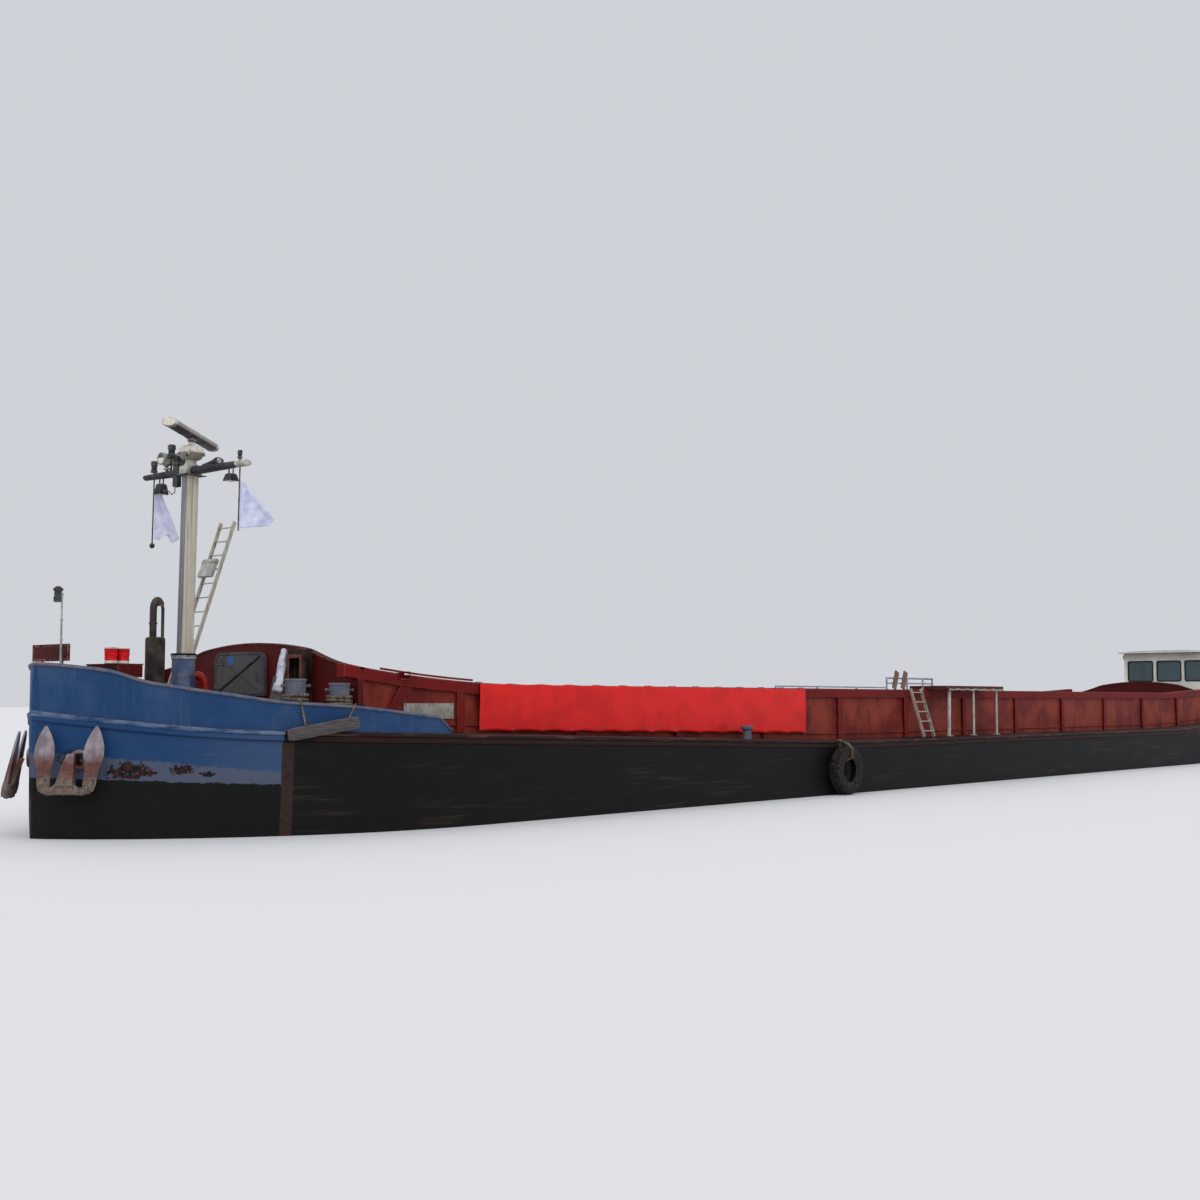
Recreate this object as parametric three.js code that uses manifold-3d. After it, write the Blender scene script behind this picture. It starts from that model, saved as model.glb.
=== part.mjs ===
// An open river barge of the 55 by 6.6 metre class, as a scale model at 1:2.
// Lengths are in metres on the real barge. The group at the end scales them to model millimetres.
// +X points to the bow, +Y to port and +Z up. The origin is amidships on the flat bottom.
import * as THREE from 'three';
import { mergeVertices } from 'three/addons/utils/BufferGeometryUtils.js';
import Module from 'manifold-3d';

const wasm = await Module();
wasm.setup();

const MODEL_SCALE = 0.5;
const MM_PER_METRE = 1000;
const SLIT = 0.0006;

// Hull
const LENGTH = 55;
const BEAM = 6.6;
const DEPTH = 2.6;
const BOW_X = LENGTH / 2;
const STERN_X = -LENGTH / 2;
const HALF_BEAM = BEAM / 2;
const BOW_TAPER = 6;
const STERN_TAPER = 4.5;
const BILGE = 0.3;
const CAMBER = 0.05;
const WALE = { out: 0.06, height: 0.15 };
const STEM_HALF_WIDTH = 0.045;

// Hold and the coaming round it
const HOLD = { fore: 23.5, aft: -16, halfWidth: 2.52, floor: 0.35 };
const COAMING = { outer: 2.6, inner: 2.52, rimOuter: 2.68, rimInner: 2.5, rimDepth: 0.2, top: 3.77 };
const BULKHEAD_THICKNESS = 0.1;
const ARCH = { foreTop: 4.46, aftTop: 4.2, drop: 0.062, shoulder: 0.07, shoulderFrom: 1.4 };

// Masts, gear and superstructure
const MAST = { x: 24.88, rake: THREE.MathUtils.degToRad(1), long: 0.25, wide: 0.13, foot: 2.95, top: 7.15 };
const WELL = { gap: 0.015, floor: 0.25, depth: 4.2 };
const WHEELHOUSE = { fore: -18.9, aft: -21.9, halfWidth: 1.7, wall: 0.07, top: 5.3, sill: 4.25, head: 5.0 };

// Rail height along the bow bulwark
const BOW_RAIL = [
  { x: 22.05, z: 3.04 },
  { x: 22.3, z: 3.25 },
  { x: 23.0, z: 3.33 },
  { x: 23.8, z: 3.42 },
  { x: 24.9, z: 3.49 },
  { x: 25.9, z: 3.66 },
  { x: 26.55, z: 3.79 },
  { x: 26.85, z: 3.95 },
  { x: 27.5, z: 4.07 },
];

const clamp01 = (value) => Math.min(1, Math.max(0, value));

// Height of the deck edge, which rises in a straight line from amidships and kicks up at the bow.
function sheer(x) {
  const fore = 0.028 * Math.max(0, x - 9.5) + 0.032 * Math.max(0, x - 24.85) ** 2;
  const aft = 0.033 * Math.max(0, -x - 10.5);
  return DEPTH + fore + aft;
}

// Half the width of the deck.
function halfDeck(x) {
  const fromBow = (BOW_X - x) / BOW_TAPER;
  const fromStern = (x - STERN_X) / STERN_TAPER;
  if (fromBow < 1) {
    return Math.max(STEM_HALF_WIDTH, HALF_BEAM * (1 - (1 - fromBow) ** 2) ** (1 / 1.4));
  }
  if (fromStern < 1) {
    return HALF_BEAM * Math.sqrt(1 - ((1 - fromStern) / 1.02) ** 2);
  }
  return HALF_BEAM;
}

// Height of the bottom, which rises to the stem's foot and over the propeller.
function keel(x) {
  const stemFoot = 1.1 * clamp01(1 - (BOW_X - x) / 2.2) ** 2.2;
  const run = clamp01((-21.5 - x) / 3.2);
  const counter = clamp01((-24.7 - x) / 2.8);
  return stemFoot + 1.5 * run * run * (3 - 2 * run) + 0.4 * counter;
}

const camber = (x) => CAMBER * clamp01((BOW_X - x) / 2) * clamp01((x - STERN_X) / 2);

function coamingTop(x) {
  return COAMING.top + 0.0155 * Math.max(0, x - 19.4) ** 2 + 0.04 * Math.max(0, -x - 11.5);
}

function railTop(x) {
  const i = Math.max(1, BOW_RAIL.findIndex((row) => row.x >= x - 1e-9));
  const a = BOW_RAIL[i - 1];
  const b = BOW_RAIL[i];
  return a.z + ((b.z - a.z) * (x - a.x)) / (b.x - a.x);
}

// Solids and meshes

function solid(geometry) {
  const bare = geometry.clone();
  bare.deleteAttribute('normal');
  bare.deleteAttribute('uv');
  const merged = mergeVertices(bare, 1e-6);
  return new wasm.Manifold(new wasm.Mesh({
    numProp: 3,
    vertProperties: new Float32Array(merged.attributes.position.array),
    triVerts: new Uint32Array(merged.index.array),
  }));
}

function geometryOf(body) {
  const mesh = body.getMesh();
  const geometry = new THREE.BufferGeometry();
  geometry.setAttribute('position', new THREE.Float32BufferAttribute(mesh.vertProperties, 3));
  geometry.setIndex(Array.from(mesh.triVerts));
  geometry.computeVertexNormals();
  return geometry;
}

function join(...geometries) {
  return geometryOf(geometries.map(solid).reduce((whole, piece) => whole.add(piece)));
}

function cut(geometry, ...holes) {
  return geometryOf(holes.map(solid).reduce((whole, piece) => whole.subtract(piece), solid(geometry)));
}

// Rings of [x, y, z] points, counter-clockwise as seen from the last ring.
function loft(rings, capFaces) {
  const count = rings[0].length;
  const index = [];
  for (let k = 0; k < rings.length - 1; k += 1) {
    for (let i = 0; i < count; i += 1) {
      const next = (i + 1) % count;
      const a = k * count + i;
      const b = k * count + next;
      index.push(a, b, b + count, a, b + count, a + count);
    }
  }
  const last = (rings.length - 1) * count;
  const faces = capFaces ?? Array.from({ length: count - 2 }, (_, i) => [0, i + 1, i + 2]);
  for (const [a, b, c] of faces) {
    index.push(c, b, a, last + a, last + b, last + c);
  }
  const geometry = new THREE.BufferGeometry();
  geometry.setAttribute('position', new THREE.Float32BufferAttribute(rings.flat(2), 3));
  geometry.setIndex(index);
  geometry.computeVertexNormals();
  return geometry;
}

// Faces of a ring that isn't convex, from the two columns that show its outline.
function capOf(ring, first, second) {
  const outline = ring.map((point) => new THREE.Vector2(point[first], point[second]));
  return THREE.ShapeUtils.triangulateShape(outline, []);
}

function mirrored(geometry) {
  const copy = geometry.clone();
  copy.scale(1, -1, 1);
  const index = Array.from(copy.index.array);
  for (let i = 0; i < index.length; i += 3) {
    [index[i], index[i + 1]] = [index[i + 1], index[i]];
  }
  copy.setIndex(index);
  copy.computeVertexNormals();
  return copy;
}

function box(x0, x1, y0, y1, z0, z1) {
  const geometry = new THREE.BoxGeometry(Math.abs(x1 - x0), Math.abs(y1 - y0), Math.abs(z1 - z0));
  return geometry.translate((x0 + x1) / 2, (y0 + y1) / 2, (z0 + z1) / 2);
}

// An upright round piece from z0 to z1.
function post(x, y, z0, z1, radius, sides = 16, topRadius = radius) {
  const geometry = new THREE.CylinderGeometry(topRadius, radius, z1 - z0, sides);
  return geometry.rotateX(Math.PI / 2).translate(x, y, (z0 + z1) / 2);
}

// A round bar between two points, which may end thinner than it starts.
function bar(from, to, radius, sides = 8, endRadius = radius) {
  const a = new THREE.Vector3(...from);
  const b = new THREE.Vector3(...to);
  const geometry = new THREE.CylinderGeometry(endRadius, radius, a.distanceTo(b), sides);
  const turn = new THREE.Quaternion().setFromUnitVectors(
    new THREE.Vector3(0, 1, 0),
    b.clone().sub(a).normalize(),
  );
  const middle = a.clone().add(b).multiplyScalar(0.5);
  return geometry.applyQuaternion(turn).translate(middle.x, middle.y, middle.z);
}

function bentTube(points, radius, steps, sides = 10) {
  const section = new THREE.Shape();
  section.absarc(0, 0, radius, 0, 2 * Math.PI);
  const path = new THREE.CatmullRomCurve3(points.map((point) => new THREE.Vector3(...point)));
  return new THREE.ExtrudeGeometry(section, { steps, extrudePath: path, curveSegments: sides / 2 });
}

// A flat outline in Y and Z, standing across the barge from x0 to x1.
function across(shape, x0, x1, curveSegments = 6) {
  const geometry = new THREE.ExtrudeGeometry(shape, { depth: x1 - x0, bevelEnabled: false, curveSegments });
  const turn = new THREE.Matrix4().makeBasis(
    new THREE.Vector3(0, 1, 0),
    new THREE.Vector3(0, 0, 1),
    new THREE.Vector3(1, 0, 0),
  );
  return geometry.applyMatrix4(turn).translate(x0, 0, 0);
}

// A flat outline in X and Z, standing lengthwise from y0 to y1.
function along(shape, y0, y1, curveSegments = 6) {
  const geometry = new THREE.ExtrudeGeometry(shape, { depth: y1 - y0, bevelEnabled: false, curveSegments });
  return geometry.rotateX(Math.PI / 2).translate(0, y1, 0);
}

function outline(points) {
  return new THREE.Shape(points.map(([a, b]) => new THREE.Vector2(a, b)));
}

// Paints: colour, roughness and metalness
const PAINTS = {
  blue: [0x2f4f86, 0.6, 0],
  tar: [0x1b1a1c, 0.7, 0],
  oxide: [0x6e2420, 0.7, 0],
  deck: [0x4a3b38, 0.85, 0],
  grey: [0x6d6c6b, 0.7, 0],
  silver: [0xa9a69c, 0.5, 0.4],
  cream: [0xc9c3a8, 0.5, 0],
  black: [0x16171a, 0.5, 0],
  white: [0xe8e9ea, 0.6, 0],
  red: [0xd8261f, 0.7, 0],
  galvanised: [0x8f8f8d, 0.6, 0.5],
  bronze: [0x9a7b3a, 0.4, 0.8],
  wood: [0x8f8a80, 0.85, 0],
  rubber: [0x17171a, 0.9, 0],
};

const barge = new THREE.Group();

function add(name, paint, geometry, parent = barge) {
  const [color, roughness, metalness] = PAINTS[paint];
  const mesh = new THREE.Mesh(geometry, new THREE.MeshStandardMaterial({ color, roughness, metalness }));
  mesh.name = name;
  parent.add(mesh);
  return mesh;
}

// Half of a hull section, from the keel out to the deck edge.
function halfSection(x) {
  const deck = halfDeck(x);
  const bowShare = clamp01(1 - (BOW_X - x) / BOW_TAPER);
  const sternShare = clamp01(1 - (x - STERN_X) / 6);
  const side = deck * (1 - 0.1 * clamp01(1 - (BOW_X - x) / 4));
  const wide = Math.min(0.9 * side, BILGE + 1.2 * bowShare ** 2 + 1.6 * sternShare);
  const high = BILGE + 0.9 * bowShare ** 2 + 0.4 * sternShare;
  const bottom = keel(x);
  const points = [];
  for (const turn of [0, 1, 2, 3]) {
    const angle = (turn / 3) * (Math.PI / 2);
    points.push([side - wide * (1 - Math.sin(angle)), bottom + high * (1 - Math.cos(angle))]);
  }
  const edge = sheer(x);
  points.push([deck, edge - WALE.height - 0.02]);
  points.push([deck + WALE.out, edge - WALE.height]);
  points.push([deck + WALE.out, edge - 0.02]);
  points.push([deck, edge]);
  return points;
}

function hullBody(stations) {
  const rings = stations.map((x) => {
    const half = halfSection(x);
    const starboard = half.map(([y, z]) => [x, -y, z]).reverse();
    return [
      [x, 0, keel(x)],
      ...half.map(([y, z]) => [x, y, z]),
      [x, 0, sheer(x) + camber(x)],
      ...starboard,
    ];
  });
  return loft(rings, capOf(rings[0], 1, 2));
}

// The mast slides down into this well, so the fore body is open under it.
const BOW_STATIONS = [HOLD.fore + SLIT, 24.2, 24.85, 25.9, 26.55, 26.85, 27.2, 27.4, 27.5];
const STERN_STATIONS = [
  STERN_X, -27.42, -27.1, -26.5, -25.7, -25, -24.35, -23.5, -22.5, -21.5, -18.5, HOLD.aft - SLIT,
];

function mastWell() {
  const long = MAST.long / 2 + WELL.gap;
  const wide = MAST.wide / 2 + WELL.gap;
  const well = box(-long, long, -wide, wide, 0, WELL.depth);
  const foot = MAST.foot - WELL.floor;
  return well.translate(0, 0, -foot).rotateY(-MAST.rake).translate(MAST.x, 0, MAST.foot);
}

add('hull_bow', 'blue', cut(hullBody(BOW_STATIONS), mastWell()));
add('hull_stern', 'tar', hullBody(STERN_STATIONS));

// The hold: a flat floor between two hollow wings, which carry the side decks.
const FLOOR_END = BULKHEAD_THICKNESS + SLIT;
add('hold_floor', 'deck', box(
  HOLD.aft + FLOOR_END, HOLD.fore - FLOOR_END, -HOLD.halfWidth + SLIT, HOLD.halfWidth - SLIT, 0, HOLD.floor,
));

function wing() {
  const stations = [HOLD.aft, -10.5, 9.5, 21.5, 22.05, 22.3, 23, HOLD.fore];
  const rings = stations.map((x) => [
    [x, HOLD.halfWidth, 0],
    ...halfSection(x).map(([y, z]) => [x, y, z]),
    [x, HOLD.halfWidth, sheer(x) + 0.02],
  ]);
  return loft(rings, capOf(rings[0], 1, 2));
}

// One small bollard a side stands on the wing's deck.
const SIDE_BOLLARD = { x: 13.27, y: 3.02, radius: 0.09, height: 0.28, capRadius: 0.13 };

function sideBollard() {
  const { x, y, radius, height, capRadius } = SIDE_BOLLARD;
  const deck = sheer(x);
  return join(
    post(x, y, deck - 0.05, deck + height, radius),
    post(x, y, deck + height - 0.06, deck + height, capRadius),
  );
}

const portWing = join(wing(), sideBollard());
add('side_port', 'tar', portWing);
add('side_starboard', 'tar', mirrored(portWing));

// Coaming plates with a deep rim on top and upright T-shaped stiffeners outside.
const STIFFENER = { fore: 21.2, pitch: 3.05, web: 0.015, half: 0.095, depth: 0.06, flange: 0.015 };

function stiffener(x) {
  const { web, half, depth, flange } = STIFFENER;
  const foot = sheer(x + half) + 0.03;
  const head = coamingTop(x) - COAMING.rimDepth / 2;
  const face = COAMING.outer + depth;
  return [
    box(x - web, x + web, COAMING.outer - 0.01, face, foot, head),
    box(x - half, x + half, face - flange, face, foot, head),
  ];
}

function coaming() {
  const { outer, inner, rimOuter, rimInner, rimDepth } = COAMING;
  const fore = HOLD.fore - BULKHEAD_THICKNESS - SLIT;
  const aft = HOLD.aft + BULKHEAD_THICKNESS + SLIT;
  const stations = [aft, -11.5, -10.5, 9.5, 19.4, 20.4, 21.5, 22.5, fore];
  const rings = stations.map((x) => {
    const top = coamingTop(x);
    const foot = sheer(x) + 0.02 + SLIT;
    return [
      [x, inner, foot],
      [x, outer, foot],
      [x, outer, top - rimDepth],
      [x, rimOuter, top - rimDepth + 0.02],
      [x, rimOuter, top],
      [x, rimInner, top],
      [x, rimInner, top - rimDepth + 0.02],
      [x, inner, top - rimDepth],
    ];
  });
  const plate = loft(rings, capOf(rings[0], 1, 2));
  const stiffeners = [];
  for (let x = STIFFENER.fore; x > aft + STIFFENER.half; x -= STIFFENER.pitch) {
    stiffeners.push(...stiffener(x));
  }
  return join(plate, ...stiffeners);
}

const portCoaming = coaming();
add('coaming_port', 'oxide', portCoaming);
add('coaming_starboard', 'oxide', mirrored(portCoaming));

// Arched walls stand on the flat bottom and close the hold at both ends.
const FORE_DOOR = {
  port: 0.37, starboard: -0.92, sill: 3.58, head: 4.3, corner: 0.15, lap: 0.03, thickness: 0.06,
};

function roundTopped(y0, y1, z0, z1, corner, ShapeType = THREE.Shape) {
  const shape = new ShapeType();
  shape.moveTo(y0, z0);
  shape.lineTo(y1, z0);
  shape.lineTo(y1, z1 - corner);
  shape.absarc(y1 - corner, z1 - corner, corner, 0, Math.PI / 2);
  shape.lineTo(y0 + corner, z1);
  shape.absarc(y0 + corner, z1 - corner, corner, Math.PI / 2, Math.PI);
  return shape;
}

// The arch falls off evenly from the middle, and a little more at each shoulder.
function archAt(y, top) {
  const share = clamp01((Math.abs(y) - ARCH.shoulderFrom) / (COAMING.rimOuter - ARCH.shoulderFrom));
  return top - ARCH.drop * y * y - ARCH.shoulder * Math.sin(Math.PI * share);
}

function archedWall(x0, x1, deck, top) {
  const inside = HOLD.halfWidth - SLIT;
  const outside = COAMING.rimOuter;
  const points = [
    [-inside, 0],
    [inside, 0],
    [inside, deck],
    [outside, deck],
  ];
  const steps = 14;
  for (let i = 0; i <= steps; i += 1) {
    const y = outside - (2 * outside * i) / steps;
    points.push([y, archAt(y, top)]);
  }
  points.push([-outside, deck], [-inside, deck]);
  return across(outline(points), x0, x1);
}

// The coaming's rim reaches a little way past the fore wall.
const RIM_END = HOLD.fore + 0.3;

function rimEnd() {
  const { rimInner, rimOuter, rimDepth } = COAMING;
  return loft([HOLD.fore - 0.02, RIM_END].map((x) => {
    const top = coamingTop(x);
    const low = top - rimDepth;
    return [[x, rimInner, low], [x, rimOuter, low], [x, rimOuter, top], [x, rimInner, top]];
  }));
}

const foreWallX = HOLD.fore - BULKHEAD_THICKNESS;
const foreWall = archedWall(foreWallX, HOLD.fore, sheer(HOLD.fore) + 0.03, ARCH.foreTop);
const doorway = across(
  roundTopped(FORE_DOOR.starboard, FORE_DOOR.port, FORE_DOOR.sill, FORE_DOOR.head, FORE_DOOR.corner),
  foreWallX - 0.1,
  HOLD.fore + 0.1,
);
add('bulkhead_fore', 'oxide', cut(join(foreWall, rimEnd(), mirrored(rimEnd())), doorway));
add('bulkhead_aft', 'oxide', archedWall(
  HOLD.aft, HOLD.aft + BULKHEAD_THICKNESS, sheer(HOLD.aft) + 0.03, ARCH.aftTop,
));

// The fore door: a grey plate with crossed stiffeners, hinged on its starboard edge.
function foreDoor() {
  const { port, starboard, sill, head, corner, lap, thickness } = FORE_DOOR;
  const x = HOLD.fore + 0.012;
  const low = sill - lap + 0.02;
  const high = head + lap - 0.02;
  const plate = across(roundTopped(starboard - lap, port + lap, low, high, corner), x, x + thickness);
  const ribs = [
    bar([x + thickness, starboard, low + 0.05], [x + thickness, port, high - 0.08], 0.02, 6),
    bar([x + thickness, starboard, high - 0.08], [x + thickness, port, low + 0.05], 0.02, 6),
  ];
  return join(plate, ...ribs);
}
add('fore_door', 'grey', foreDoor());

// A bulwark's section as [out, z]: a plate with a cap rail that overhangs on both sides.
function bulwarkSection(foot, top) {
  return [
    [0, foot], [0, top - 0.06], [0.035, top - 0.05], [0.035, top],
    [-0.09, top], [-0.09, top - 0.05], [-0.05, top - 0.06], [-0.05, foot],
  ];
}

// Bulwarks are led round the deck edge from port to starboard.
function bulwark(stations, heightAt) {
  const port = stations.map((x) => ({ x, y: halfDeck(x) }));
  const tip = stations.at(-1);
  const starboard = port.slice().reverse().map(({ x, y }) => ({ x, y: -y }));
  const middle = tip === BOW_X ? [] : [{ x: tip, y: 0 }];
  const path = [...port, ...middle, ...starboard];
  const foreward = tip > 0 ? 1 : -1;
  const rings = path.map((here, i) => {
    const before = path[Math.max(0, i - 1)];
    const after = path[Math.min(path.length - 1, i + 1)];
    const length = Math.hypot(after.x - before.x, after.y - before.y);
    const outX = (-(after.y - before.y) / length) * foreward;
    const outY = ((after.x - before.x) / length) * foreward;
    const section = bulwarkSection(sheer(here.x) + 0.005, heightAt(here.x));
    return section.map(([out, z]) => [here.x + outX * out, here.y + outY * out, z]);
  });
  const cap = capOf(bulwarkSection(0, 1), 0, 1);
  return loft(foreward > 0 ? rings : rings.reverse(), cap);
}

const BULWARK_BOW_STATIONS = [22.05, 22.3, 23, HOLD.fore, 24.2, 24.85, 25.9, 26.55, 26.85, 27.2, 27.4, BOW_X];
const STERN_BULWARK_HEIGHT = 0.6;
add('bulwark_bow', 'blue', bulwark(BULWARK_BOW_STATIONS, railTop));
add('bulwark_stern', 'blue', bulwark(
  [-21.5, -22.5, -23.5, -24.35, -25, -25.7, -26.5, -27.1, -27.42, STERN_X],
  (x) => sheer(x) + STERN_BULWARK_HEIGHT * clamp01((-21.2 - x) / 1.2),
));

// Two stockless anchors hauled up against the bow, flukes upward. Their points lean on the plating.
const ANCHOR = { x: 27.43, y: 0.78, thickness: 0.11, turn: 37, lean: 11 };
const ANCHOR_CROWN = { port: 2.17, starboard: 2.08 };

function anchor() {
  const { thickness, lean } = ANCHOR;
  const right = [
    [0.3, 0], [0.42, 0.08], [0.44, 0.3], [0.51, 0.55], [0.49, 0.7], [0.38, 0.97],
    [0.27, 0.68], [0.23, 0.5], [0.27, 0.3], [0.2, 0.14],
  ];
  const left = right.slice().reverse().map(([y, z]) => [-y, z]);
  const flukes = across(outline([...right, ...left]), -thickness / 2, thickness / 2);
  const crown = box(-0.1, 0.1, -0.3, 0.3, -0.02, 0.14);
  const shank = box(-0.05, 0.05, -0.07, 0.07, 0.1, 0.5);
  return join(flukes, crown, shank).rotateY(-THREE.MathUtils.degToRad(lean));
}

const anchorShape = anchor();
for (const [side, sign] of [['port', 1], ['starboard', -1]]) {
  const mesh = add(`anchor_${side}`, 'galvanised', anchorShape.clone());
  mesh.position.set(ANCHOR.x, sign * ANCHOR.y, ANCHOR_CROWN[side]);
  mesh.rotation.z = sign * THREE.MathUtils.degToRad(ANCHOR.turn);
}

// Twin bollards on a common plate, two pairs forward and two aft.
const BOLLARD = { radius: 0.16, capRadius: 0.17, apart: 0.73, plateHalf: 0.21, plateEnd: 0.17 };
const BOLLARD_PLACES = [
  { name: 'bollard_fore', x: 24.1, y: 2.4, turn: -17, heights: [0.7, 0.76] },
  { name: 'bollard_aft', x: -22.6, y: 2.5, turn: 0, heights: [0.55, 0.55] },
];

function twinBollard({ x, y, turn, heights }) {
  const { radius, capRadius, apart, plateHalf, plateEnd } = BOLLARD;
  const reach = apart / 2 + plateEnd;
  const deck = Math.max(sheer(x + reach), sheer(x - reach)) + 0.045;
  const plate = box(-reach, reach, -plateHalf, plateHalf, deck, deck + 0.05);
  const posts = heights.flatMap((height, i) => [
    post((i - 0.5) * apart, 0, deck + 0.01, deck + height, radius),
    post((i - 0.5) * apart, 0, deck + height - 0.04, deck + height, capRadius),
  ]);
  return join(plate, ...posts).rotateZ(THREE.MathUtils.degToRad(turn)).translate(x, y, 0);
}

for (const place of BOLLARD_PLACES) {
  const shape = twinBollard(place);
  add(`${place.name}_port`, 'grey', shape);
  add(`${place.name}_starboard`, 'grey', mirrored(shape));
}

// Windlass, with its red gear case and a cable drum that turns on a level shaft.
const WINDLASS = { x: 26.15, shaftZ: 3.66, drumRadius: 0.17, drumHalf: 0.26, foot: 3.195 };

function windlassFrame() {
  const { x, shaftZ, foot } = WINDLASS;
  const base = box(x - 0.3, x + 0.3, -0.48, 0.48, foot, foot + 0.08);
  const cheeks = [-0.4, 0.32].map((y) => box(x - 0.2, x + 0.2, y, y + 0.08, foot + 0.04, shaftZ + 0.2));
  const tie = box(x - 0.24, x + 0.24, -0.44, 0.44, shaftZ + 0.21, shaftZ + 0.42);
  return cut(
    join(base, ...cheeks, tie.translate(0, 0, -0.02)),
    bar([x, -0.7, shaftZ], [x, 0.7, shaftZ], 0.07, 16),
  );
}

function windlassDrum() {
  const { x, shaftZ, drumRadius, drumHalf } = WINDLASS;
  return join(
    bar([x, -0.55, shaftZ], [x, 0.55, shaftZ], 0.05, 12),
    bar([x, -drumHalf, shaftZ], [x, drumHalf, shaftZ], drumRadius * 0.7, 16),
    bar([x, -drumHalf, shaftZ], [x, -drumHalf + 0.04, shaftZ], drumRadius, 16),
    bar([x, drumHalf - 0.04, shaftZ], [x, drumHalf, shaftZ], drumRadius, 16),
    bar([x, 0.5, shaftZ], [x, 0.62, shaftZ], 0.13, 12),
    bar([x, -0.62, shaftZ], [x, -0.5, shaftZ], 0.13, 12),
  );
}
add('windlass_frame', 'oxide', windlassFrame());
add('windlass_drum', 'galvanised', windlassDrum());

// Two paint drums stand on the windlass's gear case.
const drumFoot = WINDLASS.shaftZ + 0.4 + SLIT;
add('paint_drums', 'red', join(
  post(WINDLASS.x + 0.13, 0.1, drumFoot, drumFoot + 0.26, 0.1, 16, 0.108),
  post(WINDLASS.x - 0.07, 0.12, drumFoot, drumFoot + 0.25, 0.095, 16, 0.102),
));

// Exhaust silencer with a hooked pipe, a bent ventilator and a small deck drum.
const foredeckAt = (x) => sheer(x) + CAMBER + 0.008;
const STACK = { x: 25.42, top: 4.5, radius: 0.16, pipeRadius: 0.056 };
const STACK_PIPE = [
  [25.48, 0.02, 4.4], [25.48, 0.02, 4.92], [25.46, 0.02, 5.04], [25.4, 0.03, 5.09], [25.34, 0.03, 5.06],
];
const STACK_DRAIN = { x: 25.35, y: 0.09, top: 5.02, radius: 0.028 };

add('exhaust_stack', 'black', join(
  post(STACK.x, 0, foredeckAt(STACK.x + 0.2), STACK.top, STACK.radius),
  bentTube(STACK_PIPE, STACK.pipeRadius, 10),
  post(STACK_DRAIN.x, STACK_DRAIN.y, STACK.top - 0.1, STACK_DRAIN.top, STACK_DRAIN.radius, 8),
));

const VENT = { x: 24.73, y: 0.4, top: 3.66, radius: 0.062, hoseRadius: 0.066 };
const VENT_HOSE = [[24.73, 0.4, 3.62], [24.74, 0.39, 3.76], [24.78, 0.34, 3.87], [24.84, 0.28, 3.9]];
add('vent_cowl', 'red', join(
  post(VENT.x, VENT.y, foredeckAt(VENT.x + 0.1), VENT.top, VENT.radius, 14),
  bentTube(VENT_HOSE, VENT.hoseRadius, 8),
));
add('deck_drum', 'blue', post(25.08, 0.28, foredeckAt(25.2), 3.9, 0.125, 16));

// The mast rises through a round base: a flat-sided tube on a slide, raked slightly aft.
const MAST_BASE = { radius: 0.18, collarRadius: 0.2, collarFoot: 4.19, top: 4.25 };
add('mast_base', 'blue', cut(
  join(
    post(MAST.x, 0, foredeckAt(MAST.x + 0.2), MAST_BASE.collarFoot + 0.01, MAST_BASE.radius, 24),
    post(MAST.x, 0, MAST_BASE.collarFoot, MAST_BASE.top, MAST_BASE.collarRadius, 24),
  ),
  mastWell(),
));

const mast = new THREE.Group();
mast.position.set(MAST.x, 0, MAST.foot);
mast.rotation.y = -MAST.rake;
barge.add(mast);
const mastLength = MAST.top - MAST.foot;
add('mast', 'silver', box(
  -MAST.long / 2, MAST.long / 2, -MAST.wide / 2, MAST.wide / 2, -0.02, mastLength,
), mast);

// Crosstree: two tapered arms on a sleeve over the mast, with lamps, floodlights and the searchlight.
const ARM = { z: 0.08, root: 0.08, tip: 0.05, port: 1.49, starboard: -1.24 };
const LAMPS = [
  { y: 1.29, foot: 0.16, top: 0.3, radius: 0.042 },
  { y: -1.02, foot: 0.15, top: 0.35, radius: 0.06 },
  { y: -0.54, foot: 0.38, top: 0.58, radius: 0.07 },
];
const FLOODLIGHTS = [
  { y: 1.075, half: 0.09, foot: -0.18 },
  { y: -0.8, half: 0.085, foot: -0.24 },
];
const SEARCHLIGHT = { fore: 0.13, aft: -0.14, y: -0.66, z: 0.34, radius: 0.105 };
const SWITCH_BOX = { x: 0.045, port: -0.31, starboard: -0.43, foot: -0.15, top: 0.4 };
const RADAR = { foot: 0.26, neck: 0.56, reach: 1.185, thick: 0.08, flat: 1.4, housing: 0.212 };

function crosstree() {
  const { z, root, tip } = ARM;
  const arms = [ARM.starboard, ARM.port].map((end) => bar([0, 0, z], [0, end, z], root, 12, tip));
  const lamps = LAMPS.flatMap(({ y, foot, top, radius }) => [
    post(0, y, z, foot + 0.02, 0.022, 8),
    post(0, y, foot, top, radius, 12),
  ]);
  const floodlights = FLOODLIGHTS.flatMap(({ y, half, foot }) => [
    box(-0.09, 0.09, y - half, y + half, foot, -0.06),
    ...[-0.6, 0.6].map((end) => box(-0.015, 0.015, y + end * half - 0.015, y + end * half + 0.015, -0.09, z)),
  ]);
  const { fore, aft, y, z: beamZ, radius } = SEARCHLIGHT;
  return join(
    box(-MAST.long / 2 - 0.02, MAST.long / 2 + 0.02, -0.1, 0.1, 0, 0.16),
    post(0, 0, 0.15, RADAR.foot - SLIT, 0.09, 12),
    ...arms,
    ...lamps,
    ...floodlights,
    bar([aft, y, beamZ], [fore, y, beamZ], radius, 14),
    box(-0.03, 0.03, y - 0.03, y + 0.03, z, beamZ),
    box(-SWITCH_BOX.x, SWITCH_BOX.x, SWITCH_BOX.starboard, SWITCH_BOX.port, SWITCH_BOX.foot, SWITCH_BOX.top),
  );
}
const masthead = new THREE.Group();
masthead.position.set(0, 0, mastLength + SLIT);
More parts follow.
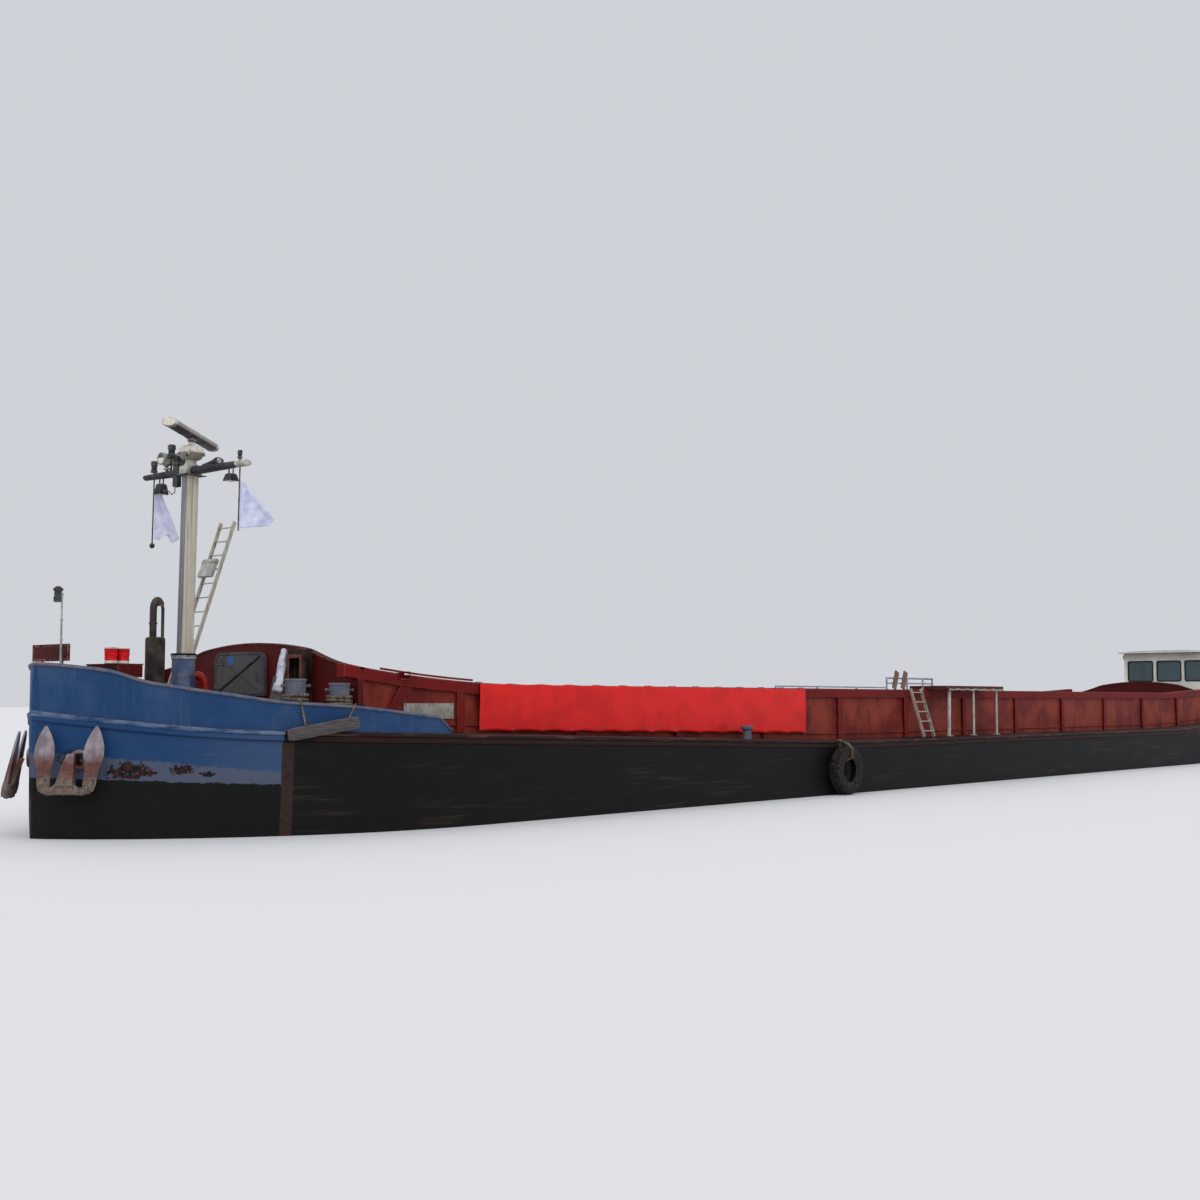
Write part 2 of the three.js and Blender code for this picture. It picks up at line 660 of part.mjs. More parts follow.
mast.add(masthead);
add('crosstree', 'black', crosstree(), masthead);
add('radar_gearbox', 'cream', join(
  post(0, 0, RADAR.foot, 0.36, 0.12, 16, RADAR.housing),
  post(0, 0, 0.35, 0.49, RADAR.housing, 16, RADAR.housing - 0.012),
  post(0, 0, 0.48, RADAR.neck, 0.07, 12, 0.05),
), masthead);

const scanner = add('radar_scanner', 'cream', join(
  bar([0, -RADAR.reach, 0.108], [0, RADAR.reach, 0.108], RADAR.thick, 12).scale(RADAR.flat, 1, 1),
  post(0, 0, 0, 0.1, 0.07, 12),
), masthead);
scanner.position.z = RADAR.neck + 0.012;
scanner.rotation.z = -THREE.MathUtils.degToRad(53);

// Each flag hangs from a pole under the arm's end. The starboard pole has a ball weight.
const FLAG_TURN = THREE.MathUtils.degToRad(40);

function flag(y, cloth, poleFoot, ballRadius) {
  const armUnderside = ARM.z - ARM.root + ((ARM.root - ARM.tip) * Math.abs(y)) / ARM.port - SLIT;
  const pieces = [across(outline(cloth), -0.01, 0.01), post(0, 0, poleFoot, armUnderside, 0.014, 8)];
  if (ballRadius) {
    pieces.push(new THREE.SphereGeometry(ballRadius, 12, 8).translate(0, 0, poleFoot));
  }
  return join(...pieces);
}
const FLAGS = [
  {
    name: 'flag_port', y: 1.3, poleFoot: -0.98, ballRadius: 0,
    cloth: [[0, -0.2], [0.07, -0.21], [0.57, -0.8], [0.5, -0.9], [0.02, -0.95]],
  },
  {
    name: 'flag_starboard', y: -1.01, poleFoot: -1.08, ballRadius: 0.045,
    cloth: [
      [0, -0.2], [0.13, -0.22], [0.36, -0.72], [0.46, -0.96], [0.34, -1.04], [0.24, -0.92], [0.03, -0.96],
    ],
  },
];
for (const { name, y, cloth, poleFoot, ballRadius } of FLAGS) {
  const mesh = add(name, 'white', flag(y, cloth, poleFoot, ballRadius), masthead);
  mesh.position.set(0, y, 0);
  mesh.rotation.z = FLAG_TURN;
}

// Jackstaff and the blank name board at the stem.
const JACKSTAFF = { x: 27.08, top: 5.12, radius: 0.02 };
const STEM_LAMP = { x: 27.11, y: -0.06, foot: 4.98, top: 5.22, radius: 0.075 };
add('jackstaff', 'white', join(
  post(JACKSTAFF.x, 0, sheer(JACKSTAFF.x) + 0.03, JACKSTAFF.top, JACKSTAFF.radius, 8),
  post(STEM_LAMP.x, STEM_LAMP.y, STEM_LAMP.foot, STEM_LAMP.top, STEM_LAMP.radius, 10),
));
const NAME_BOARD = { x: 26.98, thickness: 0.04, port: 0.1, starboard: -0.9, foot: 4.09, top: 4.35 };

function nameBoard() {
  const { x, thickness, port, starboard, foot, top } = NAME_BOARD;
  const legFoot = sheer(x) + 0.06;
  const legs = [-0.66, -0.1].map((y) => box(x, x + thickness, y - 0.02, y + 0.02, legFoot, foot + 0.03));
  return join(box(x, x + thickness, starboard, port, foot, top), ...legs);
}
add('name_board', 'oxide', nameBoard());

// An open-fronted locker stands against the fore bulkhead, with a wrapped bundle beside it.
const LOCKER = {
  aft: 23.52, fore: 23.69, starboard: 1.14, port: 1.57, top: 4.33, mouthFoot: 3.5, wall: 0.04,
};

function locker() {
  const { aft, fore, starboard, port, top, mouthFoot, wall } = LOCKER;
  const whole = box(aft, fore, starboard, port, foredeckAt(fore), top);
  return cut(whole, box(aft + wall, fore + 0.1, starboard + wall, port - wall, mouthFoot, top - 0.11));
}
add('locker', 'black', locker());
add('wrapped_bundle', 'white', bar([24.1, 1.3, 3.09], [23.62, 0.98, 4.34], 0.075, 8));

// A ladder: two rails and its rungs. The fore one leans on the arched bulkhead's top edge.
function ladder(from, to, halfWidth, rungs, across) {
  const a = new THREE.Vector3(...from);
  const b = new THREE.Vector3(...to);
  const side = new THREE.Vector3(...across).multiplyScalar(halfWidth);
  const pieces = [-1, 1].map((end) => {
    const shift = side.clone().multiplyScalar(end);
    return bar(a.clone().add(shift).toArray(), b.clone().add(shift).toArray(), 0.025, 6);
  });
  for (let i = 0; i < rungs; i += 1) {
    const middle = a.clone().lerp(b, (i + 0.6) / rungs);
    pieces.push(bar(middle.clone().sub(side).toArray(), middle.clone().add(side).toArray(), 0.014, 6));
  }
  return join(...pieces);
}
add('ladder_fore', 'galvanised', ladder([24.0, -1.78, 3.1], [22.56, -1.99, 6.73], 0.2, 14, [0, 1, 0]));

// Blank number plates on both coamings and the plain red banner to port.
function plateShape() {
  return box(21.35, 22.49, COAMING.outer + 0.004, COAMING.outer + 0.024, 3.19, 3.45);
}
add('number_plate_port', 'white', plateShape());
add('number_plate_starboard', 'white', mirrored(plateShape()));

const BANNER = { fore: 20.8, aft: 10.55, y: 2.7, thickness: 0.02 };
add('banner', 'red', along(outline([
  [BANNER.aft, 2.76], [BANNER.fore, 2.95], [BANNER.fore, 3.79], [BANNER.aft, 3.76],
]), BANNER.y, BANNER.y + BANNER.thickness));

// Fenders: a worn plank and a lorry tyre.
const PLANK = {
  length: 1.12, half: 0.04, depth: 0.19, tilt: 0.172, turn: -0.384, aftEnd: [23.85, 3.07, 3.16],
};
add('fender_plank', 'wood', box(0, PLANK.length, -PLANK.half, PLANK.half, -PLANK.depth / 2, PLANK.depth / 2)
  .rotateY(PLANK.tilt)
  .rotateZ(PLANK.turn)
  .translate(...PLANK.aftEnd));
const TYRE = { x: 10.18, z: 1.99, radius: 0.385, tread: 0.14 };
const tyre = new THREE.TorusGeometry(TYRE.radius, TYRE.tread, 8, 20).rotateX(Math.PI / 2);
add('tyre_fender', 'rubber', tyre.translate(TYRE.x, HALF_BEAM + WALE.out + TYRE.tread + 0.005, TYRE.z));

// Loading platform on the port coaming, on three posts, with its rail and a ladder.
const PLATFORM = { fore: 4.95, aft: 1.9, inner: 2.2, outer: 3.26, foot: COAMING.top + SLIT, top: 3.8706 };
const PLATFORM_POST = { y: 3.14, radius: 0.035, at: [4.66, 3.37, 2.08] };
const { y: postY, radius: postRadius } = PLATFORM_POST;
add('loading_platform', 'wood', join(
  box(PLATFORM.aft, PLATFORM.fore, PLATFORM.inner, PLATFORM.outer, PLATFORM.foot, PLATFORM.top),
  ...PLATFORM_POST.at.map((x) => post(x, postY, DEPTH + 0.03, PLATFORM.foot + 0.05, postRadius, 8)),
));

const RAIL = {
  y: 2.6, top: 4.04, low: 3.92, aft: 4.5, fore: 6.81, radius: 0.022,
  uprights: [4.52, 5.01, 5.8, 6.79],
  handZ: 3.812, handFore: 11.6, handRadius: 0.016, clips: [8.2, 9.9, 11.57],
};
const LEANING_BOARDS = [6.1, 6.52];

function platformRail() {
  const { y, top, low, aft, fore, radius, uprights, handZ, handFore, handRadius, clips } = RAIL;
  const rim = COAMING.top + SLIT;
  const boardTop = PLATFORM.top + SLIT;
  const posts = uprights.map((x) => post(x, y, x < PLATFORM.fore + radius ? boardTop : rim, top, radius, 8));
  const rails = [low, top].map((z) => bar([aft, y, z], [fore, y, z], radius, 8));
  const handrail = bar([6.79, y, handZ], [handFore, y, handZ], handRadius, 6);
  const feet = clips.map((x) => post(x, y, rim, handZ, handRadius, 6));
  const boards = LEANING_BOARDS.map((x) => box(-0.085, 0.085, -0.02, 0.02, 0, 0.47)
    .rotateY(-0.37)
    .translate(x, y + 0.03, COAMING.top + 0.035));
  return join(...posts, ...rails, ...boards, handrail, ...feet);
}
add('platform_rail', 'silver', platformRail());
add('ladder_side', 'galvanised', ladder([5.74, 3.15, 2.63], [5.62, 2.73, 3.79], 0.25, 5, [1, 0, 0]));

// Engine trunk with its hatch, the wheelhouse and the cabin.
const AFT_DECK = sheer(-16.6) + CAMBER + 0.15;
const TRUNK = { fore: -16.5, aft: -18.6, halfWidth: 1.9, top: 3.75 };
const HATCH = { fore: -16.9, aft: -18.1, halfWidth: 0.6 };

function engineTrunk() {
  const { fore, aft, halfWidth, top } = TRUNK;
  const whole = box(aft, fore, -halfWidth, halfWidth, AFT_DECK, top);
  return cut(whole, box(HATCH.aft, HATCH.fore, -HATCH.halfWidth, HATCH.halfWidth, top - 0.4, top + 0.1));
}
add('engine_trunk', 'oxide', engineTrunk());
add('engine_hatch', 'grey', box(
  HATCH.aft - 0.06, HATCH.fore + 0.06, -HATCH.halfWidth - 0.06, HATCH.halfWidth + 0.06,
  TRUNK.top + 0.012, TRUNK.top + 0.08,
));

const HOUSE_FOOT = sheer(WHEELHOUSE.aft) + CAMBER + 0.02;

function windowedWall(turnAcross, from, to, at, windows) {
  const wall = turnAcross
    ? box(at, at + WHEELHOUSE.wall, from, to, HOUSE_FOOT, WHEELHOUSE.top)
    : box(from, to, at, at + WHEELHOUSE.wall, HOUSE_FOOT, WHEELHOUSE.top);
  const holes = windows.map(([a, b, sill]) => (turnAcross
    ? box(at - 0.1, at + 0.2, a, b, sill, WHEELHOUSE.head)
    : box(a, b, at - 0.1, at + 0.2, sill, WHEELHOUSE.head)));
  return cut(wall, ...holes);
}

const { fore: houseFore, aft: houseAft, halfWidth: houseHalf, wall: houseWall, sill: houseSill } = WHEELHOUSE;
const frontPanes = [[-1.55, -0.6, houseSill], [-0.45, 0.45, houseSill], [0.6, 1.55, houseSill]];
const frontWallX = houseFore - houseWall;
add('wheelhouse_front', 'white', windowedWall(true, -houseHalf, houseHalf, frontWallX, frontPanes));
add('wheelhouse_back', 'white', windowedWall(true, -houseHalf, houseHalf, houseAft, frontPanes));

// The doorway is the open stretch of each side wall, and a window stands on either side of it.
const DOORWAY = { fore: -19.9, aft: -20.7, head: 5.05 };
const sideInner = [houseAft + houseWall + SLIT, houseFore - houseWall - SLIT];
const portSide = cut(
  windowedWall(false, ...sideInner, houseHalf - houseWall, [
    [-19.75, -19.1, houseSill],
    [-21.7, -20.85, houseSill],
  ]),
  box(DOORWAY.aft, DOORWAY.fore, houseHalf - 0.2, houseHalf + 0.2, HOUSE_FOOT + 0.15, DOORWAY.head),
);
add('wheelhouse_port', 'white', portSide);
add('wheelhouse_starboard', 'white', mirrored(portSide));

function houseDoor() {
  const leaf = box(
    DOORWAY.aft - 0.04, DOORWAY.fore + 0.04, houseHalf + 0.012, houseHalf + 0.05,
    HOUSE_FOOT + 0.13, DOORWAY.head + 0.03,
  );
  return cut(leaf, box(DOORWAY.aft + 0.08, DOORWAY.fore - 0.08, houseHalf, houseHalf + 0.1, houseSill, 4.95));
}
add('wheelhouse_door_port', 'white', houseDoor());
add('wheelhouse_door_starboard', 'white', mirrored(houseDoor()));
add('wheelhouse_roof', 'white', box(
  houseAft - 0.15, houseFore + 0.35, -houseHalf - 0.12, houseHalf + 0.12,
  WHEELHOUSE.top + SLIT, WHEELHOUSE.top + 0.1,
));
add('helm', 'grey', join(
  box(-19.5, -19.15, -0.8, 0.8, HOUSE_FOOT, 3.95),
  bar([-19.6, 0, 3.9], [-19.4, 0, 3.9], 0.04, 8),
  bar([-19.64, 0, 3.9], [-19.6, 0, 3.9], 0.34, 16),
));

function cabin() {
  const shape = new THREE.Shape();
  shape.moveTo(-22.15, -2.1);
  shape.lineTo(-22.15, 2.1);
  shape.absarc(-24.6, 1.1, 1.0, Math.PI / 2, Math.PI);
  shape.absarc(-24.6, -1.1, 1.0, Math.PI, 1.5 * Math.PI);
  const foot = sheer(-25.6) + CAMBER + 0.01;
  return new THREE.ExtrudeGeometry(shape, { depth: 4.0 - foot, bevelEnabled: false, curveSegments: 6 })
    .translate(0, 0, foot);
}
add('cabin', 'white', cabin());

// Under the counter: the skeg with its heel, the propeller and the rudder.
const SHAFT = { z: 0.82, mouth: -24.6 };

function skeg() {
  const top = [-24.35, -23.5, -22.5, -21.75].map((x) => [x, keel(x) - SLIT]);
  const heel = [[-24.35, 0.14], [-26.25, 0.14], [-26.25, 0.005]];
  const profile = outline([[-21.6, 0.005], ...top.reverse(), ...heel]);
  return join(along(profile, -0.08, 0.08), bar([-24.2, 0, SHAFT.z], [SHAFT.mouth, 0, SHAFT.z], 0.11, 14));
}
add('skeg', 'tar', skeg());

function propeller() {
  const hub = bar([-0.3, 0, 0], [0, 0, 0], 0.13, 14);
  const blades = [0, 1, 2, 3].map((i) => box(-0.02, 0.02, -0.17, 0.17, 0.05, 0.6)
    .rotateZ(0.7)
    .rotateX((i * Math.PI) / 2)
    .translate(-0.15, 0, 0));
  return join(hub, ...blades);
}
const screw = add('propeller', 'bronze', propeller());
screw.position.set(SHAFT.mouth - 0.012, 0, SHAFT.z);

const RUDDER = { x: -26.05, foot: 0.17, head: 1.5 };
add('rudder', 'tar', join(
  box(-26.95, -25.72, -0.04, 0.04, RUDDER.foot, RUDDER.head),
  post(RUDDER.x, 0, RUDDER.foot, RUDDER.head + 0.12, 0.07, 12),
));

barge.scale.setScalar(MODEL_SCALE * MM_PER_METRE);

export default barge;
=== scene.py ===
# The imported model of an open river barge, at half its real size, is the fixed frame of this scene.
import math

import bmesh
import bpy
from mathutils import Matrix, Vector, noise


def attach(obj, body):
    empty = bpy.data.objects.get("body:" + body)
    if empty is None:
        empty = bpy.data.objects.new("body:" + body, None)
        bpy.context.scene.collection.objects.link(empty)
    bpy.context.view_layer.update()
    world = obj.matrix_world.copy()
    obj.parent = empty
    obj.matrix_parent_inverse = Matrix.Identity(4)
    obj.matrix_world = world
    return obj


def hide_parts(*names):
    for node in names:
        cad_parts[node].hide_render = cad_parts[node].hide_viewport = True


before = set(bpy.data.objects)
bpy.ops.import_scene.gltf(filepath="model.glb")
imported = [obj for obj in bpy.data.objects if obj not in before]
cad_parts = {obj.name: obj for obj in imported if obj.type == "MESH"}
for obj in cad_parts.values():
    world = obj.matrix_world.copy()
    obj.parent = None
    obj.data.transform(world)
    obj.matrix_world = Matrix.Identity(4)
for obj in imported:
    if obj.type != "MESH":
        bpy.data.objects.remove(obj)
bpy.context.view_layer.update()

# The view is from ahead of the barge and to port of it, a little over its waterline, looking up.
# A pale sky all round and three very soft suns stand in for the overcast day.
fore_view = bpy.data.cameras.new("fore_view")
fore_view.lens = 47.28
fore_view.sensor_width = 36
fore_view.clip_end = 500
camera = bpy.data.objects.new("fore_view", fore_view)
camera.location = (20.07, 10.755, 1.735)
camera.rotation_euler = (math.radians(93.7), 0, math.radians(129.85))
bpy.context.scene.collection.objects.link(camera)
bpy.context.scene.camera = camera
bpy.context.scene.view_settings.view_transform = "Standard"

sky = bpy.data.worlds.new("sky")
sky.use_nodes = True
sky.node_tree.nodes["Background"].inputs["Color"].default_value = (0.78, 0.81, 0.86, 1)
sky.node_tree.nodes["Background"].inputs["Strength"].default_value = 0.8
bpy.context.scene.world = sky

SUNS = {
    "light_port": ((0.5, 0.8, 0.8), 1.1),
    "light_bow": ((1.0, -0.3, 0.7), 0.55),
    "light_starboard": ((-0.6, -0.8, 0.8), 0.5),
}
SUN_WIDTH = math.radians(65)
for light_name, (towards, strength) in SUNS.items():
    soft_sun = bpy.data.lights.new(light_name, "SUN")
    soft_sun.angle = SUN_WIDTH
    soft_sun.energy = strength
    light = bpy.data.objects.new(light_name, soft_sun)
    light.rotation_euler = Vector(towards).to_track_quat("Z", "Y").to_euler()
    bpy.context.scene.collection.objects.link(light)

# The hull is welded from bent steel plate round frames: a flat bottom, a round bilge, upright sides and
# a full bow. A half-round rubbing bar runs along the deck edge. Forward of the hold it is painted blue
# down to the waterline, and behind that it is tarred. The plates are slightly dented between frames.
HALF = 0.5
LENGTH = 55.0
BOW, STERN = LENGTH / 2, -LENGTH / 2
HALF_BEAM = 3.3
DECK_EDGE = 2.6
HOLD_FORE, HOLD_AFT, HOLD_SIDE = 23.5, -16.0, 2.52
# Where the blue paint begins along the hull, in model metres like all that a finish reads.
BLUE_FROM = 12.435


def clamp(value):
    return min(1.0, max(0.0, value))


def sheer(x):
    fore = 0.028 * max(0, x - 9.5) + 0.032 * max(0, x - 24.85) ** 2
    return DECK_EDGE + fore + 0.033 * max(0, -x - 10.5)


def half_deck(x):
    from_bow = (BOW - x) / 6
    from_stern = (x - STERN) / 4.5
    if from_bow < 1:
        return max(0.045, HALF_BEAM * (1 - (1 - from_bow) ** 2) ** (1 / 1.4))
    if from_stern < 1:
        return HALF_BEAM * math.sqrt(1 - ((1 - from_stern) / 1.02) ** 2)
    return HALF_BEAM


def keel(x):
    stem_foot = 1.1 * clamp(1 - (BOW - x) / 2.2) ** 2.2
    run = clamp((-21.5 - x) / 3.2)
    return stem_foot + 1.5 * run * run * (3 - 2 * run) + 0.4 * clamp((-24.7 - x) / 2.8)


def dent(x, z, depth):
    """How far a plate is pushed in or out between its frames."""
    frames = math.sin(x * math.pi / 0.56) ** 2
    return depth * noise.noise(Vector((x * 0.9, z * 1.7, 3.1))) * (0.4 + 0.6 * frames)


def half_section(x):
    """Half of a frame's outline, from the keel out to the deck edge and in to the middle."""
    deck = half_deck(x)
    bow_share = clamp(1 - (BOW - x) / 6)
    stern_share = clamp(1 - (x - STERN) / 6)
    side = deck * (1 - 0.1 * clamp(1 - (BOW - x) / 4))
    wide = min(0.9 * side, 0.3 + 1.2 * bow_share**2 + 1.6 * stern_share)
    high = 0.3 + 0.9 * bow_share**2 + 0.4 * stern_share
    bottom, edge = keel(x), sheer(x)
    outline = [((side - wide) * 0.5, bottom)]
    for turn in range(9):
        angle = turn / 8 * math.pi / 2
        outline.append((side - wide * (1 - math.sin(angle)), bottom + high * (1 - math.cos(angle))))
    foot, head = bottom + high, edge - 0.17
    for row in range(1, 10):
        z = foot + (head - foot) * row / 9
        swell = dent(x, z, 0.016) if 0.25 < deck and row < 9 else 0
        outline.append((side + (deck - side) * row / 9 + swell, z))
    outline += [(deck + 0.04, edge - 0.15), (deck + 0.045, edge - 0.075)]
    for turn in range(6):
        angle = -math.pi / 2 + turn / 5 * math.pi
        outline.append((deck + 0.035 + 0.035 * math.cos(angle), edge - 0.032 + 0.035 * math.sin(angle)))
    camber = 0.05 * clamp((BOW - x) / 2) * clamp((x - STERN) / 2)
    for share in (0.995, 0.85, 0.764, 0.5, 0.25):
        y = deck * share
        outline.append((y, edge + camber * (1 - share**2) + dent(x, y, 0.006)))
    return outline, edge + camber


def around(count):
    """Angles set evenly round a circle."""
    return [math.tau * i / count for i in range(count)]


class Steelwork:
    """Closed solids, gathered in real metres and made into one piece at half the size."""

    def __init__(self):
        self.points = []
        self.faces = []

    def skin(self, rings, loop=False):
        """Joins rings of points, and closes both ends unless the rings run round in a loop."""
        first, count, last = len(self.points), len(rings[0]), len(rings) - 1
        for ring in rings:
            self.points.extend(tuple(point) for point in ring)
        for k in range(last + 1 if loop else last):
            here = first + k * count
            there = first + (k + 1) % (last + 1) * count
            for i in range(count):
                j = (i + 1) % count
                self.faces.append((here + i, here + j, there + j, there + i))
        if not loop:
            self.faces.append(tuple(first + i for i in reversed(range(count))))
            self.faces.append(tuple(first + last * count + i for i in range(count)))
        return self

    def block(self, x0, x1, y0, y1, z0, z1):
        return self.skin([[(x, y0, z0), (x, y1, z0), (x, y1, z1), (x, y0, z1)] for x in (x0, x1)])

    def slab(self, outline, lift):
        """A flat outline with a thickness, given as the way from one face to the other."""
        return self.skin([outline, [Vector(point) + Vector(lift) for point in outline]])

    def turned(self, foot, profile, axis=(0, 0, 1), sides=28):
        """A piece from the lathe: (height, radius) steps along an axis that starts at its foot."""
        foot, axis = Vector(foot), Vector(axis).normalized()
        aside = axis.orthogonal().normalized()
        ahead = axis.cross(aside)
        spokes = around(sides)
        return self.skin([
            [foot + axis * h + (aside * math.cos(a) + ahead * math.sin(a)) * max(r, 1e-4) for a in spokes]
            for h, r in profile
        ])

    def bar(self, start, end, radius, sides=14, tip=None):
        way = Vector(end) - Vector(start)
        return self.turned(start, [(0, radius), (way.length, tip or radius)], way, sides)

    def pipe(self, path, radius, sides=12, loop=False):
        """A round tube along a path, which may be closed. The radius may change along it."""
        path = [Vector(point) for point in path]
        count = len(path)
        radii = radius if isinstance(radius, list) else [radius] * count
        rings = []
        aside = None
        for i, point in enumerate(path):
            before = path[i - 1] if i or loop else point
            after = path[(i + 1) % count] if i < count - 1 or loop else point
            way = (after - before).normalized()
            aside = way.orthogonal() if aside is None else aside - way * aside.dot(way)
            aside.normalize()
            ahead = way.cross(aside)
            spokes = around(sides)
            rings.append([point + (aside * math.cos(a) + ahead * math.sin(a)) * radii[i] for a in spokes])
        return self.skin(rings, loop)

    def take(self, mesh):
        """Adds a finished mesh, which is in model metres."""
        first = len(self.points)
        self.points.extend(tuple(v.co / HALF) for v in mesh.vertices)
        self.faces.extend(tuple(first + i for i in face.vertices) for face in mesh.polygons)
        return self

    def place(self, matrix, start=0):
        """Moves the points, or only those added since start."""
        for i in range(start, len(self.points)):
            self.points[i] = tuple(matrix @ Vector(self.points[i]))
        return self

    def mirror(self):
        """The same work on the other side of the centreline."""
        other = Steelwork()
        other.points = [(x, -y, z) for x, y, z in self.points]
        other.faces = list(self.faces)
        return other

    def mesh(self, name):
        made = bpy.data.meshes.new(name)
        made.from_pydata([tuple(c * HALF for c in point) for point in self.points], [], self.faces)
        sewn = bmesh.new()
        sewn.from_mesh(made)
        bmesh.ops.recalc_face_normals(sewn, faces=sewn.faces)
        sewn.to_mesh(made)
        sewn.free()
        return made


def fit(work, name, coat, body, slot, replaces=(), bevel=0.0, crease=32):
    """Makes the piece, rounds its edges, and puts it on its body with its finish."""
    made = work.mesh(name) if isinstance(work, Steelwork) else work
    made.materials.clear()
    made.materials.append(coat)
    made.polygons.foreach_set("use_smooth", [True] * len(made.polygons))
    made.set_sharp_from_angle(angle=math.radians(crease))
    piece = bpy.data.objects.new(name, made)
    bpy.context.scene.collection.objects.link(piece)
    if bevel:
        rounding = piece.modifiers.new("rounding", "BEVEL")
        rounding.width = bevel * HALF
        rounding.segments = 2
        rounding.limit_method = "ANGLE"
        rounding.angle_limit = math.radians(40)
        rounding.harden_normals = True
    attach(piece, body)
    if replaces:
        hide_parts(*replaces)
    return piece


def cut_out(work, holes, name):
    """Takes closed solids out of a piece and returns the mesh that is left."""
    whole = bpy.data.objects.new(name, work.mesh(name))
    bpy.context.scene.collection.objects.link(whole)
    cutters = []
    for hole in holes:
        cutter = bpy.data.objects.new(name + "_hole", hole.mesh(name + "_hole"))
        bpy.context.scene.collection.objects.link(cutter)
        saw = whole.modifiers.new("saw", "BOOLEAN")
        saw.operation = "DIFFERENCE"
        saw.solver = "EXACT"
        saw.object = cutter
        cutters.append(cutter)
    left = bpy.data.meshes.new_from_object(whole.evaluated_get(bpy.context.evaluated_depsgraph_get()))
    for spare in [whole, *cutters]:
        bpy.data.objects.remove(spare)
    return left


SKY_SHEEN, SKY_LIGHT = 0.009, 0.92


def shade_of(red, green, blue):
    """A paint's own colour from its screen values in this light: the sky's sheen on it is taken off."""
    parts = [c / 255 for c in (red, green, blue)]
    seen = [c / 12.92 if c <= 0.04045 else ((c + 0.055) / 1.055) ** 2.4 for c in parts]
    return tuple(max(0.003, (c - SKY_SHEEN) / SKY_LIGHT) for c in seen) + (1.0,)


class Coat:
    """A finish mixed from nodes that read the piece's own coordinates, in model metres."""

    def __init__(self, name, metallic=0.0):
        self.material = bpy.data.materials.new(name)
        self.material.use_nodes = True
        self.tree = self.material.node_tree
        self.shader = self.tree.nodes["Principled BSDF"]
        self.shader.inputs["Metallic"].default_value = metallic
        self.shader.inputs["Specular IOR Level"].default_value = 0.16
        self.place = self.tree.nodes.new("ShaderNodeTexCoord").outputs["Object"]
        axes = self.tree.nodes.new("ShaderNodeSeparateXYZ")
        self.tree.links.new(self.place, axes.inputs[0])
        self.x, self.y, self.z = axes.outputs

    def node(self, kind, inputs, output=0, **settings):
        made = self.tree.nodes.new(kind)
        for key, value in settings.items():
            setattr(made, key, value)
        for key, value in inputs.items():
            if isinstance(value, bpy.types.NodeSocket):
                self.tree.links.new(value, made.inputs[key])
            else:
                made.inputs[key].default_value = value
        return made.outputs[output]

    def grain(self, size, detail=4.0, grit=0.55, stretch=(1, 1, 1), at=(0, 0, 0)):
        """Soft clouds of one size, drawn out along an axis by stretch."""
        scale = tuple(1 / (size * s) for s in stretch)
        spot = self.node("ShaderNodeMapping", {"Vector": self.place, "Location": at, "Scale": scale})
        return self.node("ShaderNodeTexNoise", {
            "Vector": spot, "Scale": 1.0, "Detail": detail, "Roughness": grit,
        })

    def step(self, value, low, high, most=1.0):
        """Goes from none to most between two values."""
        return self.node("ShaderNodeMapRange", {
            "Value": value, "From Min": low, "From Max": high, "To Max": most,
        }, interpolation_type="SMOOTHSTEP")

    def sum(self, operation, first, second):
        return self.node("ShaderNodeMath", {0: first, 1: second}, operation=operation)

    def both(self, *masks):
        made = masks[0]
        for mask in masks[1:]:
            made = self.sum("MULTIPLY", made, mask)
        return made

    def either(self, first, second):
        return self.sum("MAXIMUM", first, second)

    def over(self, under, layer, mask):
        """One paint laid over another where the mask lets it. Either may be given by its screen values."""
        under, layer = (shade_of(*paint) if isinstance(paint, tuple) else paint for paint in (under, layer))
        return self.node("ShaderNodeMix", {0: mask, 6: under, 7: layer}, 2, data_type="RGBA")

    def edges(self, reach, low=0.985, high=0.9):
        """Shows where a surface turns a corner, so that paint can be worn there."""
        rounded = self.node("ShaderNodeBevel", {"Radius": reach}, samples=4)
        flat = self.node("ShaderNodeNewGeometry", {}, "Normal")
        facing = self.node("ShaderNodeVectorMath", {0: rounded, 1: flat}, "Value", operation="DOT_PRODUCT")
        return self.step(facing, low, high)

    def facing_up(self, low=0.6, high=0.85):
        flat = self.node("ShaderNodeNewGeometry", {}, "Normal")
        split = self.tree.nodes.new("ShaderNodeSeparateXYZ")
        self.tree.links.new(flat, split.inputs[0])
        return self.step(split.outputs["Z"], low, high)

    def spread(self, colour, roughness, height=None, depth=0.001):
        for socket, value in (("Base Color", colour), ("Roughness", roughness)):
            if isinstance(value, bpy.types.NodeSocket):
                self.tree.links.new(value, self.shader.inputs[socket])
            else:
                self.shader.inputs[socket].default_value = value
        if height is not None:
            raised = self.node("ShaderNodeBump", {"Height": height, "Strength": 1.0, "Distance": depth})
            self.tree.links.new(raised, self.shader.inputs["Normal"])
        return self.material


RUST_DARK = (50, 30, 25)
RUST_BRIGHT = (108, 62, 42)
GRIME = (42, 38, 35)


